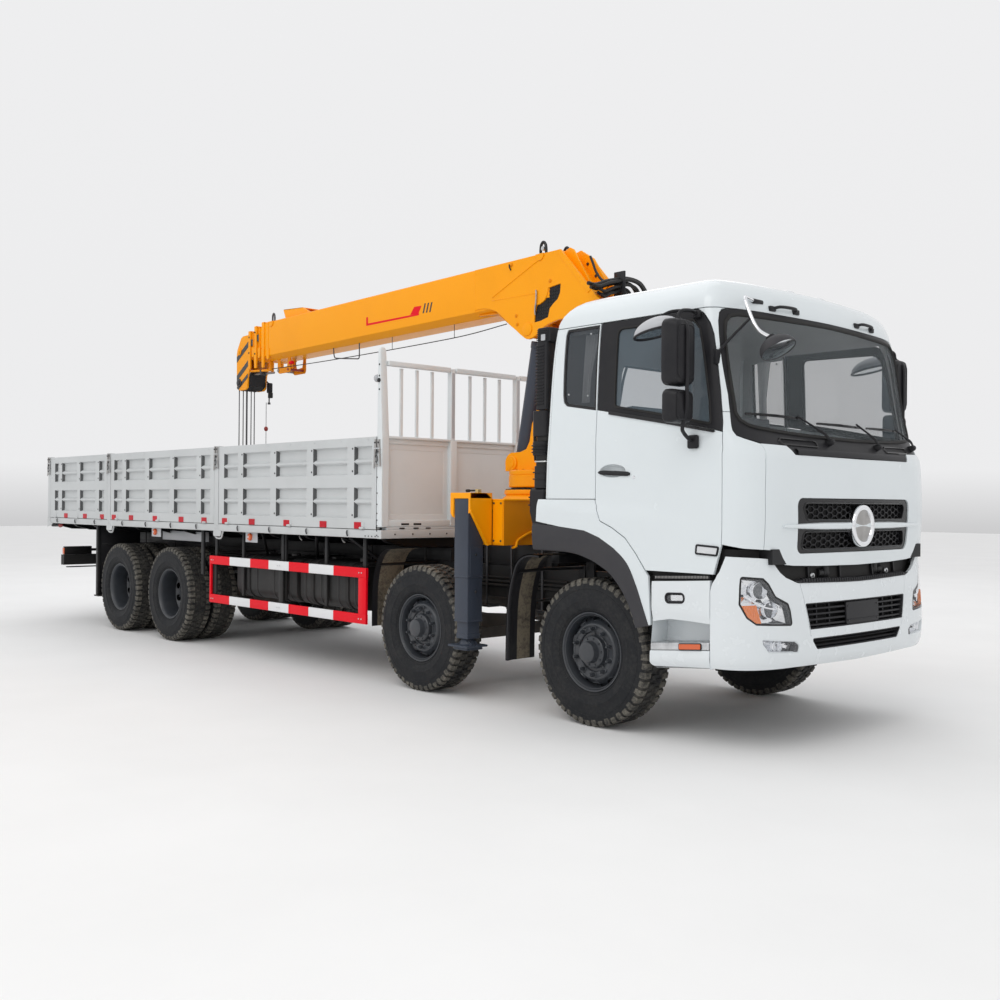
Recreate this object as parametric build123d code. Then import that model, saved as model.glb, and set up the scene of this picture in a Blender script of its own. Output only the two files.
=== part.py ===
from build123d import *
import os, math

# Eight-wheel flat-bed lorry with a slewing telescopic crane between cab and bed.
# Millimetres. +X forward, +Y to the lorry's left, +Z up, ground at Z 0,
# X 0 halfway between the front bumper and the rear of the bed.

os.makedirs("parts", exist_ok=True)

# ---------------------------------------------------------------- driving dimensions
A = 4345.0                    # X of the front axle
AXLES = [A, A - 2000.0, A - 6550.0, A - 7900.0]   # two steered, two driven
HUB_Z = 541.0                 # wheel centre height = tyre radius
TYRE_R, TYRE_HW = 541.0, 146.0
BEAD_R, RIM_R, RIM_IN = 262.0, 290.0, 252.0
FRONT_Y, DUAL_Y, DUAL_HALF = 1020.0, 926.5, 162.5
KING_Y = 790.0                # king pin, from the centre line
SPINDLE_R, BORE_GAP = 45.0, 0.06
RAIL_Y, RAIL_T, RAIL_W = 430.0, 14.0, 85.0
RAIL_Z0, RAIL_Z1 = 790.0, 1070.0
RAIL_X0, RAIL_X1 = A - 9960.0, A + 1120.0
BED_X0, BED_X1 = A - 10190.0, A - 2405.0
BED_HW = 1250.0
BED_RAIL_Z0, BED_FLOOR_Z, SIDE_TOP_Z = 1296.0, 1400.0, 2203.0
HEAD_TOP_Z = 2878.0
POST_W, POST_D = 90.0, 60.0
SIDE_T = 45.0
HINGE_Z, HINGE_OUT = 1385.0, 12.0
SLEW_X, SLEW_Z = A - 1550.0, 1745.0
BOOM_PIVOT = (A - 870.0, 3200.0)     # X, Z
BOOM_DROOP = 0.9                     # degrees, tip down at rest
CYL_LOW = (A - 1890.0, 1985.0)       # lift cylinder's foot pin
CYL_EYE = (A - 1650.0, 3235.0)       # its rod's eye, at rest
LEG_X, LEG_W = A - 1330.0, 170.0
CAB_TILT = (A + 1400.0, 1160.0)      # cab hinge, X, Z
DOOR_PIN = (1179.0, 1249.0)          # door hinges, ahead of the front axle and out from the centre line


# ---------------------------------------------------------------- helpers
def box(x0, x1, y0, y1, z0, z1):
    return Pos((x0 + x1) / 2, (y0 + y1) / 2, (z0 + z1) / 2) * Box(abs(x1 - x0), abs(y1 - y0), abs(z1 - z0))


def cyl(axis, c, r, h):
    turn = {"z": Rot(0, 0, 0), "x": Rot(0, 90, 0), "y": Rot(90, 0, 0)}[axis]
    return Pos(*c) * turn * Cylinder(r, h)


def face(pts):
    return Face(Wire.make_polygon([Vector(*p) for p in pts], close=True))


def prism_xz(pts, y0, y1):
    return Solid(extrude(face([(x, y0, z) for x, z in pts]), amount=y1 - y0, dir=(0, 1, 0)).solids()[0].wrapped)


def prism_xy(pts, z0, z1):
    return Solid(extrude(face([(x, y, z0) for x, y in pts]), amount=z1 - z0, dir=(0, 0, 1)).solids()[0].wrapped)


def prism_yz(pts, x0, x1):
    return Solid(extrude(face([(x0, y, z) for y, z in pts]), amount=x1 - x0, dir=(1, 0, 0)).solids()[0].wrapped)


def fuse(parts):
    out = parts[0]
    for p in parts[1:]:
        out = out + p
    return out


def cut(a, parts):
    for p in parts:
        a = a - p
    return a


def turned(profile, x, y, z, side):
    """Revolve (radius, outward) points about the Y axis through x, z; side is -1 right, +1 left."""
    f = face([(x + r, y + side * w, z) for r, w in profile])
    return revolve(f, Axis((x, y, z), (0, 1, 0)), 360)


def save(node, shape):
    sol = shape.solids()
    shape = sol[0] if len(sol) == 1 else Compound(children=list(sol))
    export_step(shape, "parts/%s.step" % node)


def mirror_y(shape):
    return mirror(shape, about=Plane.XZ)


def arc_pts(cx, cz, r, a0, a1, n):
    return [(cx + r * math.cos(math.radians(a0 + (a1 - a0) * i / n)),
             cz + r * math.sin(math.radians(a0 + (a1 - a0) * i / n))) for i in range(n + 1)]


# ---------------------------------------------------------------- chassis frame
rails = []
for s in (-1, 1):
    y_out, y_in = s * RAIL_Y, s * (RAIL_Y - RAIL_W)
    lo, hi = min(y_out, y_in), max(y_out, y_in)
    web = (s * (RAIL_Y - RAIL_T), s * RAIL_Y)
    rails += [box(RAIL_X0, RAIL_X1, min(web), max(web), RAIL_Z0, RAIL_Z1),
              box(RAIL_X0, RAIL_X1, lo, hi, RAIL_Z0, RAIL_Z0 + RAIL_T),
              box(RAIL_X0, RAIL_X1, lo, hi, RAIL_Z1 - RAIL_T, RAIL_Z1)]
cross = [box(x - 40, x + 40, -RAIL_Y + 7, RAIL_Y - 7, RAIL_Z0 + 110, RAIL_Z1 - 20)
         for x in (RAIL_X0 + 40, A - 8700, A - 7225, A - 5600, A - 4300, A - 3000, A - 1600)]
front_cross = [box(A + 1060, A + 1120, -RAIL_Y, RAIL_Y, RAIL_Z0, RAIL_Z1)]
# cab hinge stands, one each side, and the spring hangers (x, drop below the rail)
stands = [prism_xz([(A + 1100, 900), (A + 1100, 1068), (CAB_TILT[0] - 30, 1192), (CAB_TILT[0] + 30, 1158), (CAB_TILT[0] + 22, 1134)],
                   s * 395 - 28, s * 395 + 28) for s in (-1, 1)]
stands += [cyl("y", (CAB_TILT[0], s * 395, CAB_TILT[1]), 34, 56) for s in (-1, 1)]
stands += [cyl("y", (CAB_TILT[0], s * 361, CAB_TILT[1]), 16, 124) for s in (-1, 1)]
HANGERS = [A + 775, A - 775, A - 1225, A - 2775]
hangers = [box(x - 35, x + 35, s * 395 - 38, s * 395 + 38, 690, RAIL_Z0 + 5) for x in HANGERS for s in (-1, 1)]
rear_bar = [box(A - 9960, A - 9860, -1150, 1150, 720, 860)]
rear_bar += [box(A - 9940, A - 9880, s * 380 - 40, s * 380 + 40, 850, RAIL_Z0 + 40) for s in (-1, 1)]
trunnion = [cyl("y", (A - 7225, 0, 640), 60, 1130)]
trunnion += [box(A - 7225 - 90, A - 7225 + 90, s * 405 - 25, s * 405 + 25, 640, RAIL_Z0 + 6) for s in (-1, 1)]
save("chassis_frame", fuse(rails + cross + front_cross + stands + hangers + rear_bar + trunnion))

# ---------------------------------------------------------------- power train: plain engine block, gearbox, shafts
drive = fuse([box(A - 420, A + 860, -330, 330, 620, 1190),
              box(A - 1180, A - 420, -210, 210, 640, 960),
              cyl("x", ((A - 1180 + AXLES[2] + 330) / 2, 0, 700), 55, (A - 1180) - (AXLES[2] + 330)),
              ])
save("drivetrain", drive)

# ---------------------------------------------------------------- axles
axles = []
for x in AXLES[:2]:
    beam = prism_yz([(-735, 484), (-735, 598), (-560, 598), (-480, 500), (480, 500), (560, 598), (735, 598),
                     (735, 484), (600, 480), (520, 400), (-520, 400), (-600, 480)], x - 48, x + 48)
    for s in (-1, 1):
        beam = beam + cyl("z", (x, s * KING_Y, HUB_Z), 54, 120)
        beam = beam - cyl("z", (x, s * KING_Y, HUB_Z), 25 + BORE_GAP, 200)
    axles.append(beam)
for x in AXLES[2:]:
    h = cyl("y", (x, 0, HUB_Z), 75, 2 * (DUAL_Y - 300))
    h = h + cyl("y", (x, 0, HUB_Z), 60, 2 * (DUAL_Y + 20))
    h = h + cyl("x", (x, 0, HUB_Z), 215, 300)
    h = h + cyl("x", (x + 190, 0, HUB_Z + 60), 90, 260)
    axles.append(h)
save("axles", Compound(children=[s for a in axles for s in a.solids()]))

# leaf springs: packs sitting on the beams, and the bogie's inverted packs
springs = []
for x in AXLES[:2]:
    for s in (-1, 1):
        pts = [(x - 735, 690), (x - 735, 662), (x - 420, 560), (x - 90, 504), (x - 90, 501), (x + 90, 501),
               (x + 90, 504), (x + 420, 560), (x + 735, 662), (x + 735, 690), (x + 300, 640), (x, 622), (x - 300, 640)]
        springs.append(prism_xz(pts, s * 395 - 38, s * 395 + 38))
xm = (AXLES[2] + AXLES[3]) / 2
for s in (-1, 1):
    pts = [(xm - 790, 626), (xm - 790, 650), (xm - 300, 720), (xm - 90, 770), (xm + 90, 770), (xm + 300, 720),
           (xm + 790, 650), (xm + 790, 626), (xm + 300, 672), (xm + 90, 702), (xm - 90, 702), (xm - 300, 672)]
    springs.append(prism_xz(pts, s * 520 - 45, s * 520 + 45))
save("leaf_springs", Compound(children=springs))

# ---------------------------------------------------------------- knuckles, rims, tyres
TYRE = [(BEAD_R + 1, -104), (BEAD_R + 1, 104), (RIM_R + 3, 104), (RIM_R + 12, 124), (360, 143), (430, 146),
        (490, 138), (520, 130), (TYRE_R, 112), (TYRE_R, -112), (520, -130), (490, -138), (430, -146), (360, -143),
        (RIM_R + 12, -124), (RIM_R + 3, -104)]
FRONT_RIM = [(SPINDLE_R + BORE_GAP, -150), (205, -150), (205, -10), (150, 30), (150, 78), (166, 78), (200, 74),
             (232, 40), (RIM_IN, 20), (RIM_IN, -117), (RIM_R, -117), (RIM_R, -105.5), (BEAD_R, -105), (BEAD_R, 105),
             (RIM_R, 105.5), (RIM_R, 117), (RIM_IN + 2, 117), (RIM_IN, 36), (238, 54), (206, 90), (168, 94),
             (118, 94), (112, 120), (78, 126), (72, 172), (0, 175), (0, 60), (SPINDLE_R + BORE_GAP, 60)]
REAR_BORE = 60.0
REAR_RIM = [(REAR_BORE + BORE_GAP, -292), (205, -292), (205, -60), (RIM_IN - 30, -40), (RIM_IN, -80),
            (RIM_IN, -280), (RIM_R, -280), (RIM_R, -268), (BEAD_R, -267.5), (BEAD_R, -57.5), (RIM_R, -57),
            (RIM_R, -46), (262, -20), (262, 20), (RIM_R, 46), (RIM_R, 57), (BEAD_R, 57.5), (BEAD_R, 267.5),
            (RIM_R, 268), (RIM_R, 280), (RIM_IN, 280), (RIM_IN, 80), (RIM_IN - 30, 40), (190, 16), (140, 16),
            (130, 60), (100, 110), (60, 130), (0, 132), (0, 24), (REAR_BORE + BORE_GAP, 24)]
SIDES = [("right", -1), ("left", 1)]
for i, x in enumerate(AXLES[:2], 1):
    for name, s in SIDES:
        y = s * FRONT_Y
        save("tyre_%d_%s" % (i, name), turned(TYRE, x, y, HUB_Z, s))
        save("wheel_%d_%s" % (i, name), turned(FRONT_RIM, x, y, HUB_Z, s))
        ky = s * KING_Y
        k = cyl("y", (x, y - s * 55, HUB_Z), SPINDLE_R, 214)
        k = k + cyl("y", (x, y - s * 163, HUB_Z), 100, 14)
        k = k + box(x - 60, x + 60, min(y - s * 170, y - s * 156), max(y - s * 170, y - s * 156), HUB_Z - 118, HUB_Z + 118)
        for dz in (-92, 92):
            k = k + cyl("z", (x, ky, HUB_Z + dz), 60, 50)
            k = k + box(x - 58, x + 58, min(ky, y - s * 160), max(ky, y - s * 160), HUB_Z + dz - 25, HUB_Z + dz + 25)
        k = k + cyl("z", (x, ky, HUB_Z), 25, 220)
        k = k + box(x - 300, x - 30, ky - 22, ky + 22, HUB_Z - 112, HUB_Z - 80)
        save("knuckle_%d_%s" % (i, name), k)
for i, x in enumerate(AXLES[2:], 3):
    for name, s in SIDES:
        yc = s * DUAL_Y
        tyres = [turned(TYRE, x, yc + d * DUAL_HALF, HUB_Z, s).solids()[0] for d in (-1, 1)]
        save("tyre_%d_%s" % (i, name), Compound(children=tyres))
        save("wheel_%d_%s" % (i, name), turned(REAR_RIM, x, yc, HUB_Z, s))

# ---------------------------------------------------------------- things hung on the frame
tanks = [box(A - 5160, A - 3975, -1120, -560, 610, 1045), box(A - 3915, A - 2870, -1120, -560, 610, 1045),
         box(A - 4700, A - 3300, 540, 1110, 560, 1045), box(A - 5300, A - 4780, 560, 1090, 640, 1045)]
tanks = [chamfer(t.edges().filter_by(Axis.X), 60) for t in tanks]
tanks += [box(x - 30, x + 30, min(s * 431, s * 575), max(s * 431, s * 575), 850, 1000)
          for s in (-1, 1) for x in (A - 4450, A - 3500)]
save("chassis_tanks", fuse(tanks))

guards = []
for s in (-1, 1):
    for z0, z1 in ((930, 1022), (512, 600)):
        guards.append(box(A - 5604, A - 2693, min(s * 1180, s * 1205), max(s * 1180, s * 1205), z0, z1))
    for x in (A - 5540, A - 4180, A - 2780):
        guards.append(box(x - 40, x + 40, min(s * 1160, s * 1180), max(s * 1160, s * 1180), 512, 1022))
        guards.append(box(x - 25, x + 25, min(s * 1140, s * 1160), max(s * 1140, s * 1160), 960, 1096))
        guards.append(box(x - 25, x + 25, min(s * 430, s * 1140), max(s * 430, s * 1140), 1048, 1068))
save("side_guards", Compound(children=guards))

mud = []
for s in (-1, 1):
    lo, hi = min(s * 905, s * 1215), max(s * 905, s * 1215)
    # behind the front wheels: a bent sheet and its flap
    outer = [(A - 470, 1222), (A - 640, 1215), (A - 735, 1130), (A - 790, 950), (A - 815, 700), (A - 820, 400)]
    inner = [(A - 812, 400), (A - 807, 700), (A - 781, 950), (A - 727, 1124), (A - 636, 1206), (A - 470, 1213)]
    m = prism_xz(outer + inner, lo, hi)
    m = m + box(A - 760, A - 720, min(s * 431, s * 915), max(s * 431, s * 915), 1085, 1112)
    m = m + box(A - 760, A - 720, min(s * 431, s * 445), max(s * 431, s * 445), 1000, 1112)
    mud.append(m)
    # rear flap, on an arm
    lo, hi = min(s * 640, s * 1215), max(s * 640, s * 1215)
    m = box(A - 8580, A - 8568, lo, hi, 390, 1290)
    m = m + box(A - 8600, A - 8560, min(s * 431, s * 700), max(s * 431, s * 700), 1000, 1060)
    mud.append(m)
save("mudguards", Compound(children=[x for g in mud for x in g.solids()]))

# air intake: filter housing on the frame, duct and raised inlet behind the cab
air = box(A - 700, A - 520, -1130, -800, 1250, 1640)
air = air + box(A - 640, A - 510, -1170, -1040, 1640, 2860)
air = air + box(A - 660, A - 490, -1180, -1030, 2860, 2960)
air = air + box(A - 690, A - 600, -860, -430, 1150, 1290)
air = air + box(A - 690, A - 600, -460, -431, 900, 1290)
save("air_intake", air)

# ---------------------------------------------------------------- load bed
# posts: centre x of the two intermediate pairs and the rear pair
POSTS = [A - 8155, A - 5380]
bed = [box(BED_X0 + 60, BED_X1 - 80, -1188, 1188, BED_FLOOR_Z - 40, BED_FLOOR_Z),
       box(BED_X1 - 80, BED_X1, -1188, 1188, 1372, BED_FLOOR_Z), box(BED_X1 - 80, BED_X1 - 60, -1188, 1188, BED_FLOOR_Z - 40, 1372)]
bed += [box(BED_X0 + 60, BED_X1 - 60, min(s * 1188, s * BED_HW), max(s * 1188, s * BED_HW), BED_RAIL_Z0, 1372) for s in (-1, 1)]
bed += [box(BED_X0, BED_X0 + 60, -BED_HW, BED_HW, BED_RAIL_Z0, 1372), box(BED_X1 - 60, BED_X1, -BED_HW, BED_HW, BED_RAIL_Z0, 1372)]
bed += [box(BED_X0, A - 2420, min(s * 350, s * 430), max(s * 350, s * 430), RAIL_Z1 + 1, 1199) for s in (-1, 1)]
xs = [BED_X0 + 95 + i * (BED_X1 - BED_X0 - 190) / 12 for i in range(13)]
bed += [box(x - 30, x + 30, -1188, 1188, 1199, BED_FLOOR_Z - 40) for x in xs]
for s in (-1, 1):
    for x in POSTS:
        bed.append(box(x - POST_W / 2, x + POST_W / 2, min(s * 1188, s * BED_HW), max(s * 1188, s * BED_HW), 1372, SIDE_TOP_Z + 12))
    bed.append(box(BED_X0, BED_X0 + POST_W, min(s * 1188, s * BED_HW), max(s * 1188, s * BED_HW), 1372, SIDE_TOP_Z + 12))
save("load_bed", Compound(children=bed))

# headboard: three bays, solid below and barred above
hx0, hx1 = BED_X1 - 75, BED_X1
HB_POSTS = [(-BED_HW, -BED_HW + 80), (-455, -380), (380, 455), (BED_HW - 80, BED_HW)]
hb = []
for y0, y1 in HB_POSTS:
    top = 3000 if abs(y0 + y1) > 1000 else HEAD_TOP_Z - 10
    hb.append(box(hx0, hx1, y0, y1, BED_FLOOR_Z + 1, top))
for k in range(3):
    y_a, y_b = HB_POSTS[k][1], HB_POSTS[k + 1][0]
    for z0, z1 in ((HEAD_TOP_Z - 60, HEAD_TOP_Z), (2140, 2209), (BED_FLOOR_Z + 1, BED_FLOOR_Z + 61)):
        hb.append(box(hx0 + 8, hx1 - 8, y_a, y_b, z0, z1))
    hb.append(box(hx0 + 20, hx0 + 32, y_a, y_b, BED_FLOOR_Z + 61, 2140))
    for j in range(1, 4):
        y = y_a + (y_b - y_a) * j / 4
        hb.append(box(hx0 + 22, hx0 + 42, y - 16, y + 16, 2209, HEAD_TOP_Z - 60))
save("headboard", Compound(children=hb))


# drop sides: pressed panels with a frame; name, x0, x1
def gate(length, height):
    """Panel in its own frame: X along, Y 0 at the outside going inward +, Z up from 0."""
    g = box(0, length, 14, 22, 0, height)
    g = g + box(0, length, 0, SIDE_T, 0, 55) + box(0, length, 0, SIDE_T, height - 55, height)
    g = g + box(0, 50, 0, SIDE_T, 0, height) + box(length - 50, length, 0, SIDE_T, 0, height)
    g = g + box(0, length, 2, 24, height / 2 - 50, height / 2 + 50)
    n = max(2, round(length / 645.0))
    for i in range(1, n):
        x = length * i / n
        g = g + box(x - 24, x + 24, 2, 34, 0, height)
    return g


GATES = [("rear", BED_X0 + POST_W + 8, POSTS[0] - POST_W / 2 - 8), ("middle", POSTS[0] + POST_W / 2 + 8, POSTS[1] - POST_W / 2 - 8),
         ("front", POSTS[1] + POST_W / 2 + 8, hx0 - 8)]
GATE_Z0 = 1408.0
for name, x0, x1 in GATES:
    g = gate(x1 - x0, SIDE_TOP_Z - GATE_Z0)
    right = Pos(x0, -BED_HW, GATE_Z0) * g
    at = (200, (x1 - x0) / 2, x1 - x0 - 200)
    knuckles = [box(x0 + d - 30, x0 + d + 30, -BED_HW - 10, -BED_HW + 10, 1380, 1430) for d in at]
    knuckles += [cyl("x", (x0 + d, -BED_HW - HINGE_OUT, HINGE_Z), 10, 60) for d in at]
    right = fuse([right] + knuckles)
    save("drop_side_right_" + name, right)
    save("drop_side_left_" + name, mirror_y(right))
tg = gate(2 * 1160, SIDE_TOP_Z - GATE_Z0)
tg = Pos(BED_X0, 1160, GATE_Z0) * Rot(0, 0, -90) * tg
tg = fuse([tg] + [box(BED_X0 - 10, BED_X0 + 10, y - 30, y + 30, 1380, 1430) for y in (-800, 0, 800)]
          + [cyl("y", (BED_X0 - HINGE_OUT, y, HINGE_Z), 10, 60) for y in (-800, 0, 800)])
save("tailgate", tg)

# ---------------------------------------------------------------- cab
# plan sections, bottom to top: z, rear x, side half width, x where the corner starts,
# corner (x, y), shoulder (x, y), centre x
CAB = [
    (1165, -395, 1245, 1180, 1375, 1110, 1440, 760, 1474),
    (1560, -395, 1245, 1195, 1395, 1115, 1468, 760, 1502),
    (1950, -385, 1245, 1190, 1370, 1120, 1450, 760, 1486),
    (2040, -380, 1243, 1150, 1282, 1160, 1378, 760, 1424),
    (2900, -330, 1195, 1020, 1120, 1120, 1212, 700, 1254),
    (3060, -250, 1150, 960, 1060, 1050, 1150, 660, 1190),
    (3175, -60, 1000, 820, 900, 900, 960, 560, 990),
    (3225, 150, 800, 560, 620, 700, 680, 440, 700),
]


def cab_pts(row, inset=0.0):
    z, xr, yw, xs, xk, yk, xh, yh, xc = row
    i = inset
    c = 60.0
    return [(xr + i, -(yw - c)), (xr + i + (c - i * 0.4) * (1 if i < c else 0.4), -(yw - i)), (xs, -(yw - i)), (xk - i * 0.75, -(yk - i * 0.6)),
            (xh - i, -yh), (xc - i, 0), (xh - i, yh), (xk - i * 0.75, yk - i * 0.6), (xs, yw - i),
            (xr + i + (c - i * 0.4) * (1 if i < c else 0.4), yw - i), (xr + i, yw - c)]


def cab_row(z):
    for a, b in zip(CAB, CAB[1:]):
        if a[0] <= z <= b[0]:
            t = (z - a[0]) / (b[0] - a[0])
            return tuple(p + t * (q - p) for p, q in zip(a, b))
    return CAB[-1]


def cab_loft(rows, inset):
    wires = [Wire.make_polygon([Vector(x, y, r[0]) for x, y in cab_pts(r, inset)], close=True) for r in rows]
    out = Solid.make_loft(wires, ruled=True)
    return out


outer = cab_loft(CAB, 0)
WALL = 50.0
inner_rows = [cab_row(1340)] + [r for r in CAB if 1345 < r[0] < 3100] + [cab_row(3165)]
inner = cab_loft(inner_rows, WALL)
shell = outer - inner
place = Pos(A, 0, 0)
# engine tunnel and raised floor over the wheels
tunnel = box(-345, 960, -420, 420, 1240, 1500)
shell = shell + tunnel
cutters = [box(-500, 940, -385, 385, 1100, 1470),
           box(-500, 600, -1300, 1300, 1100, 1262)]
# wheel arch: the wing's edge is an arc about the axle
for s in (-1, 1):
    cutters.append(cyl("y", (0, s * 1150, HUB_Z), 735, 420))
shell = cut(shell, cutters)
# the grille's recess and the glazed openings
ws_open = prism_yz([(-1085, 2110), (1085, 2110), (1030, 2850), (-1030, 2850)], 900, 1700)
shell = shell - ws_open
QUARTER = [(-180, 2330), (-130, 2860), (70, 2855), (70, 2300), (-140, 2310)]
DOOR = [(130, 1520), (130, 2905), (1035, 2880), (1120, 2790), (1168, 2600), (1175, 2060), (1175, 1360), (1125, 1165), (605, 1165),
        (560, 1230), (510, 1290), (419, 1384), (299, 1451), (200, 1492)]
DOOR_WIN = [(245, 2285), (245, 2845), (985, 2825), (1050, 2740), (1105, 2560), (1115, 2150)]
door_solids, glass = {}, []
for name, s in SIDES:
    ya, yb = (-1300, -1165) if s < 0 else (1165, 1300)
    qa, qb = (-1300, -1100) if s < 0 else (1100, 1300)
    shell = shell - prism_xz(QUARTER, qa, qb)
body = outer - inner
for name, s in SIDES:
    # the door takes the wall as thick as it is, with a 4 mm gap all round
    ya, yb = (-1300, -1140) if s < 0 else (1140, 1300)
    cx = sum(p[0] for p in DOOR) / len(DOOR)
    cz = sum(p[1] for p in DOOR) / len(DOOR)
    small = [(x + (4 if x < 700 else -4), z + (4 if z < 1700 else -5)) for x, z in DOOR]
    panel = body & prism_xz(small, ya, yb)
    win = prism_xz(DOOR_WIN, ya - 50, yb + 50)
    panel = panel - win
    shell = shell - prism_xz(DOOR, ya, yb)
    door_solids[name] = max(panel.solids(), key=lambda q: q.volume)
big = max(shell.solids(), key=lambda q: q.volume)
# front grille opening in the shell, and rear wings that stand behind the doors
big = big - prism_yz([(-755, 1275), (755, 1275), (755, 1680), (-755, 1680)], 1420, 1600)
# lower edge in front, above the bumper and the lamp corners
big = big - box(1181, 1600, -860, 860, 1100, 1205)
for s in (-1, 1):
    big = big - box(1110, 1600, min(s * 859, s * 1300), max(s * 859, s * 1300), 1100, 1300)
big = max(big.solids(), key=lambda q: q.volume)
wings = []
for s in (-1, 1):
    lo, hi = min(s * 1195, s * 1245), max(s * 1195, s * 1245)
    w = prism_xz([(-490, 1263), (-480, 1640), (-397, 1660), (-325, 1660), (-325, 1263)], lo, hi)
    wings.append(w)
hx = CAB_TILT[0] - A
big = fuse([big] + wings)
for s in (-1, 1):
    big = big + box(hx - 34, hx + 34, s * 330 - 30, s * 330 + 30, CAB_TILT[1], 1252) + cyl("y", (hx, s * 330, CAB_TILT[1]), 34, 60)
    big = big - cyl("y", (hx, s * 330, CAB_TILT[1]), 16 + BORE_GAP, 90)
# hinge barrels of the doors turn in round notches
for s in (-1, 1):
    for z in (1480, 1960):
        big = big - cyl("z", (DOOR_PIN[0], s * DOOR_PIN[1], z), 12, 76)
# pressed panels welded edge to edge: roof, floor, rear wall, side walls, tunnel, front, pillars
ZONES = [(-700, 1700, -1400, 1400, 2870, 3400), (-700, 1700, -1400, 1400, 900, 1345), (-700, -280, -1400, 1400, 1345, 2870),
         (-280, 1100, -1400, -430, 1345, 2110), (-280, 1100, 430, 1400, 1345, 2110), (-280, 1100, -430, 430, 1345, 2110),
         (1100, 1250, -1400, 0, 1345, 2110), (1100, 1250, 0, 1400, 1345, 2110), (1250, 1700, -1400, 1400, 1345, 2110),
         (-280, 1700, -1400, 1400, 2110, 2870)]
panels = []
for zone in ZONES:
    part = big & box(*zone)
    panels += [q for q in part.solids() if q.volume > 2000]
save("cab_shell", place * Compound(children=panels))


def pane(z0, z1, i0, i1, ys):
    """Front glass between two heights, following the plan curve between -ys and ys."""
    wires = []
    for z, yl in ((z0, ys[0]), (z1, ys[1])):
        r = cab_row(z)
        outer_pts = cab_pts(r, i0)[3:8]
        inner_pts = cab_pts(r, i1)[3:8]

        def clip(pts):
            (xa, ya), (xb, yb) = pts[0], pts[1]
            t = (-yl - ya) / (yb - ya)
            first = (xa + t * (xb - xa), -yl)
            return [first] + pts[1:-1] + [(first[0], yl)]
        o, n = clip(outer_pts), clip(inner_pts)
        wires.append(Wire.make_polygon([Vector(x, y, z) for x, y in o + n[::-1]], close=True))
    return Solid.make_loft(wires, ruled=True)


glass.append(place * pane(2114, 2846, 6, 14, (1080, 1026)))
for s in (-1, 1):
    lo, hi = (-1300, -1100) if s < 0 else (1100, 1300)
    q = [(-176, 2334), (-127, 2856), (66, 2851), (66, 2304), (-137, 2314)]
    skin = cab_loft([cab_row(2290), cab_row(2870)], 8) - cab_loft([cab_row(2280), cab_row(2880)], 15)
    g = skin & prism_xz(q, lo, hi)
    glass.append(place * g.solids()[0])
save("cab_glass", Compound(children=[s for g in glass for s in g.solids()]))

gr = prism_xy([(1420, -750), (1458, -750), (1490, 0), (1458, 750), (1420, 750), (1455, 0)], 1280, 1675)
save("grille_panel", place * gr)

# doors with their glass, standing 0.5 mm clear of the panel
for name, s in SIDES:
    skin = cab_loft([cab_row(2100), cab_row(2899)], 20) - cab_loft([cab_row(2090), cab_row(2900)], 26)
    small = [(245.5, 2285.5), (245.5, 2844.5), (984.5, 2824.5), (1049.5, 2739.5), (1104.5, 2559.5), (1114.5, 2150.5)]
    lo, hi = (-1300, -1100) if s < 0 else (1100, 1300)
    g = skin & prism_xz(small, lo, hi)
    g = max(g.solids(), key=lambda q: q.volume)
    leaf = door_solids[name]
    for z in (1480, 1960):
        leaf = leaf + cyl("z", (DOOR_PIN[0], s * DOOR_PIN[1], z), 9, 70) + box(DOOR_PIN[0] - 24, DOOR_PIN[0] - 5, s * 1244 - 4, s * 1244 + 4, z - 35, z + 35)
    leaf = max(leaf.solids(), key=lambda q: q.volume)
    save("door_" + name, place * Compound(children=[leaf, g]))

# mirrors: two heads on a bent tube, held at the door's belt and window frame; front view mirror on the cab
m = box(940, 1060, -1530, -1310, 2385, 2815) + box(940, 1060, -1530, -1310, 2145, 2360)
m = m + box(985, 1015, -1435, -1405, 2350, 2400)
m = m + cyl("z", (1000, -1322, 2460), 14, 868)
m = m + cyl("y", (1000, -1268, 2880), 14, 136) + cyl("y", (1000, -1293, 2040), 14, 86)
m = m + box(960, 1040, -1262, -1247, 2000, 2080)
m = m + box(965, 1010, -1214, -1198, 2856, 2894)
m = place * m
save("mirror_right", m)
save("mirror_left", mirror_y(m))

# cab inside: dashboard with steering wheel, two seats, bunk
dash = prism_xz([(1010, 1341), (1010, 1750), (1080, 1960), (1180, 2025), (1225, 2025), (1290, 1700), (1290, 1341)], -1000, 1000)
dash = dash - box(960, 1345, -430, 430, 1300, 1520)
wheel = Pos(905, 560, 1950) * Rot(0, -35, 0) * Torus(225, 17)
hub = Pos(905, 560, 1950) * Rot(0, -35, 0) * Cylinder(60, 50)
spokes = Pos(905, 560, 1950) * Rot(0, -35, 0) * Box(36, 450, 14)
col2 = Pos(985, 560, 1840) * Rot(0, 145, 0) * Cylinder(30, 300)
centre = hub + spokes
column = col2 - dash - centre
inside = [dash, wheel - spokes, centre, max(column.solids(), key=lambda q: q.volume)]
for y in (-640, 640):
    seat = box(150, 640, y - 250, y + 250, 1500, 1680) + prism_xz([(150, 1560), (60, 2330), (160, 2340), (270, 1660)], y - 240, y + 240)
    seat = seat + box(220, 560, y - 180, y + 180, 1341, 1510)
    inside.append(seat)
inside.append(box(-335, -20, -1130, 1130, 1501, 1660))
save("cab_interior", place * Compound(children=[q for i in inside for q in i.solids()]))

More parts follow.
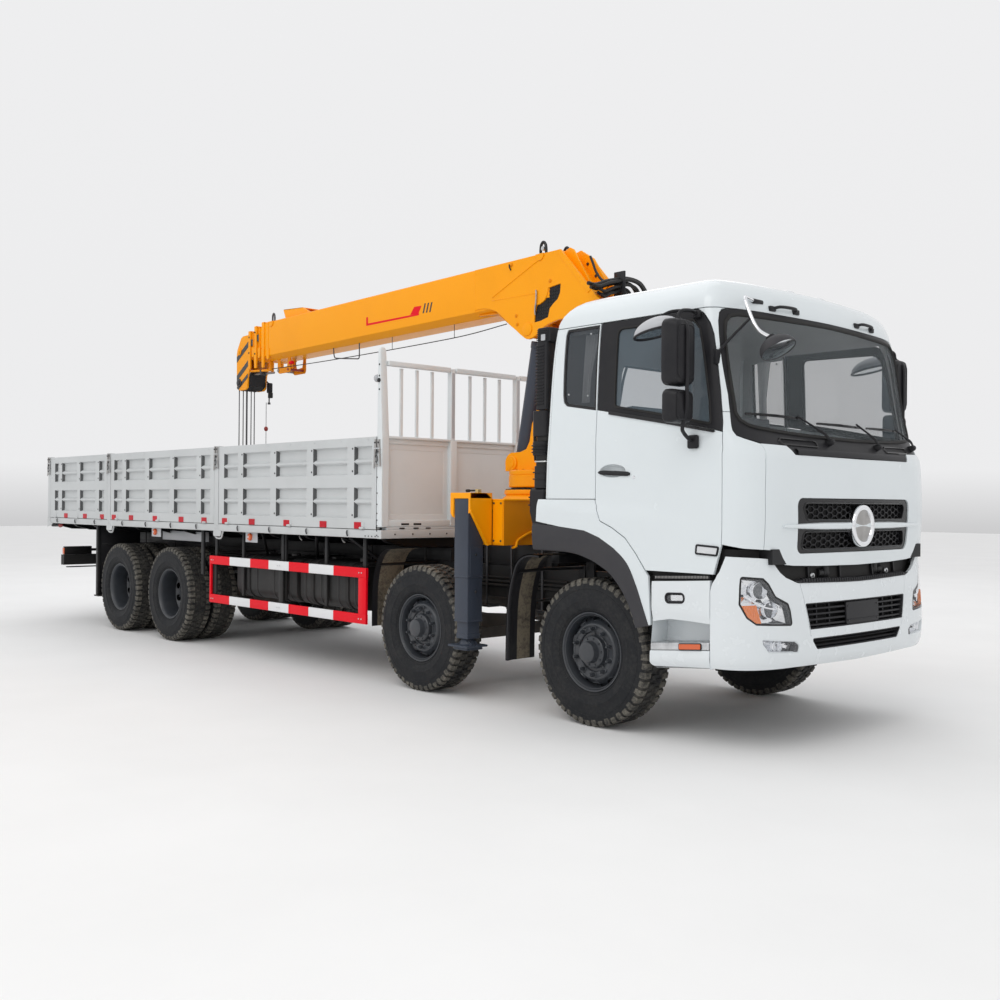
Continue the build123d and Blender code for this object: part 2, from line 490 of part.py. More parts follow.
# front bumper and steps
OUT = [(1140, -1245), (1240, -1245), (1350, -1190), (1430, -1060), (1478, -760), (1500, -300), (1500, 300), (1478, 760),
       (1430, 1060), (1350, 1190), (1240, 1245), (1140, 1245)]
INN = [(1140, -1205), (1225, -1205), (1322, -1158), (1392, -1040), (1438, -745), (1460, -290), (1460, 290), (1438, 745),
       (1392, 1040), (1322, 1158), (1225, 1205), (1140, 1205)]
bumper = prism_xy(OUT + INN[::-1], 560, 1100)
corner = []
for s in (-1, 1):
    o = [(1190, s * 1245), (1240, s * 1245), (1350, s * 1190), (1430, s * 1060), (1458, s * 890)]
    n = [(1418, s * 880), (1392, s * 1040), (1322, s * 1158), (1225, s * 1205), (1190, s * 1205)]
    corner.append(prism_xy(o + n, 1090, 1265))
brackets = [box(1121, 1465, s * 250 - 12, s * 250 + 12, 800, 930) for s in (-1, 1)]
steps = []
for s in (-1, 1):
    def yr(a, b):
        return (min(s * a, s * b), max(s * a, s * b))
    st = [box(640, 1142, *yr(1215, 1245), 826, 1150), box(640, 1142, *yr(1030, 1245), 560, 655),
          box(640, 1142, *yr(1020, 1045), 560, 1150), box(640, 665, *yr(1020, 1245), 560, 1150),
          box(640, 1142, *yr(1030, 1245), 826, 850), box(880, 920, *yr(431, 1030), 880, 930),
          box(1110, 1142, *yr(1020, 1245), 560, 1150)]
    steps.append(fuse(st))
save("front_bumper", place * fuse([bumper] + corner + brackets + steps))

# ---------------------------------------------------------------- crane base, beams and jacks
bx0, bx1 = A - 1990, A - 1090
base = box(bx0, bx1, -460, 460, 1275, 1650) + box(A - 1470, bx1, -1000, 1000, 1275, 1650)
TUN = [("right", LEG_X + 8, LEG_X + 108, -1), ("left", LEG_X - 108, LEG_X - 8, 1)]   # beam tunnels, front one for the right
for name, x0, x1, s in TUN:
    base = base - box(x0, x1, -1010, 1010, 1330, 1570)
base = base + box(bx0 + 20, bx1 - 20, 345, 425, RAIL_Z1 + 1, 1276) + box(bx0 + 20, bx1 - 20, -425, -345, RAIL_Z1 + 1, 1276)
base = base + Pos(SLEW_X, 0, 1660) * Cone(428, 404, 40) + cyl("z", (SLEW_X, 0, 1705), 396, 70)
save("crane_base", base)

for name, x0, x1, s in TUN:
    def yr(a, b):
        return (min(s * a, s * b), max(s * a, s * b))
    beam = box(x0 + 5, x1 - 5, *yr(-900, 1085), 1337, 1563)
    beam = beam - box(x0 + 17, x1 - 17, *yr(-910, 1010), 1349, 1551)
    holder = prism_yz([(s * 1012, 1640), (s * 1012, 1275), (s * 1070, 1275), (s * 1250, 1560), (s * 1250, 1700), (s * 1080, 1700)], LEG_X - 115, LEG_X + 115)
    leg_out = box(LEG_X - 85, LEG_X + 85, *yr(1080, 1250), 655, 1640)
    holder = holder - box(LEG_X - 85.5, LEG_X + 85.5, *yr(1079, 1260), 1200, 1640)
    tube = leg_out - box(LEG_X - 70, LEG_X + 70, *yr(1095, 1235), 600, 1600)
    arm = fuse([beam, holder, tube])
    arm = max(arm.solids(), key=lambda q: q.volume)
    save("outrigger_beam_" + name, arm)
    leg = box(LEG_X - 67, LEG_X + 67, *yr(1098, 1232), 500, 1580)
    leg = leg + box(LEG_X - 92, LEG_X + 92, *yr(1065, 1265), 425, 470) + cyl("z", (LEG_X, s * 1165, 485), 60, 40)
    save("jack_leg_" + name, leg)

# ---------------------------------------------------------------- slewing column
PX, PZ = BOOM_PIVOT
ear = arc_pts(CYL_LOW[0], CYL_LOW[1], 95, 200, 100, 5)
top = arc_pts(PX, PZ, 150, 150, -20, 8)
side_pts = [(A - 1975, 1914)] + ear + [(A - 1700, 2110), (A - 1650, 2200), (A - 1610, 2400), (A - 1330, 2900)] + top + [(A - 790, 2900), (A - 1080, 2300), (A - 1190, 1914)]
col = []
for s in (-1, 1):
    col.append(prism_xz(side_pts, min(s * 128, s * 155), max(s * 128, s * 155)))
front_web = prism_xz([(A - 1190, 1914), (A - 1080, 2300), (A - 790, 2900), (A - 850, 2900), (A - 1135, 2300), (A - 1245, 1914)], -130, 130)
mid_web = prism_xz([(A - 1500, 1914), (A - 1380, 2300), (A - 1150, 2700), (A - 850, 2900), (A - 790, 2900), (A - 820, 2850), (A - 1110, 2640), (A - 1340, 2280), (A - 1460, 1914)], -130, 130)
disc = cyl("z", (SLEW_X, 0, 1837), 376, 154)
pins = [cyl("y", (PX, 0, PZ), 45, 400), cyl("y", (CYL_LOW[0], 0, CYL_LOW[1]), 35, 330)]
winch = cyl("y", (A - 1010, 0, 2480), 130, 250) + cyl("y", (A - 1010, -118, 2480), 165, 20) + cyl("y", (A - 1010, 118, 2480), 165, 20)
winch_arm = box(A - 1120, A - 1000, -128, 128, 2440, 2520)
save("slew_column", fuse([disc, front_web, mid_web] + col + pins + [winch, winch_arm]))

# ---------------------------------------------------------------- boom, drawn level about its pivot, then drooped
def hexagon(hw, z_top, z_bot, bev=0.6, rise=55.0):
    return [(-hw, z_top), (hw, z_top), (hw, z_bot + rise), (hw * bev, z_bot), (-hw * bev, z_bot), (-hw, z_bot + rise)]


def boom_place(shape):
    return Pos(PX, 0, PZ) * Rot(0, -BOOM_DROOP, 0) * shape


# sections: node, half width, top, bottom, rear x, front x, wall
SECTIONS = [("boom_base", 190, 643, 190, -470, -5360, 10), ("boom_section_2", 165, 607, 222, -640, -5560, 9),
            ("boom_section_3", 140, 573, 254, -700, -5745, 9), ("boom_head", 115, 540, 286, -760, -5800, 9)]
for node, hw, zt, zb, xr, xf, t in SECTIONS:
    tube = prism_yz(hexagon(hw, zt, zb), xf, xr)
    hollow = prism_yz(hexagon(hw - t, zt - t, zb + t, 0.58), xf - 5, xr + 5)
    s = tube - hollow
    # front collar of each open section
    if node != "boom_head":
        s = s + (prism_yz(hexagon(hw + 9, zt + 9, zb - 9), xf, xf + 70) - hollow)
    if node == "boom_base":
        KNEE = [(-1500, 250), (-1370, 225), (-1220, 200), (-1110, 130), (-1020, 45), (-880, -60), (-790, -100), (-690, -90),
                (-565, -30), (-400, 30), (-230, 20), (-150, -60)]
        heel = arc_pts(0, 0, 150, 205, 400, 8)
        plate = KNEE + heel + [(-15, 235), (-386, 643), (-1500, 643)]
        for sg in (-1, 1):
            p = prism_xz(plate, min(sg * 162, sg * 196), max(sg * 162, sg * 196))
            s = s + p
        s = s + prism_xz([(-470, 643), (-386, 643), (-20, 240), (-50, 215), (-400, 600), (-470, 600)], -165, 165)
        s = s - cyl("y", (0, 0, 0), 45 + BORE_GAP, 420)
        # clear the inside for the next section and for the column's head
        s = s - prism_yz(hexagon(181, 633, 200, 0.58), -6000, -560)
    if node == "boom_head":
        nose = [(-5790, 580), (-5960, 575), (-6060, 500), (-6135, 330), (-6140, 60), (-6150, -20), (-6130, -75),
                (-6050, -85), (-5960, -60), (-5905, 40), (-5790, 200)]
        for sg in (-1, 1):
            s = s + prism_xz(nose, min(sg * 110, sg * 136), max(sg * 110, sg * 136))
        s = s + prism_xz([(-5800, 580), (-5960, 575), (-6060, 500), (-6050, 480), (-5950, 552), (-5800, 555)], -118, 118)
        s = s + cyl("y", (-6020, 0, -10), 28, 270)
        s = s + cyl("y", (-6010, 0, 380), 28, 240) + cyl("y", (-6010, 0, 380), 95, 60)
        for y in (-84, -28, 28, 84):
            s = s + cyl("y", (-6020, y, -10), 95, 22)
    s = boom_place(s)
    s = max(s.solids(), key=lambda q: q.volume)
    save(node, s)

# lift cylinder: barrel on the foot pin, rod with its eye between the knee plates
cx, cz = CYL_LOW
ex, ez = CYL_EYE
length = math.hypot(ex - cx, ez - cz)
lean = math.degrees(math.atan2(ex - cx, ez - cz))
barrel = Pos(0, 0, (55 + length - 150) / 2) * Cylinder(92, length - 150 - 55)
barrel = barrel + cyl("y", (0, 0, 0), 64, 190)
barrel = barrel - cyl("y", (0, 0, 0), 35 + BORE_GAP, 260)
barrel = barrel - Pos(0, 0, (120 + length) / 2) * Cylinder(56, length - 120)
rod = Pos(0, 0, (140 + length - 40) / 2) * Cylinder(54, length - 180)
rod = rod + cyl("y", (0, 0, length), 62, 110) + cyl("y", (0, 0, length), 30, 300)
tilt = Pos(cx, 0, cz) * Rot(0, lean, 0)
save("lift_cylinder_barrel", tilt * barrel)
save("lift_cylinder_rod", tilt * rod)

# hoist ropes and hook block, hanging from the boom head's lower sheaves
hp = boom_place(Pos(-6020, 0, -10) * Sphere(1)).center()
HX, HZ = hp.X, hp.Z
ropes = [cyl("z", (HX + dx, y, (HZ - 100 + 2270) / 2), 7, HZ - 100 - 2270) for dx, y in ((-88, -84), (-88, -28), (-88, 28), (-88, 84), (88, -84), (88, 28))]
save("hoist_ropes", Compound(children=[r for r in ropes]))
block = prism_xz([(HX - 150, 2268), (HX + 150, 2268), (HX + 150, 2120), (HX + 60, 1960), (HX - 60, 1960), (HX - 150, 2120)], -105, 105)
block = block + cyl("z", (HX, 0, 1930), 45, 80)
hook_ring = Pos(HX, 0, 1770) * Rot(90, 0, 0) * Torus(95, 32)
hook_ring = hook_ring - box(HX + 20, HX + 200, -60, 60, 1775, 1850)
block = block + hook_ring + cyl("z", (HX, 0, 1880), 32, 60)
save("hook_block", max(block.solids(), key=lambda q: q.volume))
print("hook x %.1f z %.1f, cylinder %.1f lean %.2f" % (HX, HZ, length, lean))
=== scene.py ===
import bpy, bmesh, math, random
import numpy as np
from mathutils import Vector, Matrix, geometry


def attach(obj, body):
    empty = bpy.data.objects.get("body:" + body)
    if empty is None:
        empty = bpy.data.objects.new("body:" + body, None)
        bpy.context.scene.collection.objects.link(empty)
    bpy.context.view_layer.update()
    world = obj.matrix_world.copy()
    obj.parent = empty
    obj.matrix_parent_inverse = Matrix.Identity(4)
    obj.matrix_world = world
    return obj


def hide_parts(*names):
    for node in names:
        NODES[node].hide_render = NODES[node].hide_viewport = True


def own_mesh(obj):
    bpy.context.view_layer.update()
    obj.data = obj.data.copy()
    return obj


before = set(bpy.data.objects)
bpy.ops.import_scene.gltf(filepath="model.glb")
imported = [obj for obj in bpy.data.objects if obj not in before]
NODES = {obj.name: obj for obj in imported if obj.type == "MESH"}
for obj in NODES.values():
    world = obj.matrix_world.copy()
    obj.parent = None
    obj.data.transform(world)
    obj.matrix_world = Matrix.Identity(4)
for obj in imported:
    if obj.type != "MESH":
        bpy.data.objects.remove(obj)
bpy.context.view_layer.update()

A = 4.345                      # X of the front axle
SIDES = (("right", -1.0), ("left", 1.0))
mm = 0.001


# ------------------------------------------------------------------ materials
def ramp(nt, fac, stops):
    r = nt.nodes.new("ShaderNodeValToRGB")
    els = r.color_ramp.elements
    while len(els) < len(stops):
        els.new(0.5)
    for e, (p, c) in zip(els, stops):
        e.position = p
        e.color = (c[0], c[1], c[2], 1.0)
    nt.links.new(fac, r.inputs["Fac"])
    return r.outputs["Color"]


def noise(nt, vec, scale, detail=4.0, rough=0.55):
    n = nt.nodes.new("ShaderNodeTexNoise")
    n.inputs["Scale"].default_value = scale
    n.inputs["Detail"].default_value = detail
    n.inputs["Roughness"].default_value = rough
    nt.links.new(vec, n.inputs["Vector"])
    return n.outputs["Fac"]


def mixc(nt, fac, a, b):
    m = nt.nodes.new("ShaderNodeMix")
    m.data_type = "RGBA"
    if isinstance(fac, float):
        m.inputs["Factor"].default_value = fac
    else:
        nt.links.new(fac, m.inputs["Factor"])
    for sock, v in ((m.inputs["A"], a), (m.inputs["B"], b)):
        if isinstance(v, tuple):
            sock.default_value = (v[0], v[1], v[2], 1.0)
        else:
            nt.links.new(v, sock)
    return m.outputs["Result"]


def math_n(nt, op, a, b=None, c=None, clamp=False):
    m = nt.nodes.new("ShaderNodeMath")
    m.operation = op
    m.use_clamp = clamp
    for i, v in enumerate((a, b, c)):
        if v is None:
            continue
        if isinstance(v, (int, float)):
            m.inputs[i].default_value = float(v)
        else:
            nt.links.new(v, m.inputs[i])
    return m.outputs[0]


def base_mat(name):
    m = bpy.data.materials.new(name)
    m.use_nodes = True
    nt = m.node_tree
    bsdf = nt.nodes["Principled BSDF"]
    tc = nt.nodes.new("ShaderNodeTexCoord")
    return m, nt, bsdf, tc.outputs["Object"]


def set_in(bsdf, **kw):
    for k, v in kw.items():
        bsdf.inputs[k.replace("_", " ")].default_value = v


def bump(nt, bsdf, height, strength, dist):
    b = nt.nodes.new("ShaderNodeBump")
    b.inputs["Strength"].default_value = strength
    b.inputs["Distance"].default_value = dist
    nt.links.new(height, b.inputs["Height"])
    nt.links.new(b.outputs["Normal"], bsdf.inputs["Normal"])
    return b


def paint(name, col, rough=0.28, var=0.05, coat=0.35, grime=0.0, grime_col=(0.12, 0.10, 0.08), metallic=0.0, orange=0.02, grime_top=0.9, spec=0.5):
    """Sprayed paint: slight tone drift, orange peel, optional road dirt that thickens downwards."""
    m, nt, bsdf, oc = base_mat(name)
    n1 = noise(nt, oc, 1.7, 5.0)
    dark = tuple(c * (1 - var * 1.6) for c in col)
    light = tuple(min(1.0, c * (1 + var)) for c in col)
    c = ramp(nt, n1, [(0.25, dark), (0.5, col), (0.8, light)])
    if grime > 0:
        sep = nt.nodes.new("ShaderNodeSeparateXYZ")
        nt.links.new(oc, sep.inputs[0])
        n2 = noise(nt, oc, 7.0, 6.0, 0.65)
        lo = math_n(nt, "SUBTRACT", grime_top, sep.outputs["Z"])
        lo = math_n(nt, "MULTIPLY", lo, 1.4, clamp=True)
        f = math_n(nt, "MULTIPLY", lo, n2)
        f = math_n(nt, "MULTIPLY", f, grime * 1.6, clamp=True)
        c = mixc(nt, f, c, grime_col)
    nt.links.new(c, bsdf.inputs["Base Color"])
    n3 = noise(nt, oc, 9.0, 3.0)
    r = nt.nodes.new("ShaderNodeMapRange")
    r.inputs["To Min"].default_value = max(0.02, rough - 0.05)
    r.inputs["To Max"].default_value = rough + 0.09
    nt.links.new(n3, r.inputs["Value"])
    nt.links.new(r.outputs[0], bsdf.inputs["Roughness"])
    n4 = noise(nt, oc, 160.0, 2.0)
    bump(nt, bsdf, n4, orange, 0.002)
    set_in(bsdf, Metallic=metallic, Coat_Weight=coat, Coat_Roughness=0.08, Specular_IOR_Level=spec)
    return m


def plastic(name, col, rough=0.55, grain=0.15, scale=420.0, dust=0.12, dust_col=(0.30, 0.28, 0.25)):
    """Grained moulded plastic or rubber with a little dust."""
    m, nt, bsdf, oc = base_mat(name)
    n1 = noise(nt, oc, 5.0, 6.0, 0.6)
    n2 = noise(nt, oc, scale, 3.0)
    f = math_n(nt, "MULTIPLY", n1, dust * 1.7, clamp=True)
    c = mixc(nt, f, col, dust_col)
    nt.links.new(c, bsdf.inputs["Base Color"])
    r = nt.nodes.new("ShaderNodeMapRange")
    r.inputs["To Min"].default_value = rough - 0.08
    r.inputs["To Max"].default_value = rough + 0.1
    nt.links.new(n1, r.inputs["Value"])
    nt.links.new(r.outputs[0], bsdf.inputs["Roughness"])
    bump(nt, bsdf, n2, grain, 0.0015)
    set_in(bsdf, Specular_IOR_Level=0.28)
    return m


def metal(name, col, rough=0.3, metallic=1.0, var=0.12, scratch=0.08):
    m, nt, bsdf, oc = base_mat(name)
    n1 = noise(nt, oc, 14.0, 5.0)
    c = ramp(nt, n1, [(0.3, tuple(v * (1 - var) for v in col)), (0.7, tuple(min(1, v * (1 + var)) for v in col))])
    nt.links.new(c, bsdf.inputs["Base Color"])
    mp = nt.nodes.new("ShaderNodeMapping")
    mp.inputs["Scale"].default_value = (30, 30, 700)
    nt.links.new(oc, mp.inputs["Vector"])
    n2 = noise(nt, mp.outputs[0], 3.0, 2.0)
    r = nt.nodes.new("ShaderNodeMapRange")
    r.inputs["To Min"].default_value = max(0.02, rough - 0.06)
    r.inputs["To Max"].default_value = rough + 0.12
    nt.links.new(n2, r.inputs["Value"])
    nt.links.new(r.outputs[0], bsdf.inputs["Roughness"])
    bump(nt, bsdf, n2, scratch, 0.0006)
    set_in(bsdf, Metallic=metallic)
    return m


def rubber_tyre(name, dusty=1.0, cut=0.30, dust_col=(0.16, 0.15, 0.13)):
    m, nt, bsdf, oc = base_mat(name)
    n1 = noise(nt, oc, 6.0, 8.0, 0.7)
    n2 = noise(nt, oc, 45.0, 6.0, 0.7)
    n3 = noise(nt, oc, 260.0, 3.0)
    f = math_n(nt, "MULTIPLY", n1, n2)
    f = math_n(nt, "MULTIPLY", f, 1.7, clamp=True)
    f = math_n(nt, "SUBTRACT", f, cut, clamp=True)
    f = math_n(nt, "MULTIPLY", f, 1.5 * dusty, clamp=True)
    c = mixc(nt, f, (0.014, 0.015, 0.0175), dust_col)
    nt.links.new(c, bsdf.inputs["Base Color"])
    set_in(bsdf, Roughness=0.66, Specular_IOR_Level=0.25)
    s = math_n(nt, "ADD", math_n(nt, "MULTIPLY", n2, 0.5), math_n(nt, "MULTIPLY", n3, 0.5))
    bump(nt, bsdf, s, 0.35, 0.003)
    return m


def glassy(name, col, rough=0.03, alpha=1.0, transmission=0.0, ior=1.45, spec=0.5):
    m, nt, bsdf, oc = base_mat(name)
    n1 = noise(nt, oc, 3.0, 3.0)
    c = ramp(nt, n1, [(0.3, tuple(v * 0.9 for v in col)), (0.7, tuple(min(1, v * 1.08) for v in col))])
    nt.links.new(c, bsdf.inputs["Base Color"])
    set_in(bsdf, Roughness=rough, Alpha=alpha, Transmission_Weight=transmission, IOR=ior)
    n2 = noise(nt, oc, 2.2, 2.0)
    bump(nt, bsdf, n2, 0.02, 0.002)
    return m


def lens(name, col, trans=0.0, rough=0.08, pitch=110.0):
    """Moulded lamp lens: fine prisms under clear gloss."""
    m, nt, bsdf, oc = base_mat(name)
    w = nt.nodes.new("ShaderNodeTexWave")
    w.inputs["Scale"].default_value = pitch
    w.inputs["Distortion"].default_value = 0.4
    nt.links.new(oc, w.inputs["Vector"])
    c = mixc(nt, w.outputs["Fac"], tuple(v * 0.72 for v in col), col)
    nt.links.new(c, bsdf.inputs["Base Color"])
    set_in(bsdf, Roughness=rough, Coat_Weight=0.8, Coat_Roughness=0.02, Transmission_Weight=trans)
    bump(nt, bsdf, w.outputs["Fac"], 0.25, 0.002)
    return m


M = {}
M["white"] = paint("cab_white_paint", (0.715, 0.765, 0.785), rough=0.22, var=0.012, coat=0.5)
M["white_low"] = paint("bumper_white_paint", (0.725, 0.765, 0.785), rough=0.24, var=0.012, coat=0.45)
M["bed"] = paint("bed_pale_paint", (0.56, 0.58, 0.585), rough=0.42, var=0.05, coat=0.08, grime=0.25, grime_col=(0.30, 0.28, 0.25), grime_top=1.55, orange=0.06)
M["yellow"] = paint("crane_yellow_paint", (1.0, 0.375, 0.0015), rough=0.34, var=0.03, coat=0.04, orange=0.03, spec=0.18)
# darker copy of the crane yellow for front faces, undersides, tunnels, inner webs and some small bosses and bolts:
# painted shade
M["yellow_dark"] = paint("crane_yellow_painted_shade_paint", (0.80, 0.27, 0.002), rough=0.40, var=0.07, coat=0.03, spec=0.15)
M["jack"] = paint("jack_slate_paint", (0.040, 0.050, 0.072), rough=0.42, var=0.10, coat=0.05, orange=0.08, spec=0.35)
M["chassis"] = paint("chassis_black_paint", (0.010, 0.0105, 0.012), rough=0.5, var=0.25, coat=0.04, grime=0.28, grime_col=(0.07, 0.062, 0.052), grime_top=1.25, orange=0.08, spec=0.3)
M["rim"] = paint("rim_slate_paint", (0.026, 0.032, 0.042), rough=0.36, var=0.15, coat=0.15, grime=0.25, grime_col=(0.10, 0.095, 0.09), grime_top=1.2, orange=0.05)
M["iron"] = paint("cast_iron_paint", (0.022, 0.023, 0.025), rough=0.6, var=0.3, coat=0.0, grime=0.6, grime_col=(0.12, 0.10, 0.08), grime_top=1.2, orange=0.3)
M["trim"] = plastic("black_grained_trim", (0.0085, 0.0090, 0.0125), rough=0.42, grain=0.2, dust=0.04)
M["flare"] = plastic("flare_grained_trim", (0.030, 0.030, 0.036), rough=0.55, grain=0.35, scale=300.0, dust=0.06)
M["gloss_black"] = plastic("gloss_black_trim", (0.008, 0.008, 0.010), rough=0.16, grain=0.03, dust=0.03)
M["seal"] = plastic("rubber_seal", (0.012, 0.012, 0.013), rough=0.6, grain=0.1, dust=0.05)
M["hose"] = plastic("black_hose", (0.012, 0.012, 0.013), rough=0.45, grain=0.12, dust=0.06)
M["interior"] = plastic("interior_grey", (0.10, 0.105, 0.115), rough=0.7, grain=0.25, dust=0.05)
M["headliner"] = plastic("headliner_pale", (0.42, 0.43, 0.44), rough=0.85, grain=0.3, dust=0.03)
M["tyre"] = rubber_tyre("tyre_rubber", 0.35, 0.34, (0.10, 0.095, 0.085))
M["tread"] = rubber_tyre("tyre_tread_rubber", 0.8, 0.26, (0.15, 0.138, 0.115))
M["shoulder"] = rubber_tyre("tyre_shoulder_rubber", 1.5, 0.22, (0.20, 0.185, 0.155))
M["chrome"] = metal("bright_chrome", (0.86, 0.87, 0.89), rough=0.07, scratch=0.01, var=0.03)
M["reflector"] = metal("lamp_reflector", (0.80, 0.81, 0.83), rough=0.10, scratch=0.02, var=0.05)
M["steel"] = metal("worn_steel", (0.42, 0.41, 0.40), rough=0.38)
M["darksteel"] = metal("dark_steel", (0.10, 0.10, 0.105), rough=0.42)
M["alu"] = metal("step_aluminium", (0.62, 0.63, 0.64), rough=0.35)
M["rope"] = metal("wire_rope_steel", (0.09, 0.09, 0.095), rough=0.45)
M["glass"] = glassy("window_glass", (0.62, 0.70, 0.74), rough=0.02, alpha=0.10, ior=1.5)
M["glass_dark"] = glassy("tinted_glass", (0.03, 0.04, 0.05), rough=0.03, alpha=0.62, ior=1.5)
M["lens_clear"] = glassy("lamp_cover", (0.80, 0.84, 0.88), rough=0.03, alpha=0.10, ior=1.45)
M["glass_door"] = glassy("door_glass", (0.10, 0.14, 0.17), rough=0.02, alpha=0.58, ior=1.5)
M["dust"] = paint("dried_mud", (0.24, 0.215, 0.175), rough=0.8, var=0.3, coat=0.0, orange=0.6)
M["brass"] = metal("worn_brass", (0.62, 0.46, 0.20), rough=0.3)
M["reel"] = paint("pale_grey_fittings", (0.46, 0.47, 0.49), rough=0.35, var=0.06, coat=0.2)
M["amber"] = lens("amber_lens", (0.85, 0.20, 0.01))
M["orange"] = lens("orange_marker_lens", (0.80, 0.12, 0.01), pitch=220.0)
M["red_lens"] = paint("red_reflector_lens", (0.52, 0.002, 0.014), rough=0.30, var=0.08, coat=0.05, spec=0.2, orange=0.1)
M["lampwhite"] = lens("white_lamp_lens", (0.78, 0.80, 0.82), pitch=180.0)
M["mirror"] = metal("mirror_glass", (0.75, 0.78, 0.80), rough=0.03, scratch=0.0, var=0.02)
M["red"] = paint("red_stripe_paint", (0.80, 0.002, 0.014), rough=0.36, var=0.04, coat=0.02, spec=0.15)
M["stripe_white"] = paint("white_stripe_paint", (0.76, 0.77, 0.78), rough=0.34, var=0.03)
M["red_paint"] = paint("dull_red_paint", (0.26, 0.015, 0.012), rough=0.45, var=0.1)
M["black_stripe"] = paint("black_stripe_paint", (0.012, 0.012, 0.014), rough=0.35, var=0.1)
M["seat"] = plastic("seat_cloth", (0.045, 0.05, 0.06), rough=0.9, grain=0.5, scale=700.0, dust=0.1)
# darken the mirror-like sheen of the plastics
for _k in ("trim", "seal", "hose", "gloss_black", "tyre", "tread", "shoulder"):
    for _n in M[_k].node_tree.nodes:
        if _n.type == "BSDF_PRINCIPLED":
            _n.inputs["Specular IOR Level"].default_value = 0.22 if _k != "gloss_black" else 0.35


# ------------------------------------------------------------------ body surfaces
def pchip(xs, ys, x):
    """Monotone cubic through (xs, ys), evaluated at x; ys may have columns."""
    xs, ys, x = np.asarray(xs, float), np.asarray(ys, float), np.asarray(x, float)
    if ys.ndim == 1:
        ys = ys[:, None]
    h = np.diff(xs)
    d = np.diff(ys, axis=0) / h[:, None]
    m = np.zeros_like(ys)
    m[0], m[-1] = d[0], d[-1]
    for i in range(1, len(xs) - 1):
        same = (d[i - 1] * d[i]) > 0
        w1, w2 = 2 * h[i] + h[i - 1], h[i] + 2 * h[i - 1]
        with np.errstate(divide="ignore", invalid="ignore"):
            v = (w1 + w2) / (w1 / d[i - 1] + w2 / d[i])
        m[i] = np.where(same, v, 0.0)
    xc = np.clip(x, xs[0], xs[-1])
    k = np.clip(np.searchsorted(xs, xc) - 1, 0, len(xs) - 2)
    t = ((xc - xs[k]) / h[k])[:, None]
    H = h[k][:, None]
    return ((2 * t ** 3 - 3 * t ** 2 + 1) * ys[k] + (t ** 3 - 2 * t ** 2 + t) * H * m[k] + (-2 * t ** 3 + 3 * t ** 2) * ys[k + 1] + (t ** 3 - t ** 2) * H * m[k + 1])


# plan knots at each height, metres from the front axle: z, rear x, half width, corner start x,
# corner (x, y), shoulder (x, y), centre x
CAB_ROWS = np.array([
    (1.165, -0.395, 1.245, 1.185, 1.372, 1.105, 1.440, 0.760, 1.474),
    (1.560, -0.395, 1.245, 1.200, 1.395, 1.110, 1.468, 0.760, 1.502),
    (1.950, -0.385, 1.245, 1.195, 1.376, 1.115, 1.452, 0.760, 1.488),
    (2.040, -0.380, 1.243, 1.168, 1.318, 1.140, 1.398, 0.760, 1.440),
    (2.130, -0.375, 1.240, 1.150, 1.268, 1.150, 1.352, 0.760, 1.400),
    (2.900, -0.330, 1.195, 1.030, 1.120, 1.120, 1.205, 0.700, 1.250),
    (2.960, -0.300, 1.185, 1.010, 1.100, 1.100, 1.185, 0.690, 1.230)])
BUMPER_ROWS = np.array([
    (0.535, 0.640, 1.205, 1.150, 1.345, 1.085, 1.430, 0.760, 1.462),
    (0.575, 0.640, 1.232, 1.180, 1.378, 1.105, 1.462, 0.760, 1.494),
    (0.650, 0.640, 1.243, 1.192, 1.394, 1.114, 1.476, 0.760, 1.508),
    (0.800, 0.640, 1.245, 1.195, 1.396, 1.116, 1.478, 0.760, 1.510),
    (1.000, 0.640, 1.245, 1.195, 1.388, 1.114, 1.468, 0.760, 1.500),
    (1.100, 0.640, 1.245, 1.192, 1.378, 1.110, 1.456, 0.760, 1.488),
    (1.340, 0.640, 1.245, 1.187, 1.362, 1.105, 1.432, 0.760, 1.466)])
SEG = np.array([1.590, 0.245, 0.365, 0.762])      # nominal lengths of the four plan stretches
SK = np.concatenate([[0.0], np.cumsum(SEG)])      # 0, 1.590, 1.835, 2.200, 2.962
SC = SK[-1]                                       # middle of the front


def plan_point(rows, s, z):
    """Right-hand half of the plan curve at height z; s past the middle mirrors to the left."""
    s, z = np.asarray(s, float), np.asarray(z, float)
    left = s > SC
    ss = np.where(left, 2 * SC - s, s)
    ss = np.clip(ss, -0.2, SC)
    K = pchip(rows[:, 0], rows[:, 1:], z)
    xr, yw, xs, xk, yk, xh, yh, xc = K.T
    P = [np.stack([xr, -yw], 1), np.stack([xs, -yw], 1), np.stack([xk, -yk], 1), np.stack([xh, -yh], 1), np.stack([xc, 0 * xc], 1)]

    def unit(v):
        return v / np.linalg.norm(v, axis=1)[:, None]
    one = np.ones_like(xr)
    T = [np.stack([one, 0 * one], 1), np.stack([one, 0 * one], 1), unit(P[3] - P[1]), unit(P[4] - P[2]), np.stack([0 * one, one], 1)]
    T[3] = unit(T[3] * np.array([0.8, 1.0]))
    out = np.zeros((len(ss), 2))
    for i in range(4):
        m = (ss >= SK[i]) if i == 3 else (ss < SK[i + 1]) if i == 0 else ((ss >= SK[i]) & (ss < SK[i + 1]))
        t = ((ss - SK[i]) / SEG[i])[:, None]
        a, b = P[i], P[i + 1]
        L = np.linalg.norm(b - a, axis=1)[:, None]
        ta, tb = T[i] * L, T[i + 1] * L
        if i == 0:
            q = a + (b - a) * t
        else:
            q = (2 * t ** 3 - 3 * t ** 2 + 1) * a + (t ** 3 - 2 * t ** 2 + t) * ta + (-2 * t ** 3 + 3 * t ** 2) * b + (t ** 3 - t ** 2) * tb
        out[m] = q[m]
    out[:, 1] = np.where(left, -out[:, 1], out[:, 1])
    return out


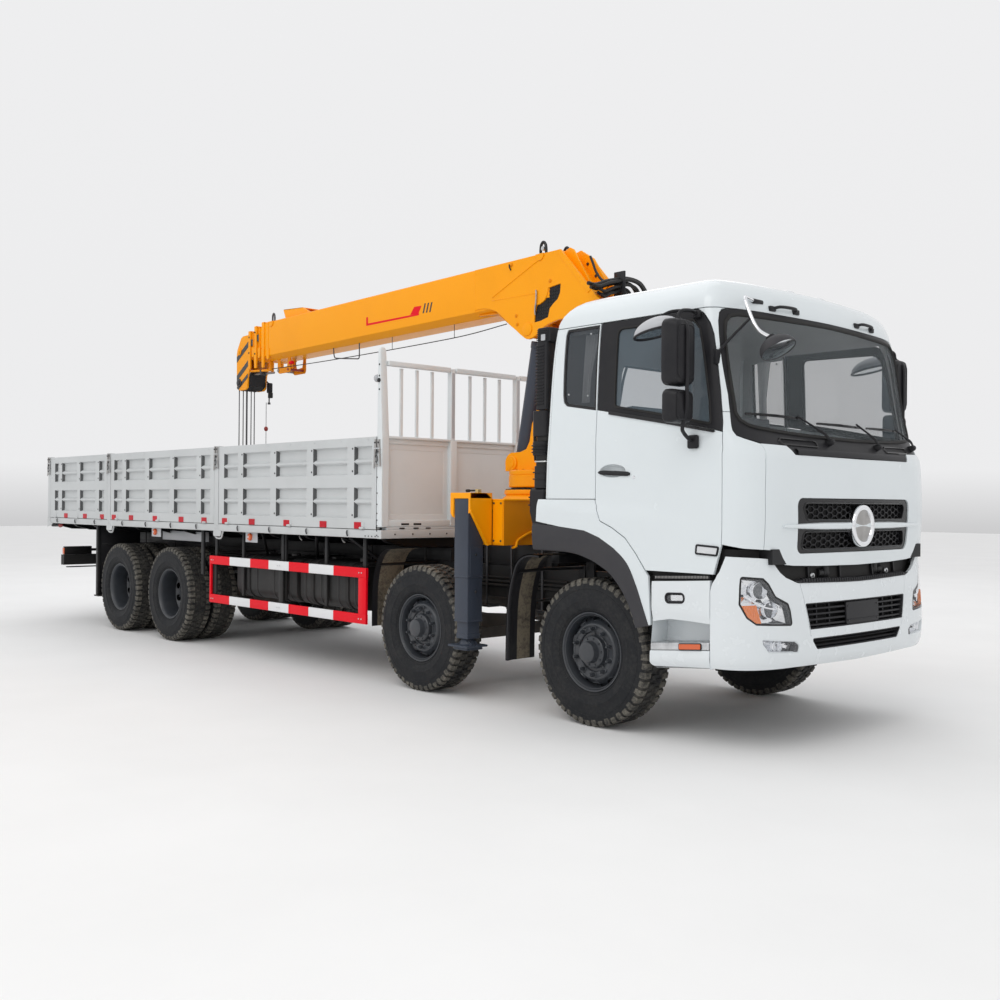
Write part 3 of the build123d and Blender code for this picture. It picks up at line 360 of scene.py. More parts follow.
def smoothstep(a, b, x):
    t = np.clip((x - a) / (b - a), 0, 1)
    return t * t * (3 - 2 * t)


def cab_bulge(s, z):
    """Wing's swelling under the waist crease on the side, fading forwards."""
    ss = np.where(s > SC, 2 * SC - s, s)
    x = -0.395 + ss / 1.59 * 1.59
    crease = 1.640 - 0.085 * np.clip((x + 0.3) / 1.3, 0, 1.2)
    amp = 0.014 * (1 - smoothstep(0.15, 1.05, x)) * np.where(ss < 1.62, 1.0, 0.0)
    return amp * (1 - smoothstep(crease - 0.035, crease, z))


def body_point(rows, s, z, inward=0.0, bulge=False):
    s, z = np.asarray(s, float), np.asarray(z, float)
    p = plan_point(rows, s, z)
    e = 0.004
    ps = plan_point(rows, s + e, z) - plan_point(rows, s - e, z)
    zu, zd = np.clip(z + e, rows[0, 0], rows[-1, 0]), np.clip(z - e, rows[0, 0], rows[-1, 0])
    pz = plan_point(rows, s, zu) - plan_point(rows, s, zd)
    a = np.stack([ps[:, 0], ps[:, 1], 0 * s], 1)
    b = np.stack([pz[:, 0], pz[:, 1], np.maximum(zu - zd, 1e-6)], 1)
    n = np.cross(a, b)
    n /= np.linalg.norm(n, axis=1)[:, None]
    d = -inward + (cab_bulge(s, z) if bulge else 0.0)
    q = np.stack([p[:, 0] + A, p[:, 1], z], 1) + n * (d[:, None] if hasattr(d, "__len__") else d)
    return q


def s_of_x(rows, x, z):
    """Right side s where the plan curve reaches x (from the front axle) at height z."""
    t = np.linspace(0, SC, 900)
    return float(np.interp(x, plan_point(rows, t, np.full(900, z))[:, 0], t))


def s_of_y(rows, y, z):
    """s on the right half where the plan curve reaches y (negative) at height z."""
    t = np.linspace(SK[1], SC, 700)
    return float(np.interp(-abs(y), plan_point(rows, t, np.full(700, z))[:, 1], t))


# ------------------------------------------------------------------ mesh kit
class Build:
    """Collects plain geometry, in metres, for one piece."""

    def __init__(self):
        self.v, self.f, self.m, self.s = [], [], [], []
        self.mats = []

    def mi(self, mat):
        if mat not in self.mats:
            self.mats.append(mat)
        return self.mats.index(mat)

    def add(self, verts, faces, mat, smooth=True):
        o = len(self.v)
        k = self.mi(mat)
        self.v.extend([tuple(map(float, p)) for p in verts])
        for f in faces:
            self.f.append(tuple(i + o for i in f))
            self.m.append(k)
            self.s.append(smooth)
        return o

    def box(self, x0, x1, y0, y1, z0, z1, mat, smooth=False):
        x0, x1 = min(x0, x1), max(x0, x1)
        y0, y1 = min(y0, y1), max(y0, y1)
        z0, z1 = min(z0, z1), max(z0, z1)
        v = [(x0, y0, z0), (x1, y0, z0), (x1, y1, z0), (x0, y1, z0), (x0, y0, z1), (x1, y0, z1), (x1, y1, z1), (x0, y1, z1)]
        f = [(3, 2, 1, 0), (4, 5, 6, 7), (0, 1, 5, 4), (1, 2, 6, 5), (2, 3, 7, 6), (3, 0, 4, 7)]
        self.add(v, f, mat, smooth)

    def rbox(self, x0, x1, y0, y1, z0, z1, mat, r=0.004, seg=2):
        """Box with rounded edges, made by bevelling the edges of a cube."""
        x0, x1 = min(x0, x1), max(x0, x1)
        y0, y1 = min(y0, y1), max(y0, y1)
        z0, z1 = min(z0, z1), max(z0, z1)
        c = np.array([(x0 + x1) / 2, (y0 + y1) / 2, (z0 + z1) / 2])
        h = np.array([(x1 - x0) / 2, (y1 - y0) / 2, (z1 - z0) / 2])
        r = min(r, h.min() * 0.98)
        bm = bmesh.new()
        bmesh.ops.create_cube(bm, size=2.0)
        for v in bm.verts:
            v.co = Vector((v.co.x * h[0], v.co.y * h[1], v.co.z * h[2]))
        bmesh.ops.bevel(bm, geom=list(bm.edges), offset=r, segments=seg, profile=0.5, affect="EDGES", clamp_overlap=True)
        vs = [tuple(np.array(v.co) + c) for v in bm.verts]
        bm.verts.index_update()
        fs = [tuple(v.index for v in f.verts) for f in bm.faces]
        bm.free()
        self.add(vs, fs, mat, True)

    def prism(self, poly, plane, lo, hi, mat, smooth=False):
        """poly in the plane's two axes; plane is xz, xy or yz; extruded along the third axis."""
        n = len(poly)

        def p3(p, w):
            return {"xz": (p[0], w, p[1]), "xy": (p[0], p[1], w), "yz": (w, p[0], p[1])}[plane]
        v = [p3(p, lo) for p in poly] + [p3(p, hi) for p in poly]
        f = [tuple(range(n - 1, -1, -1)), tuple(range(n, 2 * n))]
        f += [(i, (i + 1) % n, n + (i + 1) % n, n + i) for i in range(n)]
        area = sum(poly[i][0] * poly[(i + 1) % n][1] - poly[(i + 1) % n][0] * poly[i][1] for i in range(n))
        flip = (area < 0) != (hi < lo)
        if plane == "xz":
            flip = not flip
        if flip:
            f = [tuple(reversed(q)) for q in f]
        self.add(v, f, mat, smooth)

    def lathe(self, prof, c, mat, n=48, axis="y", side=1.0, close=False, a0=0.0, a1=360.0):
        """prof: (radius, along) pairs; along runs outward by side."""
        full = abs(a1 - a0) >= 359.9
        k = len(prof)
        vs, fs = [], []
        m = n if full else n + 1
        for i in range(m):
            a = math.radians(a0 + (a1 - a0) * i / n)
            for r, w in prof:
                u, t = r * math.cos(a), r * math.sin(a)
                if axis == "y":
                    vs.append((c[0] + u, c[1] + side * w, c[2] + t))
                elif axis == "x":
                    vs.append((c[0] + side * w, c[1] + u, c[2] + t))
                else:
                    vs.append((c[0] + u, c[1] + t, c[2] + side * w))
        for i in range(n):
            j = (i + 1) % m
            for q in range(k if close else k - 1):
                q2 = (q + 1) % k
                f = (i * k + q, i * k + q2, j * k + q2, j * k + q)
                fs.append(f)
        self.add(vs, fs, mat, True)

    def tube(self, pts, r, mat, n=10, closed=False, caps=True, radii=None):
        P = [Vector(p) for p in pts]
        m = len(P)
        T = []
        for i in range(m):
            if closed:
                t = P[(i + 1) % m] - P[i - 1]
            elif i == 0:
                t = P[1] - P[0]
            elif i == m - 1:
                t = P[-1] - P[-2]
            else:
                t = (P[i + 1] - P[i]).normalized() + (P[i] - P[i - 1]).normalized()
            T.append(t.normalized())
        up = Vector((0, 0, 1)) if abs(T[0].z) < 0.9 else Vector((1, 0, 0))
        N = (up - T[0] * up.dot(T[0])).normalized()
        vs, fs = [], []
        for i in range(m):
            if i:
                N = (N - T[i] * N.dot(T[i])).normalized()
            B = T[i].cross(N)
            rr = radii[i] if radii else r
            for k in range(n):
                a = 2 * math.pi * k / n
                vs.append(P[i] + (N * math.cos(a) + B * math.sin(a)) * rr)
        for i in range(m if closed else m - 1):
            j = (i + 1) % m
            for k in range(n):
                k2 = (k + 1) % n
                fs.append((i * n + k, i * n + k2, j * n + k2, j * n + k))
        if caps and not closed:
            fs.append(tuple(range(n - 1, -1, -1)))
            fs.append(tuple((m - 1) * n + k for k in range(n)))
        self.add(vs, fs, mat, True)

    def strip(self, rows, mat, closed_u=False, closed_v=False, flip=False, smooth=True):
        """rows of equal length points joined by quads."""
        nr, nc = len(rows), len(rows[0])
        vs = [p for r in rows for p in r]
        fs = []
        for i in range(nr if closed_u else nr - 1):
            i2 = (i + 1) % nr
            for j in range(nc if closed_v else nc - 1):
                j2 = (j + 1) % nc
                q = (i * nc + j, i * nc + j2, i2 * nc + j2, i2 * nc + j)
                fs.append(tuple(reversed(q)) if flip else q)
        self.add(vs, fs, mat, smooth)

    def bolt(self, c, axis, r, h, mat, side=1.0, dome=True):
        """Six-sided bolt head along an axis."""
        vs, fs = [], []
        for w, k in ((0, 1.0), (h * 0.8, 1.0), (h, 0.86)):
            for i in range(6):
                a = math.pi / 3 * i
                u, t = r * k * math.cos(a), r * k * math.sin(a)
                vs.append({"y": (c[0] + u, c[1] + side * w, c[2] + t), "x": (c[0] + side * w, c[1] + u, c[2] + t), "z": (c[0] + u, c[1] + t, c[2] + side * w)}[axis])
        for j in range(2):
            for i in range(6):
                i2 = (i + 1) % 6
                fs.append((j * 6 + i, j * 6 + i2, j * 6 + 6 + i2, j * 6 + 6 + i))
        fs.append(tuple(12 + i for i in range(6)))
        self.add(vs, fs, mat, False)

    def mirrored(self):
        o = Build()
        o.mats = list(self.mats)
        o.v = [(x, -y, z) for x, y, z in self.v]
        o.f = [tuple(reversed(f)) for f in self.f]
        o.m = list(self.m)
        o.s = list(self.s)
        return o

    def out(self, name, body, bevel=0.0, angle=35.0, replaces=None, seg=2, slot=None, fix=True, keep_sharp=True):
        me = bpy.data.meshes.new(name)
        me.from_pydata(self.v, [], self.f)
        for mt in self.mats:
            me.materials.append(M[mt] if isinstance(mt, str) else mt)
        me.polygons.foreach_set("material_index", self.m)
        me.polygons.foreach_set("use_smooth", [True] * len(self.f))
        me.update()
        if fix:
            bm = bmesh.new()
            bm.from_mesh(me)
            bmesh.ops.recalc_face_normals(bm, faces=bm.faces)
            bm.to_mesh(me)
            bm.free()
        me.set_sharp_from_angle(angle=math.radians(angle))
        ob = bpy.data.objects.new(name, me)
        bpy.context.scene.collection.objects.link(ob)
        if bevel > 0:
            b = ob.modifiers.new("bevel", "BEVEL")
            b.width = bevel
            b.segments = seg
            b.limit_method = "ANGLE"
            b.angle_limit = math.radians(angle)
            b.harden_normals = False
            b.use_clamp_overlap = True
            b.miter_outer = "MITER_ARC"
        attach(ob, body)
        if replaces:
            for n in ([replaces] if isinstance(replaces, str) else replaces):
                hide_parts(n)
        return ob


def cm_arc(c, r, a0, a1, n):
    return [(c[0] + r * math.cos(math.radians(a0 + (a1 - a0) * i / n)), c[1] + r * math.sin(math.radians(a0 + (a1 - a0) * i / n))) for i in range(n + 1)]


def smooth_path(pts, n=8, closed=False):
    """Centripetal-like Catmull-Rom through the points."""
    P = [np.array(p, float) for p in pts]
    m = len(P)
    out = []
    for i in range(m if closed else m - 1):
        p0 = P[i - 1] if (i > 0 or closed) else 2 * P[0] - P[1]
        p1, p2 = P[i], P[(i + 1) % m]
        p3 = P[(i + 2) % m] if (i + 2 < m or closed) else 2 * P[-1] - P[-2]
        for k in range(n):
            t = k / n
            out.append(tuple(0.5 * ((2 * p1) + (-p0 + p2) * t + (2 * p0 - 5 * p1 + 4 * p2 - p3) * t * t + (-p0 + 3 * p1 - 3 * p2 + p3) * t ** 3)))
    if not closed:
        out.append(tuple(P[-1]))
    return out


def round_poly(pts, radii, n=5):
    """Polygon with its corners rounded; radii a number or one for each corner."""
    m = len(pts)
    out = []
    for i in range(m):
        r = radii[i] if hasattr(radii, "__len__") else radii
        p, a, b = (np.array(pts[k], float) for k in (i, i - 1, (i + 1) % m))
        va, vb = a - p, b - p
        la, lb = np.linalg.norm(va), np.linalg.norm(vb)
        if r <= 1e-6:
            out.append(tuple(p))
            continue
        ua, ub = va / la, vb / lb
        ang = math.acos(max(-1, min(1, float(ua @ ub))))
        if ang > math.radians(176):
            out.append(tuple(p))
            continue
        d = min(r / math.tan(ang / 2), la * 0.48, lb * 0.48)
        rr = d * math.tan(ang / 2)
        s, e = p + ua * d, p + ub * d
        c = p + (ua + ub) / np.linalg.norm(ua + ub) * (rr / math.sin(ang / 2))
        a0 = math.atan2(s[1] - c[1], s[0] - c[0])
        a1 = math.atan2(e[1] - c[1], e[0] - c[0])
        da = (a1 - a0 + math.pi) % (2 * math.pi) - math.pi
        for k in range(n + 1):
            t = a0 + da * k / n
            out.append((c[0] + rr * math.cos(t), c[1] + rr * math.sin(t)))
    return out


def dense(poly, step, closed=True):
    out = []
    m = len(poly)
    for i in range(m if closed else m - 1):
        a, b = np.array(poly[i], float), np.array(poly[(i + 1) % m], float)
        k = max(1, int(math.ceil(np.linalg.norm(b - a) / step)))
        for j in range(k):
            out.append(tuple(a + (b - a) * j / k))
    if not closed:
        out.append(tuple(poly[-1]))
    return out


def inset_poly(poly, d):
    """Moves a closed outline inward by d (outward if negative)."""
    P = np.array(poly, float)
    area = 0.5 * np.sum(P[:, 0] * np.roll(P[:, 1], -1) - np.roll(P[:, 0], -1) * P[:, 1])
    s = 1.0 if area > 0 else -1.0
    e = np.roll(P, -1, 0) - P
    L = np.linalg.norm(e, axis=1)
    L[L < 1e-9] = 1e-9
    nrm = np.stack([-e[:, 1] / L, e[:, 0] / L], 1) * s
    prev = np.roll(nrm, 1, 0)
    b = nrm + prev
    bl = np.linalg.norm(b, axis=1)
    bl[bl < 1e-6] = 1e-6
    b = b / bl[:, None]
    k = 1.0 / np.clip(np.sum(b * nrm, 1), 0.5, 1.0)
    return [tuple(p) for p in (P + b * (d * k)[:, None])]


def in_poly(pts, poly):
    P = np.array(poly, float)
    x, y = pts[:, 0], pts[:, 1]
    inside = np.zeros(len(pts), bool)
    x0, y0 = P[:, 0], P[:, 1]
    x1, y1 = np.roll(x0, -1), np.roll(y0, -1)
    for a, b, c, d in zip(x0, y0, x1, y1):
        if b == d:
            continue
        cond = ((b > y) != (d > y)) & (x < (c - a) * (y - b) / (d - b) + a)
        inside ^= cond
    return inside


def seg_dist(pts, poly):
    P = np.array(poly, float)
    Q = np.roll(P, -1, 0)
    best = np.full(len(pts), 1e9)
    for a, b in zip(P, Q):
        d = b - a
        L = d @ d
        t = np.clip(((pts - a) @ d) / (L if L > 0 else 1e-12), 0, 1)
        best = np.minimum(best, np.linalg.norm(pts - (a + t[:, None] * d), axis=1))
    return best


def panel(bd, outline, holes, mapf, mat, step=0.04, edge=0.0015, depth=0.02, rim=None, flip=False, back=False, grid=None):
    """Sheet with rolled edges. outline and holes are 2D; mapf(points Nx2, inward) gives 3D points."""
    rings = [dense(outline, step)] + [dense(h, step) for h in holes]
    inner = [inset_poly(rings[0], edge)] + [inset_poly(h, -edge) for h in rings[1:]]
    O = np.array(rings[0])
    lo, hi = O.min(0), O.max(0)
    gs = grid or step
    nx = max(2, int((hi[0] - lo[0]) / gs))
    nz = max(2, int((hi[1] - lo[1]) / gs))
    gx, gz = np.meshgrid(np.linspace(lo[0], hi[0], nx + 1), np.linspace(lo[1], hi[1], nz + 1))
    G = np.stack([gx.ravel(), gz.ravel()], 1)
    ok = in_poly(G, inner[0])
    for h in inner[1:]:
        ok &= ~in_poly(G, h)
    G = G[ok]
    if len(G):
        d = seg_dist(G, inner[0])
        for h in inner[1:]:
            d = np.minimum(d, seg_dist(G, h))
        G = G[d > gs * 0.45]
    verts = [Vector(p) for r in inner for p in r] + [Vector(p) for p in G]
    edges = []
    o = 0
    for r in inner:
        m = len(r)
        edges += [(o + i, o + (i + 1) % m) for i in range(m)]
        o += m
    res = geometry.delaunay_2d_cdt(verts, edges, [], 0, 1e-7)
    V2 = np.array([tuple(v) for v in res[0]])
    F = [tuple(f) for f in res[2]]
    C = np.array([V2[list(f)].mean(0) for f in F])
    ok = in_poly(C, inner[0])
    for h in inner[1:]:
        ok &= ~in_poly(C, h)
    F = [f for f, k in zip(F, ok) if k]
    V3 = mapf(V2, 0.0)
    if flip:
        F = [tuple(reversed(f)) for f in F]
    bd.add(V3, F, mat)
    if depth > 0:
        for r, i in zip(rings, inner):
            a, b = np.array(i), np.array(r)
            rows = [mapf(a, 0.0), mapf(b, edge), mapf(b, depth)]
            rows = [[tuple(p) for p in row] for row in rows]
            bd.strip(rows, rim or mat, closed_v=True)
    return V2, F


# ------------------------------------------------------------------ cab skin
def CABF(P, w=0.0):
    P = np.asarray(P, float)
    return body_point(CAB_ROWS, P[:, 0], P[:, 1], w, True)


def BUMF(P, w=0.0):
    P = np.asarray(P, float)
    return body_point(BUMPER_ROWS, P[:, 0], P[:, 1], w)


def off(f, d):
    return lambda P, w=0.0: f(P, w + d)


def SX(pts, rows=None):
    return [(s_of_x(CAB_ROWS if rows is None else rows, x, z), z) for x, z in pts]


def mir(pts):
    """Closes an outline given for the right half only, across the middle of the front."""
    return list(pts) + [(2 * SC - s, z) for s, z in reversed(pts) if abs(s - SC) > 1e-6]


def flipS(pts):
    return [(2 * SC - s, z) for s, z in pts]


def pts3(f, pts, w=0.0):
    return [tuple(p) for p in f(np.array(pts, float), w)]


def olathe(bd, prof, c, d, mat, n=32, up=(0, 0, 1)):
    """Surface of revolution about any direction d from c; prof is (radius, along d)."""
    d = Vector(d).normalized()
    a = Vector(up)
    a = (a - d * a.dot(d)).normalized()
    b = d.cross(a)
    vs, fs = [], []
    k = len(prof)
    for i in range(n):
        t = 2 * math.pi * i / n
        q = a * math.cos(t) + b * math.sin(t)
        for r, w in prof:
            vs.append(Vector(c) + q * r + d * w)
    for i in range(n):
        j = (i + 1) % n
        for m in range(k - 1):
            fs.append((i * k + m, i * k + m + 1, j * k + m + 1, j * k + m))
    bd.add(vs, fs, mat)


def ring_strip(bd, f, outline, steps, mat, step=0.03, flip=False):
    """Walks an outline with offsets: steps is a list of (inset, inward)."""
    base = dense(outline, step)
    rows = []
    for ins, w in steps:
        q = inset_poly(base, ins) if abs(ins) > 1e-9 else base
        rows.append(pts3(f, q, w))
    bd.strip(rows, mat, closed_v=True, flip=flip)


def ell(cs, cz, rs, rz, n=28, a0=0.0):
    return [(cs + rs * math.cos(a0 + 2 * math.pi * i / n), cz + rz * math.sin(a0 + 2 * math.pi * i / n)) for i in range(n)]


def honey(bd, f, outline, pitch, wire, w0, depth, mat, vscale=1.0, flat=False):
    P = np.array(outline)
    lo, hi = P.min(0), P.max(0)
    if flat:
        # wide cells standing on a flat, every other column half a cell lower
        W, H = pitch, pitch * 0.60
        n = 0
        a = lo[0] - W
        while a < hi[0] + W:
            b = lo[1] - H + (H / 2 if n % 2 else 0)
            while b < hi[1] + H:
                if in_poly(np.array([(a, b)]), outline)[0]:
                    hexo = [(a - W / 2, b), (a - W / 4, b + H / 2), (a + W / 4, b + H / 2), (a + W / 2, b), (a + W / 4, b - H / 2), (a - W / 4, b - H / 2)]
                    k = 1 - wire * 2.4 / H
                    kx = 1 - wire * 2.4 / W
                    hexi = [(a + (p - a) * kx, b + (q - b) * k) for p, q in hexo]
                    bd.strip([pts3(f, hexo, w0), pts3(f, hexi, w0), pts3(f, hexi, w0 + depth)], mat, closed_v=True, smooth=False)
                b += H
            a += W * 0.75
            n += 1
        return
    dx, dz = pitch, pitch * 0.866 * vscale
    j = 0
    z = lo[1] - dz
    while z < hi[1] + dz:
        s = lo[0] - dx + (dx / 2 if j % 2 else 0)
        cs = []
        while s < hi[0] + dx:
            cs.append((s, z))
            s += dx
        C = np.array(cs)
        ok = in_poly(C, outline)
        for (a, b) in C[ok]:
            R = pitch / math.sqrt(3)
            hexo = [(a + R * math.sin(math.pi / 3 * i), b + R * math.cos(math.pi / 3 * i) * vscale) for i in range(6)]
            k = 1 - wire / R
            hexi = [(a + (p - a) * k, b + (q - b) * k) for p, q in hexo]
            rows = [pts3(f, hexo, w0), pts3(f, hexi, w0), pts3(f, hexi, w0 + depth)]
            bd.strip(rows, mat, closed_v=True, smooth=False)
        z += dz
        j += 1


DOOR_FRONT = [(1.157, 1.169), (1.2155, 1.357), (1.2185, 1.60), (1.2185, 1.80), (1.2165, 1.95), (1.209, 2.083)]
BELT = [(0.131, 2.287), (0.712, 2.186), (1.209, 2.088)]
SCREEN_BLACK = [(1.956, 2.021), (1.782, 2.071), (1.770, 2.100), (1.780, 2.16), (1.791, 2.225), (1.800, 2.333), (1.785, 2.43), (1.768, 2.533),
                (1.757, 2.65), (1.757, 2.737), (1.766, 2.82), (1.792, 2.873), (1.84, 2.902), (1.90, 2.914), (1.992, 2.918), (2.572, 2.924), (SC, 2.927)]
SCREEN_GLASS = [(1.868, 2.168), (1.846, 2.215), (1.850, 2.30), (1.846, 2.40), (1.838, 2.533), (1.832, 2.65), (1.834, 2.74), (1.850, 2.82),
                (1.885, 2.862), (1.94, 2.876), (2.056, 2.880), (2.572, 2.886), (SC, 2.889)]
SCREEN_BOTTOM = [(SC, 2.078), (2.70, 2.081), (2.36, 2.092), (2.16, 2.103), (1.98, 2.122), (1.915, 2.137)]


def cab_panels(bd_cab, bd_door):
    # rear quarter: painted skin with a window
    seam = 0.1255
    q_out = SX([(seam, 1.655), (seam, 1.95), (seam, 2.283), (seam, 2.60), (seam, 2.912)]) + [(0.045, 2.912), (0.045, 1.655)]
    win = [(0.205, 2.333), (0.172, 2.362), (0.160, 2.42), (0.148, 2.66), (0.138, 2.86), (0.150, 2.902)] + SX([(0.118, 2.904), (0.118, 2.287)])
    win = round_poly(win, [0.03, 0.02, 0.0, 0.0, 0.02, 0.015, 0.004, 0.004], 3)
    panel(bd_cab, q_out, [win], CABF, "white", step=0.045, depth=0.022)
    fr = inset_poly(win, 0.001)
    gl = inset_poly(dense(win, 0.03), 0.020)
    panel(bd_cab, fr, [gl], off(CABF, 0.006), "gloss_black", step=0.03, depth=0.014)
    panel(bd_cab, gl, [], off(CABF, 0.012), "glass_dark", step=0.05, depth=0.0)
    # small fixing studs in the glass corners
    for s, z in ((0.42, 2.85), (0.42, 2.40), (0.215, 2.42)):
        p = pts3(CABF, [(s, z)], 0.011)[0]
        olathe(bd_cab, [(0.0, 0.006), (0.006, 0.005), (0.008, 0.0)], p, (0, -1, 0), "alu", 10)
    # rear corner, from side to back wall
    zz = np.linspace(1.655, 2.912, 16)
    rows = []
    for z in zz:
        p = CABF([(0.045, z)])[0]
        xr = plan_point(CAB_ROWS, [0.0], [z])[0][0] + A
        y0 = p[1]
        r0 = p[0] - xr
        rows.append([(p[0] - r0 * math.sin(t), y0 + r0 * (1 - math.cos(t)), z) for t in np.linspace(0, math.pi / 2, 7)])
    bd_cab.strip(rows, "white")
    # wing behind and below the door, over the wheel
    w_out = SX([(-0.46, 1.485), (-0.452, 1.650), (-0.395, 1.650), (0.117, 1.650), (0.1255, 1.632), (0.180, 1.496), (0.293, 1.4505), (0.413, 1.3815),
                (0.5055, 1.2815), (0.596, 1.160), (0.622, 1.130), (0.643, 0.80), (0.628, 0.795), (0.574, 0.926), (0.519, 1.06), (0.437, 1.208), (0.317, 1.308), (0.177, 1.381),
                (0.032, 1.427), (-0.219, 1.451)])
    w_out = [(max(s, -0.2) if x is None else s, z) for (s, z), x in zip(w_out, [1] * len(w_out))]
    w_out[0] = (-0.065, 1.485)
    w_out[1] = (-0.057, 1.650)
    panel(bd_cab, w_out, [], CABF, "white", step=0.035, depth=0.020)
    # black flare over the wheel
    fo = [(-0.497, 1.472), (-0.219, 1.455), (0.032, 1.431), (0.177, 1.385), (0.319, 1.312), (0.439, 1.212), (0.521, 1.064), (0.576, 0.931), (0.632, 0.795)]
    fi = [(-0.479, 1.269), (-0.115, 1.262), (0.083, 1.219), (0.180, 1.180), (0.274, 1.130), (0.362, 1.050), (0.436, 0.953), (0.490, 0.850), (0.520, 0.770)]
    so, si = smooth_path(fo, 6), smooth_path(fi, 6)
    rows = []
    for (xo, zo), (xi, zi) in zip(so, si):
        def mixp(k, y):
            return (A + xi + (xo - xi) * k, y, zi + (zo - zi) * k)
        rows.append([mixp(0.03, -1.12), mixp(0.0, -1.245), mixp(0.03, -1.262), mixp(0.10, -1.270), mixp(0.5, -1.271), mixp(0.88, -1.264), mixp(0.97, -1.258), mixp(1.0, -1.246), mixp(0.985, -1.215)])
    bd_cab.strip(rows, "flare")
    for k in (0, -1):
        r0 = rows[k]
        bd_cab.add(r0, [tuple(range(len(r0))) if k else tuple(reversed(range(len(r0))))], "flare", False)
    # front corner panel
    c_out = SX([(1.221, 1.80)])[0][0]
    lft = SX([(x + 0.0035, z) for x, z in DOOR_FRONT[1:]])
    corner = [(1.756, 1.341), (1.8965, 1.333), (1.8975, 1.705), (1.915, 1.90), (1.930, 2.015), (1.780, 2.064), (1.766, 2.098), (1.776, 2.16), (1.786, 2.218)]
    corner += [(s_of_x(CAB_ROWS, 1.198, 2.218), 2.218), (s_of_x(CAB_ROWS, 1.2085, 2.15), 2.15)] + list(reversed(lft))
    corner[-1] = (lft[0][0], 1.365)
    panel(bd_cab, corner, [], CABF, "white", step=0.035, depth=0.020)
    # pillar between door and windscreen
    pl = SX([(1.198, 2.222), (1.178, 2.36), (1.156, 2.50), (1.136, 2.62), (1.113, 2.737), (1.085, 2.812), (1.046, 2.868), (0.985, 2.912)])
    pr = [(1.787, 2.222), (1.796, 2.333), (1.781, 2.43), (1.764, 2.533), (1.753, 2.65), (1.753, 2.737), (1.762, 2.822), (1.788, 2.878), (1.836, 2.906), (1.86, 2.912)]
    panel(bd_cab, pl + list(reversed(pr)), [], CABF, "white", step=0.03, depth=0.020)
    # door
    low = [(0.131, 1.650), (0.131, 1.634), (0.186, 1.501), (0.299, 1.4555), (0.419, 1.387), (0.5115, 1.287), (0.602, 1.169)]
    d_out = SX(low + DOOR_FRONT) + SX(list(reversed(BELT))) + SX([(0.131, 1.95)])
    hand = ell(s_of_x(CAB_ROWS, 0.290, 1.85), 1.852, 0.118, 0.046)
    panel(bd_door, d_out, [hand], CABF, "white", step=0.045, depth=0.022)
    c0 = (s_of_x(CAB_ROWS, 0.290, 1.85), 1.852)
    rows = []
    for k, w in ((1.0, 0.001), (0.93, 0.012), (0.75, 0.024), (0.4, 0.030), (0.05, 0.031)):
        rows.append(pts3(CABF, [(c0[0] + (s - c0[0]) * k, c0[1] + (z - c0[1]) * k) for s, z in hand], w))
    bd_door.strip(rows, "white", closed_v=True)
    h = SX([(0.165, 1.842), (0.452, 1.828)])
    rows = []
    for k in np.linspace(0, 1, 14):
        s, z = h[0][0] + (h[1][0] - h[0][0]) * k, h[0][1] + (h[1][1] - h[0][1]) * k
        e = min(k, 1 - k) * 6
        hw = 0.017 * min(1.0, 0.45 + e)
        rows.append(pts3(CABF, [(s, z - hw)], 0.004) + pts3(CABF, [(s, z - hw * 0.9)], -0.010) + pts3(CABF, [(s, z)], -0.016) + pts3(CABF, [(s, z + hw * 0.9)], -0.010) + pts3(CABF, [(s, z + hw)], 0.004))
    bd_door.strip(rows, "trim")
    for r0 in (rows[0], rows[-1]):
        bd_door.add(r0, [tuple(range(5))], "trim", False)
    p = pts3(CABF, [(s_of_x(CAB_ROWS, 0.485, 1.80), 1.805)], 0.0)[0]
    olathe(bd_door, [(0.0, 0.004), (0.010, 0.004), (0.013, 0.0), (0.013, -0.003)], p, (0, -1, 0), "chrome", 18)
    # black window frame of the door, its glass and the strip under it
    f_out = SX([(0.131, 2.292), (0.712, 2.191), (1.209, 2.093), (1.1945, 2.22), (1.174, 2.36), (1.152, 2.50), (1.132, 2.62), (1.109, 2.735), (1.081, 2.808), (1.042, 2.862), (0.975, 2.904), (0.93, 2.911), (0.131, 2.911)])
    g_out = round_poly([(0.285, 2.300), (0.712, 2.222), (1.128, 2.138), (1.112, 2.30), (1.060, 2.58), (1.012, 2.78), (0.955, 2.848), (0.285, 2.862)], [0.03, 0.0, 0.02, 0.0, 0.0, 0.03, 0.04, 0.05], 4)
    g_s = SX(g_out)
    panel(bd_door, f_out, [g_s], off(CABF, 0.005), "trim", step=0.04, depth=0.026)
    ring_strip(bd_door, CABF, g_s, [(-0.004, 0.004), (0.0, -0.001), (0.010, -0.001), (0.014, 0.006), (0.014, 0.016)], "seal")
    panel(bd_door, inset_poly(dense(g_s, 0.03), 0.010), [], off(CABF, 0.013), "glass_door", step=0.06, depth=0.0)
    strip = SX([(0.245, 2.275), (0.712, 2.192), (1.150, 2.104), (1.165, 2.094), (1.150, 2.086), (0.712, 2.168), (0.245, 2.251)])
    panel(bd_door, strip, [], off(CABF, -0.010), "gloss_black", step=0.05, depth=0.012)
    # side marker lamp on the door's lower front corner
    lo = round_poly(SX([(1.014, 1.293), (1.190, 1.285), (1.206, 1.352), (1.020, 1.362)]), 0.014, 4)
    ring_strip(bd_door, CABF, lo, [(0.0, 0.003), (0.001, -0.008), (0.010, -0.009), (0.013, -0.002)], "trim", 0.02)
    panel(bd_door, inset_poly(dense(lo, 0.02), 0.012), [], off(CABF, -0.005), "lampwhite", step=0.02, depth=0.0)


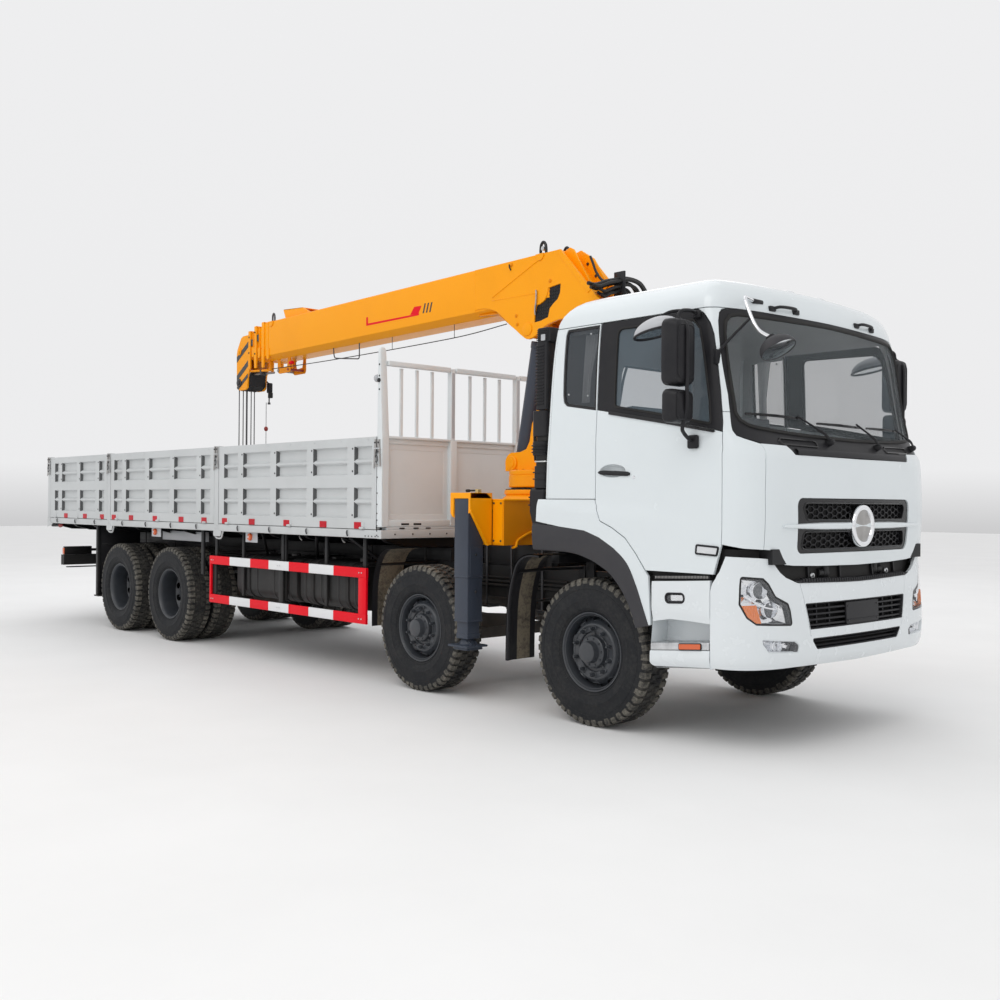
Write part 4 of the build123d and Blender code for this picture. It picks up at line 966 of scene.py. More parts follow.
cab_r, door_r = Build(), Build()
cab_panels(cab_r, door_r)
cab_r.out("cab_side_right", "cab", angle=38, replaces="cab_shell", slot=None)
cab_r.mirrored().out("cab_side_left", "cab", angle=38)
door_r.out("door_skin_right", "door_right", angle=38, replaces="door_right")
door_r.mirrored().out("door_skin_left", "door_left", angle=38, replaces="door_left")


# front: nose panel, windscreen surround, glass, cowl
def nose():
    b = Build()
    lower = [(1.9005, 1.3335), (1.992, 1.327), (2.036, 1.291), (2.108, 1.231), (2.20, 1.223), (2.472, 1.214), (SC, 1.208)]
    upper = [(SC, 1.944), (2.203, 1.950), (2.152, 2.010), (1.934, 2.017), (1.919, 1.90), (1.9015, 1.705)]
    out = [(SC, 1.208)] + [(2 * SC - s, z) for s, z in reversed(lower[:-1])] + [(2 * SC - s, z) for s, z in reversed(upper[1:])] + [(SC, 1.944)] + upper[1:] + lower[:-1]
    g = round_poly([(2.222, 1.300), (2 * SC - 2.222, 1.300), (2 * SC - 2.206, 1.668), (2.206, 1.668)], 0.055, 6)
    panel(b, out, [g], CABF, "white", step=0.045, depth=0.022)
    b.out("cab_nose", "cab", angle=38)
    # grille: black frame with two honeycomb openings
    k = Build()
    fr = inset_poly(dense(g, 0.03), 0.003)
    o1 = round_poly([(2.325, 1.527), (2 * SC - 2.325, 1.527), (2 * SC - 2.275, 1.632), (2.275, 1.632)], 0.03, 4)
    o2 = round_poly([(2.275, 1.332), (2 * SC - 2.275, 1.332), (2 * SC - 2.300, 1.440), (2.300, 1.440)], 0.03, 4)
    panel(k, fr, [o1, o2], off(CABF, 0.010), "gloss_black", step=0.04, depth=0.040)
    for o in (o1, o2):
        ring_strip(k, CABF, o, [(-0.012, 0.009), (-0.004, 0.002), (0.0, 0.004), (0.0, 0.045)], "gloss_black")
        honey(k, CABF, o, 0.074, 0.0036, 0.026, 0.014, "trim", flat=True)
        panel(k, inset_poly(dense(o, 0.05), -0.006), [], off(CABF, 0.075), "seal", step=0.12, depth=0.0)
    # tapered bar across
    rows = []
    for s in np.linspace(2.055, 2 * SC - 2.055, 44):
        e = min(s - 2.055, 2 * SC - 2.055 - s)
        hw = 0.008 + 0.016 * min(1.0, (e / 0.45)) ** 0.7
        rows.append([pts3(CABF, [(s, 1.482 + dz * hw)], w)[0] for dz, w in ((-1.0, 0.012), (-1.0, -0.004), (-0.75, -0.014), (0.0, -0.019), (0.75, -0.014), (1.0, -0.004), (1.0, 0.012))])
    k.strip(rows, "white")
    for r0 in (rows[0], rows[-1]):
        k.add(r0, [tuple(range(7))], "white", False)
    # plain round boss where the bar crosses the middle
    c = pts3(CABF, [(SC, 1.480)], 0.0)[0]
    olathe(k, [(0.148, -0.02), (0.148, 0.014), (0.144, 0.024), (0.134, 0.030), (0.122, 0.030), (0.113, 0.024), (0.109, 0.014)], c, (1, 0, 0), "chrome", 56)
    olathe(k, [(0.110, 0.0135), (0.104, 0.0145), (0.090, 0.0145), (0.045, 0.0175), (0.0, 0.0185)], c, (1, 0, 0), "steel", 56)
    k.out("grille", "cab", angle=34, replaces="grille_panel")
    # windscreen surround and glass
    m = Build()
    low = [(SC, 1.948), (2.207, 1.954), (2.156, 2.014)]
    right = low[1:] + SCREEN_BLACK
    out = [(SC, 1.948)] + right + [(2 * SC - s, z) for s, z in reversed(right[:-1])]
    gr = SCREEN_BOTTOM[1:] + SCREEN_GLASS
    gl = [SCREEN_BOTTOM[0]] + gr + [(2 * SC - s, z) for s, z in reversed(gr[:-1])]
    panel(m, out, [gl], off(CABF, 0.005), "trim", step=0.045, depth=0.020)
    ring_strip(m, CABF, gl, [(-0.012, 0.006), (-0.008, -0.006), (0.004, -0.008), (0.012, -0.002), (0.012, 0.010)], "seal", 0.04)
    # cowl: dark intakes and a ledge
    for s0, s1, z0, z1 in ((2.115, 2.50, 2.040, 2.032), (3.42, 3.80, 2.030, 2.036)):
        o = round_poly([(s0, z0 - 0.024), (s1, z1 - 0.024), (s1, z1 + 0.022), (s0, z0 + 0.022)], 0.02, 5)
        ring_strip(m, CABF, o, [(-0.004, 0.006), (0.0, -0.004), (0.006, -0.005), (0.010, 0.012)], "gloss_black", 0.02)
        panel(m, inset_poly(dense(o, 0.02), 0.009), [], off(CABF, 0.012), "seal", step=0.03, depth=0.0)
        for q in np.arange(s0 + 0.02, s1 - 0.01, 0.016):
            zc = z0 + (z1 - z0) * (q - s0) / (s1 - s0)
            m.strip([pts3(CABF, [(q - 0.002, zc - 0.02), (q + 0.002, zc - 0.02)], 0.004), pts3(CABF, [(q - 0.002, zc + 0.018), (q + 0.002, zc + 0.018)], 0.004)], "trim")
    rows = []
    for s in np.linspace(2.23, 2 * SC - 2.23, 40):
        rows.append([pts3(CABF, [(s, z)], w)[0] for z, w in ((1.948, 0.008), (1.950, -0.004), (1.972, -0.010), (1.990, -0.006), (1.996, 0.006))])
    m.strip(rows, "trim")
    m.out("windscreen_surround", "cab", angle=38)
    w = Build()
    panel(w, inset_poly(dense(gl, 0.05), 0.008), [], off(CABF, 0.004), "glass", step=0.08, depth=0.0)
    w.out("windscreen_glass", "cab", replaces="cab_glass")


nose()


# ------------------------------------------------------------------ roof, rear wall, lining
def plan_ring(z, n_front=64):
    S = np.concatenate([np.linspace(0.045, SK[1], 12), np.linspace(SK[1], 2 * SC - SK[1], n_front)[1:-1], np.linspace(2 * SC - SK[1], 2 * SC - 0.045, 12)])
    P = plan_point(CAB_ROWS, S, np.full(len(S), z))
    xr = plan_point(CAB_ROWS, [0.0], [z])[0][0]
    yw = -P[0][1]
    rr = P[0][0] - xr
    back = [(xr + rr - rr * math.sin(t), yw - rr * (1 - math.cos(t))) for t in np.linspace(0, math.pi / 2, 7)[1:]]
    ys = np.linspace(yw - rr, -(yw - rr), 16)[1:-1]
    mid = [(xr, y) for y in ys]
    front = [(x, -y) for x, y in reversed(back)]
    return np.array([tuple(p) for p in P] + back + mid + front)


def roof():
    b = Build()
    ring = plan_ring(2.922)
    cx = 0.45
    hxf, hxr, hy = ring[:, 0].max() - cx, cx - ring[:, 0].min(), ring[:, 1].max()
    prof = [(2.916, 0.012, 0.012, 0.012), (2.918, 0.0, 0.0, 0.0), (2.945, .003, .003, .003), (2.97, .008, .010, .012), (3.01, .022, .024, .034), (3.05, .040, .050, .066),
            (3.085, .062, .085, .104), (3.115, .098, .132, .152), (3.14, .165, .195, .22), (3.165, .29, .30, .32), (3.19, .46, .46, .46), (3.210, .60, .70, .60), (3.222, .70, .95, .68)]
    rows = []
    for z, af, ay, ar in prof:
        q = []
        for x, y in ring:
            sx = (1 - af / hxf) if x > cx else (1 - ar / hxr)
            q.append((A + cx + (x - cx) * sx, y * (1 - ay / hy), z))
        rows.append(q)
    # a soft raised field on the roof, kept by the crown itself
    b.strip(rows, "white", closed_v=True)
    top = rows[-1]
    c = (A + cx, 0.0, 3.226)
    n = len(top)
    k = len(b.v)
    b.add(top + [c], [(i, (i + 1) % n, n) for i in range(n)], "white")
    b.out("cab_roof", "cab", angle=38)
    # marker lamps over the windscreen
    m = Build()
    for y in (-0.98, -0.60, -0.20, 0.20, 0.60, 0.98):
        x = A + 1.045 - 0.10 * (abs(y) / 0.98) ** 2
        z = 3.108 - 0.030 * (abs(y) / 0.98) ** 2
        vs = []
        rows = []
        for k, (r, h) in enumerate(((1.0, -0.012), (1.0, 0.010), (0.92, 0.014))):
            rows.append([(x + 0.062 * r * math.cos(t), y + 0.034 * r * math.sin(t), z + h + 0.010 - 0.16 * 0.062 * r * math.cos(t)) for t in np.linspace(0, 2 * math.pi, 25)[:-1]])
        m.strip(rows, "trim", closed_v=True)
        rows = []
        for ph in np.linspace(0, math.pi / 2, 7):
            r, h = math.cos(ph), math.sin(ph)
            rows.append([(x + 0.055 * r * math.cos(t) - 0.012 * h, y + 0.029 * r * math.sin(t), z + 0.022 + 0.034 * h - 0.16 * 0.055 * r * math.cos(t)) for t in np.linspace(0, 2 * math.pi, 25)[:-1]])
        m.strip(rows, "lampwhite", closed_v=True)
    m.out("roof_lamps", "cab", angle=40)


roof()


def rear_wall():
    b = Build()

    def f(P, w=0.0):
        P = np.asarray(P, float)
        xr = plan_point(CAB_ROWS, np.zeros(len(P)), P[:, 1])[:, 0] + A
        rib = np.zeros(len(P))
        for y0, y1, z0, z1 in ((-1.05, -0.62, 1.75, 2.25), (0.62, 1.05, 1.75, 2.25), (-0.5, 0.5, 1.75, 2.10), (-1.05, -0.62, 2.35, 2.82), (0.62, 1.05, 2.35, 2.82)):
            q = np.minimum(np.minimum(P[:, 0] - y0, y1 - P[:, 0]), np.minimum(P[:, 1] - z0, z1 - P[:, 1]))
            rib = np.maximum(rib, smoothstep(0.0, 0.03, q))
        return np.stack([xr + 0.012 * rib + w, P[:, 0], P[:, 1]], 1)
    out = [(-1.205, 1.36), (1.205, 1.36), (1.205, 1.95), (1.155, 2.912), (-1.155, 2.912), (-1.205, 1.95)]
    win = round_poly([(-0.47, 2.30), (0.47, 2.30), (0.46, 2.72), (-0.46, 2.72)], 0.06, 5)
    panel(b, out, [win], f, "white", step=0.05, depth=0.02, grid=0.035)
    ring_strip(b, f, win, [(-0.022, 0.0), (-0.018, -0.010), (0.0, -0.012), (0.010, 0.0), (0.010, 0.02)], "seal")
    panel(b, inset_poly(dense(win, 0.05), 0.006), [], off(f, 0.006), "glass", step=0.08, depth=0.0)
    # inner face of the wall, pale
    rows = [[(A + plan_point(CAB_ROWS, [0.0], [z])[0][0] + 0.045, y, z) for y in (-1.17, -0.50)] for z in (1.55, 2.28)]
    g = off(f, 0.045)
    out2 = [(-1.16, 1.52), (1.16, 1.52), (1.11, 2.93), (-1.11, 2.93)]
    panel(b, out2, [win], g, "headliner", step=0.08, depth=0.0)
    rowsw = [pts3(f, dense(win, 0.04), 0.004), pts3(f, dense(win, 0.04), 0.045)]
    b.strip(rowsw, "headliner", closed_v=True)
    b.out("cab_rear_wall", "cab", angle=38)
    # lining: side quarters, front corners, ceiling
    k = Build()
    g = off(CABF, 0.045)
    win2 = [(0.205, 2.333), (0.172, 2.362), (0.160, 2.42), (0.148, 2.66), (0.138, 2.86)] + SX([(0.108, 2.87), (0.108, 2.297)])
    o = SX([(0.118, 1.50), (0.118, 2.93)]) + [(0.05, 2.93), (0.05, 1.50)]
    panel(k, o, [win2], g, "headliner", step=0.06, depth=0.0)
    right = [(1.76, 1.36), (1.76, 2.08), (1.79, 2.30), (1.76, 2.60), (1.80, 2.93), (1.55, 2.93), (1.64, 2.70), (1.69, 2.30), (1.66, 2.08), (1.64, 1.36)]
    panel(k, right, [], g, "headliner", step=0.06, depth=0.0)
    ring = plan_ring(2.90)
    cx = 0.45
    rows = []
    for z, sc in ((2.90, 0.955), (2.97, 0.945), (3.04, 0.90), (3.09, 0.78), (3.11, 0.5), (3.115, 0.1)):
        rows.append([(A + cx + (x - cx) * sc, y * sc, z) for x, y in ring])
    k.strip(rows, "headliner", closed_v=True)
    k.out("cab_lining_right", "cab")
    k2 = Build()
    panel(k2, o, [win2], g, "headliner", step=0.06, depth=0.0)
    panel(k2, right, [], g, "headliner", step=0.06, depth=0.0)
    k2.mirrored().out("cab_lining_left", "cab")
    # floor pan with the wheel houses and the engine hump, seen from below and through the glass
    p = Build()
    p.prism([(-0.385, 1.36), (-0.385, 1.30), (-0.30, 1.262), (0.60, 1.262), (0.64, 1.205), (1.12, 1.205), (1.17, 1.235), (1.44, 1.235), (1.44, 1.335), (-0.385, 1.335)][1:], "xz", -1.0, 1.0, "chassis")
    p.v = [(x + A, y, z) for x, y, z in p.v]
    p.rbox(A - 0.345, A + 0.96, -0.42, 0.42, 1.33, 1.50, "interior", 0.04, 3)
    for s in (-1, 1):
        p.rbox(A + 1.366, A + 1.434, s * 0.30, s * 0.36, 1.14, 1.24, "chassis", 0.012, 2)
        p.lathe([(0.018, -0.03), (0.034, -0.03), (0.034, 0.03), (0.018, 0.03)], (A + 1.40, s * 0.33, 1.16), "iron", 24, "y")
    # lower side sills joining the floor to the skin
    for s in (-1, 1):
        p.prism([(A + 0.62, 1.185), (A + 1.12, 1.185), (A + 1.17, 1.335), (A + 0.50, 1.335)], "xz", s * 1.0, s * 1.19, "chassis")
    p.out("cab_floor_pan", "cab", angle=30)
    # curtain in the quarter windows
    for name, s in SIDES:
        c = Build()
        rows = []
        for z in np.linspace(2.36, 2.86, 12):
            t = (z - 2.36) / 0.5
            row = []
            for i in range(25):
                u = i / 24
                spread = 0.10 + 0.05 * abs(t - 0.35)
                x = A - 0.155 + spread * u * (0.6 + 0.4 * t) + 0.05
                row.append((x, s * (1.135 + 0.012 * math.sin(u * 28) - 0.04 * t), z))
            rows.append(row)
        c.strip(rows, "stripe_white")
        c.out("curtain_" + name, "cab")


rear_wall()


# wipers, front mirror, grab handles
def fittings():
    w = Build()
    W = [((2.648, 2.045), (2.352, 2.212), (1.905, 2.208), (2.408, 2.200)),
         ((3.29, 2.035), (3.052, 2.190), (2.576, 2.176), (3.124, 2.172)),
         ((3.93, 2.055), (3.70, 2.185), (3.224, 2.176), (3.76, 2.180))]
    for piv, elbow, b0, b1 in W:
        P = pts3(CABF, [piv], -0.012)[0]
        olathe(w, [(0.0, 0.034), (0.014, 0.032), (0.022, 0.020), (0.026, -0.02)], P, (1, 0, 0.35), "trim", 16)
        mid = ((piv[0] + elbow[0]) / 2, (piv[1] + elbow[1]) / 2)
        a = [pts3(CABF, [piv], -0.030)[0], pts3(CABF, [((piv[0] * 3 + elbow[0]) / 4, (piv[1] * 3 + elbow[1]) / 4)], -0.048)[0], pts3(CABF, [mid], -0.046)[0], pts3(CABF, [elbow], -0.026)[0]]
        w.tube(smooth_path(a, 5), 0.007, "trim", 8, radii=None)
        a2 = [(p[0] + 0.001, p[1], p[2] - 0.012) for p in a[:3]]
        w.tube(smooth_path(a2, 5), 0.005, "trim", 6)
        n = 18
        bl = [(b0[0] + (b1[0] - b0[0]) * i / n, b0[1] + (b1[1] - b0[1]) * i / n) for i in range(n + 1)]
        rows = []
        for i, q in enumerate(bl):
            t = i / n
            hh = 0.008 + 0.010 * math.sin(math.pi * t)
            a3, b3 = pts3(CABF, [q], -0.005)[0], pts3(CABF, [q], -0.005 - hh)[0]
            rows.append([(a3[0], a3[1], a3[2] - 0.005), (b3[0], b3[1], b3[2] - 0.007), (b3[0], b3[1], b3[2] + 0.007), (a3[0], a3[1], a3[2] + 0.005)])
        w.strip(rows, "gloss_black", closed_v=True)
        w.add(rows[0], [(0, 1, 2, 3)], "gloss_black")
        w.add(rows[-1], [(3, 2, 1, 0)], "gloss_black")
        for t0, t1 in ((0.08, 0.45), (0.55, 0.92), (0.26, 0.74)):
            i0, i1 = int(t0 * n), int(t1 * n)
            lift = 0.022 if t0 != 0.26 else 0.034
            q = [pts3(CABF, [bl[i0]], -0.010)[0], pts3(CABF, [bl[(i0 + i1) // 2]], -lift)[0], pts3(CABF, [bl[i1]], -0.010)[0]]
            w.tube(smooth_path(q, 5), 0.0035, "trim", 6)
    w.out("wipers", "cab", angle=40)
    # grab handles above the windscreen
    g = Build()
    for a0, a1 in (((2.235, 2.949), (2.515, 2.953)), ((2 * SC - 2.515, 2.953), (2 * SC - 2.235, 2.949))):
        p0, p1 = pts3(off(lambda P, w=0: body_point(CAB_ROWS, np.array(P)[:, 0], np.minimum(np.array(P)[:, 1], 2.955), w), 0.0), [a0, a1], 0.0)
        p0, p1 = np.array(p0), np.array(p1)
        pts = []
        for t, o in ((0.0, 0.0), (0.08, 0.028), (0.2, 0.045), (0.5, 0.050), (0.8, 0.045), (0.92, 0.028), (1.0, 0.0)):
            q = p0 + (p1 - p0) * t
            pts.append((q[0] + o * 0.9, q[1], q[2] + o * 0.35))
        g.tube(smooth_path(pts, 5), 0.011, "trim", 10)
        for q in (p0, p1):
            g.rbox(q[0] - 0.012, q[0] + 0.022, q[1] - 0.034, q[1] + 0.034, q[2] - 0.016, q[2] + 0.020, "trim", 0.008, 2)
    g.out("grab_handles", "cab", angle=40)
    # round front view mirror with its arm and brace
    m = Build()
    c = Vector((A + 1.46, -1.0, 2.635))
    d = Vector((0.55, 0.10, -0.83)).normalized()      # direction the glass looks
    up = Vector((0, 1, 0))
    a = (up - d * up.dot(d)).normalized()
    bb = d.cross(a)

    def bowl(prof, ra, rb, mat):
        rows = []
        for k, h in prof:
            rows.append([tuple(c + a * (ra * k * math.cos(t)) + bb * (rb * k * math.sin(t)) + d * h) for t in np.linspace(0, 2 * math.pi, 41)[:-1]])
        m.strip(rows, mat, closed_v=True)
    bowl([(0.02, -0.062), (0.35, -0.059), (0.65, -0.046), (0.86, -0.024), (0.97, 0.0), (1.0, 0.022), (0.985, 0.030), (0.94, 0.026)], 0.150, 0.112, "flare")
    bowl([(0.94, 0.026), (0.5, 0.032), (0.02, 0.034)], 0.150, 0.112, "mirror")
    cap = tuple(c - d * 0.055)
    olathe(m, [(0.0, 0.030), (0.030, 0.028), (0.040, 0.0), (0.044, -0.03)], cap, tuple(-d), "trim", 18)
    arm = [(A + 1.16, -0.80, 2.985), (A + 1.20, -0.94, 2.985), (A + 1.23, -1.02, 2.975), (A + 1.27, -1.045, 2.90), (A + 1.33, -1.06, 2.79), (A + 1.37, -1.05, 2.735), (A + 1.42, -1.02, 2.70)]
    m.tube(smooth_path(arm, 5), 0.0125, "chrome", 12)
    m.rbox(A + 1.11, A + 1.19, -0.86, -0.74, 2.968, 3.000, "trim", 0.012, 2)
    m.tube([(A + 1.135, -1.195, 2.60), (A + 1.20, -1.15, 2.69), (A + 1.30, -1.06, 2.83)], 0.0095, "trim", 10)
    m.rbox(A + 1.115, A + 1.155, -1.215, -1.165, 2.53, 2.63, "trim", 0.012, 2)
    m.out("front_mirror", "cab", angle=40)


fittings()


# door mirrors
def door_mirror():
    b = Build()

    def head(x0, x1, y0, y1, z0, z1, r):
        # rounded shell, bulged to the front
        cx, cy, cz = (x0 + x1) / 2, (y0 + y1) / 2, (z0 + z1) / 2
        hy, hz = (y1 - y0) / 2, (z1 - z0) / 2

        def rect(k, e):
            pts = round_poly([(-hy * k, -hz * k2(k)), (hy * k, -hz * k2(k)), (hy * k, hz * k2(k)), (-hy * k, hz * k2(k))], r * e, 6)
            return pts

        def k2(k):
            return 1 - (1 - k) * hy / hz
        rows = []
        for k, e, x in ((0.86, 0.9, x0 + 0.010), (0.95, 1.0, x0), (1.0, 1.0, x0 + 0.012), (1.0, 1.0, x0 + 0.05), (0.96, 1.0, x1 - 0.030), (0.86, 0.95, x1 - 0.008), (0.66, 0.8, x1), (0.30, 0.5, x1 + 0.002)):
            rows.append([(x, cy + p, cz + q) for p, q in rect(k, e)])
        b.strip(rows, "trim", closed_v=True)
        b.add(rows[-1], [tuple(range(len(rows[-1])))], "trim")
        b.add(rows[0], [tuple(reversed(range(len(rows[0]))))], "mirror", False)
        # raised rim on the front face
        t = [(x1 - 0.002, cy + p * 0.72, cz + q * 0.80) for p, q in rect(1.0, 1.0)]
        b.tube(t, 0.006, "trim", 6, closed=True)
    head(A + 0.945, A + 1.065, -1.530, -1.310, 2.385, 2.815, 0.045)
    head(A + 0.950, A + 1.058, -1.525, -1.315, 2.145, 2.362, 0.040)
    # kerb mirror behind, pale shell
    c = (A + 0.80, -1.40, 2.765)
    rows = []
    for ph in np.linspace(-0.2, 1.45, 8):
        r, h = math.cos(ph), math.sin(ph)
        rows.append([(c[0] + 0.17 * r * math.cos(t), c[1] + 0.105 * r * math.sin(t), c[2] + 0.085 * h - 0.05 * r * math.cos(t) * -1 * 0.6) for t in np.linspace(0, 2 * math.pi, 33)[:-1]])
    b.strip(rows, "reel", closed_v=True)
    b.add(rows[-1], [tuple(range(32))], "reel")
    b.tube(rows[0], 0.009, "trim", 8, closed=True)
    b.add(rows[0], [tuple(reversed(range(32)))], "mirror")
    # bent tube: window frame, over and down past both heads, back to the belt
    t = [(A + 0.985, -1.205, 2.870), (A + 0.99, -1.25, 2.885), (A + 1.00, -1.315, 2.885), (A + 1.004, -1.40, 2.868), (A + 1.006, -1.425, 2.82), (A + 1.070, -1.425, 2.76), (A + 1.075, -1.425, 2.60),
         (A + 1.075, -1.425, 2.42), (A + 1.068, -1.42, 2.24), (A + 1.03, -1.41, 2.12), (A + 1.008, -1.37, 2.085), (A + 1.000, -1.30, 2.045), (A + 1.000, -1.262, 2.04)]
    b.tube(smooth_path(t, 5), 0.0125, "trim", 12)
    t = [(A + 0.99, -1.30, 2.887), (A + 0.90, -1.36, 2.885), (A + 0.83, -1.395, 2.855)]
    b.tube(smooth_path(t, 4), 0.010, "trim", 10)
    b.rbox(A + 0.958, A + 1.042, -1.275, -1.243, 1.985, 2.075, "trim", 0.014, 3)
    b.rbox(A + 0.955, A + 1.015, -1.225, -1.196, 2.845, 2.900, "trim", 0.010, 2)
    b.out("mirror_set_right", "door_right", angle=40, replaces="mirror_right")
    b.mirrored().out("mirror_set_left", "door_left", angle=40, replaces="mirror_left")


door_mirror()


# ------------------------------------------------------------------ bumper, lamps, steps
BUMPER_TOP = [(1.652, 1.288), (1.868, 1.279), (1.952, 1.273), (1.984, 1.262), (2.024, 1.219), (2.06, 1.181), (2.112, 1.148), (2.208, 1.116), (2.24, 1.108), (2.792, 1.096), (SC, 1.094)]
HEAD_OUT = [(1.744, 1.163), (1.908, 1.151), (1.952, 1.115), (2.004, 1.031), (2.116, 0.983), (2.136, 0.935), (2.152, 0.835), (1.84, 0.851), (1.776, 0.895), (1.728, 0.983), (1.736, 1.099)]
FOG_OUT = [(1.88, 0.763), (2.18, 0.735), (2.228, 0.705), (2.216, 0.655), (1.936, 0.668), (1.886, 0.725)]


def DEEP(P, w=0.0):
    """Bumper face, the same surface as BUMF."""
    P = np.asarray(P, float)
    return BUMF(P, w)


def bumper():
    b = Build()
    low = [(SC, 0.547), (2.46, 0.555), (2.20, 0.558), (1.62, 0.559), (1.444, 0.557), (1.421, 0.70), (1.421, 0.86), (1.419, 1.06), (1.474, 1.114), (1.548, 1.146), (1.604, 1.186), (1.632, 1.243)]
    out = mir(low + BUMPER_TOP)
    head = round_poly(HEAD_OUT, [0.02, 0.02, 0.02, 0.03, 0.02, 0.02, 0.02, 0.02, 0.03, 0.02, 0.02], 4)
    fog = round_poly(FOG_OUT, [0.012, 0.02, 0.02, 0.015, 0.02, 0.02], 4)
    gr = round_poly([(2.292, 0.972), (2.332, 0.798), (2 * SC - 2.332, 0.798), (2 * SC - 2.292, 0.972)], 0.012, 4)
    sl = round_poly([(2.356, 0.738), (2.420, 0.662), (2 * SC - 2.420, 0.662), (2 * SC - 2.356, 0.738)], [0.012, 0.03, 0.03, 0.012], 5)
    slit = [(2.2520, 1.1015), (2.2560, 1.1015), (2.3500, 0.752), (2.3465, 0.750)]
    holes = [head, flipS(head), fog, flipS(fog), gr, sl, slit, flipS(slit)]
    panel(b, out, holes, DEEP, "white_low", step=0.035, depth=0.022)
    # turned-in lower edge
    rows = []
    lowL = low[:5]
    edge = dense(lowL[::-1] + [(2 * SC - s, z) for s, z in lowL[1:]], 0.04, closed=False)
    for dz, w in ((0.0, 0.0015), (-0.003, 0.008), (-0.004, 0.030), (-0.002, 0.075)):
        rows.append([tuple(np.array(p) + np.array([0, 0, dz])) for p in DEEP(np.array(edge), w)])
    b.strip(rows, "white_low")
    b.out("bumper_skin", "chassis", angle=38, replaces="front_bumper")
    # openings
    k = Build()
    for o in (gr, sl):
        ring_strip(k, BUMF, o, [(-0.002, 0.004), (0.006, 0.003), (0.010, 0.010), (0.010, 0.080)], "trim")
        panel(k, inset_poly(dense(o, 0.04), -0.004), [], off(BUMF, 0.078), "seal", step=0.09, depth=0.0)
    for z, s0 in ((0.938, 2.312), (0.902, 2.318), (0.866, 2.326), (0.830, 2.334)):
        for a0, a1 in ((s0, 2.772), (3.222, 2 * SC - s0)):
            rows = []
            for s in np.linspace(a0, a1, 12):
                zc = z - 0.010 * (abs(s - SC) < 0.7)
                zc = z - 0.006
                rows.append([pts3(BUMF, [(s, zc + dz)], w)[0] for dz, w in ((-0.006, 0.055), (-0.008, 0.022), (-0.004, 0.014), (0.006, 0.016), (0.009, 0.022), (0.004, 0.055))])
            k.strip(rows, "trim")
    for s in (2.45, 2.60, 3.33, 3.48):
        k.strip([[pts3(BUMF, [(s + ds, z)], w)[0] for ds, w in ((-0.006, 0.05), (-0.006, 0.028), (0.006, 0.028), (0.006, 0.05))] for z in (0.80, 0.88, 0.968)], "trim", smooth=False)
    # blank plate in the middle
    pl = round_poly([(2.775, 0.806), (3.219, 0.806), (3.219, 0.958), (2.775, 0.958)], 0.010, 3)
    panel(k, pl, [], off(BUMF, 0.006), "trim", step=0.05, depth=0.012)
    for s, z in ((2.80, 0.93), (3.195, 0.93), (2.80, 0.83), (3.195, 0.83)):
        p = pts3(BUMF, [(s, z)], 0.006)[0]
        olathe(k, [(0.0, 0.004), (0.006, 0.0035), (0.008, 0.0)], p, (1, 0, 0), "gloss_black", 12)
    k.strip([[pts3(BUMF, [(s, z)], w)[0] for z, w in ((0.832, 0.006), (0.834, 0.002), (0.838, 0.002), (0.840, 0.006))] for s in np.linspace(2.79, 3.205, 10)], "trim")
    # lower slot blades
    for z, s0 in ((0.715, 2.385), (0.685, 2.410)):
        rows = []
        for s in np.linspace(s0, 2 * SC - s0, 26):
            rows.append([pts3(BUMF, [(s, z + dz)], w)[0] for dz, w in ((-0.005, 0.05), (-0.007, 0.020), (0.0, 0.012), (0.007, 0.020), (0.004, 0.05))])
        k.strip(rows, "trim")
    # tread along the top edge
    rows = []
    S = np.linspace(2.19, 2 * SC - 2.19, 60)
    for s in S:
        e = min(1.0, min(s - 2.19, 2 * SC - 2.19 - s) / 0.12)
        zt = np.interp(min(s, 2 * SC - s), [2.19, 2.24, 2.79, SC], [1.122, 1.108, 1.096, 1.094])
        hh = 0.006 + 0.026 * e
        rows.append([pts3(BUMF, [(s, zt + dz)], w)[0] for dz, w in ((-0.002, 0.012), (0.002, -0.004), (hh * 0.8, -0.004), (hh, 0.004), (hh, 0.020), (hh * 0.9, 0.060), (-0.02, 0.065))])
    k.strip(rows, "trim")
    for s in np.arange(2.28, 2 * SC - 2.27, 0.030):
        zt = np.interp(min(s, 2 * SC - s), [2.19, 2.24, 2.79, SC], [1.122, 1.108, 1.096, 1.094])
        q = [pts3(BUMF, [(s, zt + dz)], w)[0] for dz, w in ((0.006, -0.004), (0.006, -0.008), (0.027, -0.008), (0.034, 0.002), (0.035, 0.018), (0.032, 0.018))]
        q2 = [pts3(BUMF, [(s + 0.010, zt + dz)], w)[0] for dz, w in ((0.006, -0.004), (0.006, -0.008), (0.027, -0.008), (0.034, 0.002), (0.035, 0.018), (0.032, 0.018))]
        k.strip([q, q2], "trim", smooth=False)
        k.add(q, [tuple(range(6))], "trim", False)
        k.add(q2, [tuple(reversed(range(6)))], "trim", False)
    # dark sheet in the gap under the cab: painted shade filling the shadowed gap
    band = [(1.40, 0.98), (1.40, 1.335), (1.97, 1.335), (2.06, 1.30), (2.12, 1.26), (2.20, 1.235), (SC, 1.222)]
    band2 = [(SC, 1.06), (2.24, 1.06), (2.10, 1.09), (1.98, 1.15), (1.90, 1.16), (1.70, 1.16), (1.52, 0.98)]
    panel(k, mir(band2[::1] + [(1.40, 0.98), (1.40, 1.335), (1.97, 1.335), (2.06, 1.30), (2.12, 1.26), (2.20, 1.235), (SC, 1.222)]), [], off(BUMF, 0.062), "seal", step=0.05, depth=0.0)
    for s in (2.42, 2.80, 3.25, 3.60):
        k.strip([[pts3(BUMF, [(s + ds, z)], w)[0] for ds, w in ((-0.008, 0.06), (-0.008, 0.044), (0.008, 0.044), (0.008, 0.06))] for z in (1.10, 1.16, 1.215)], "trim", smooth=False)
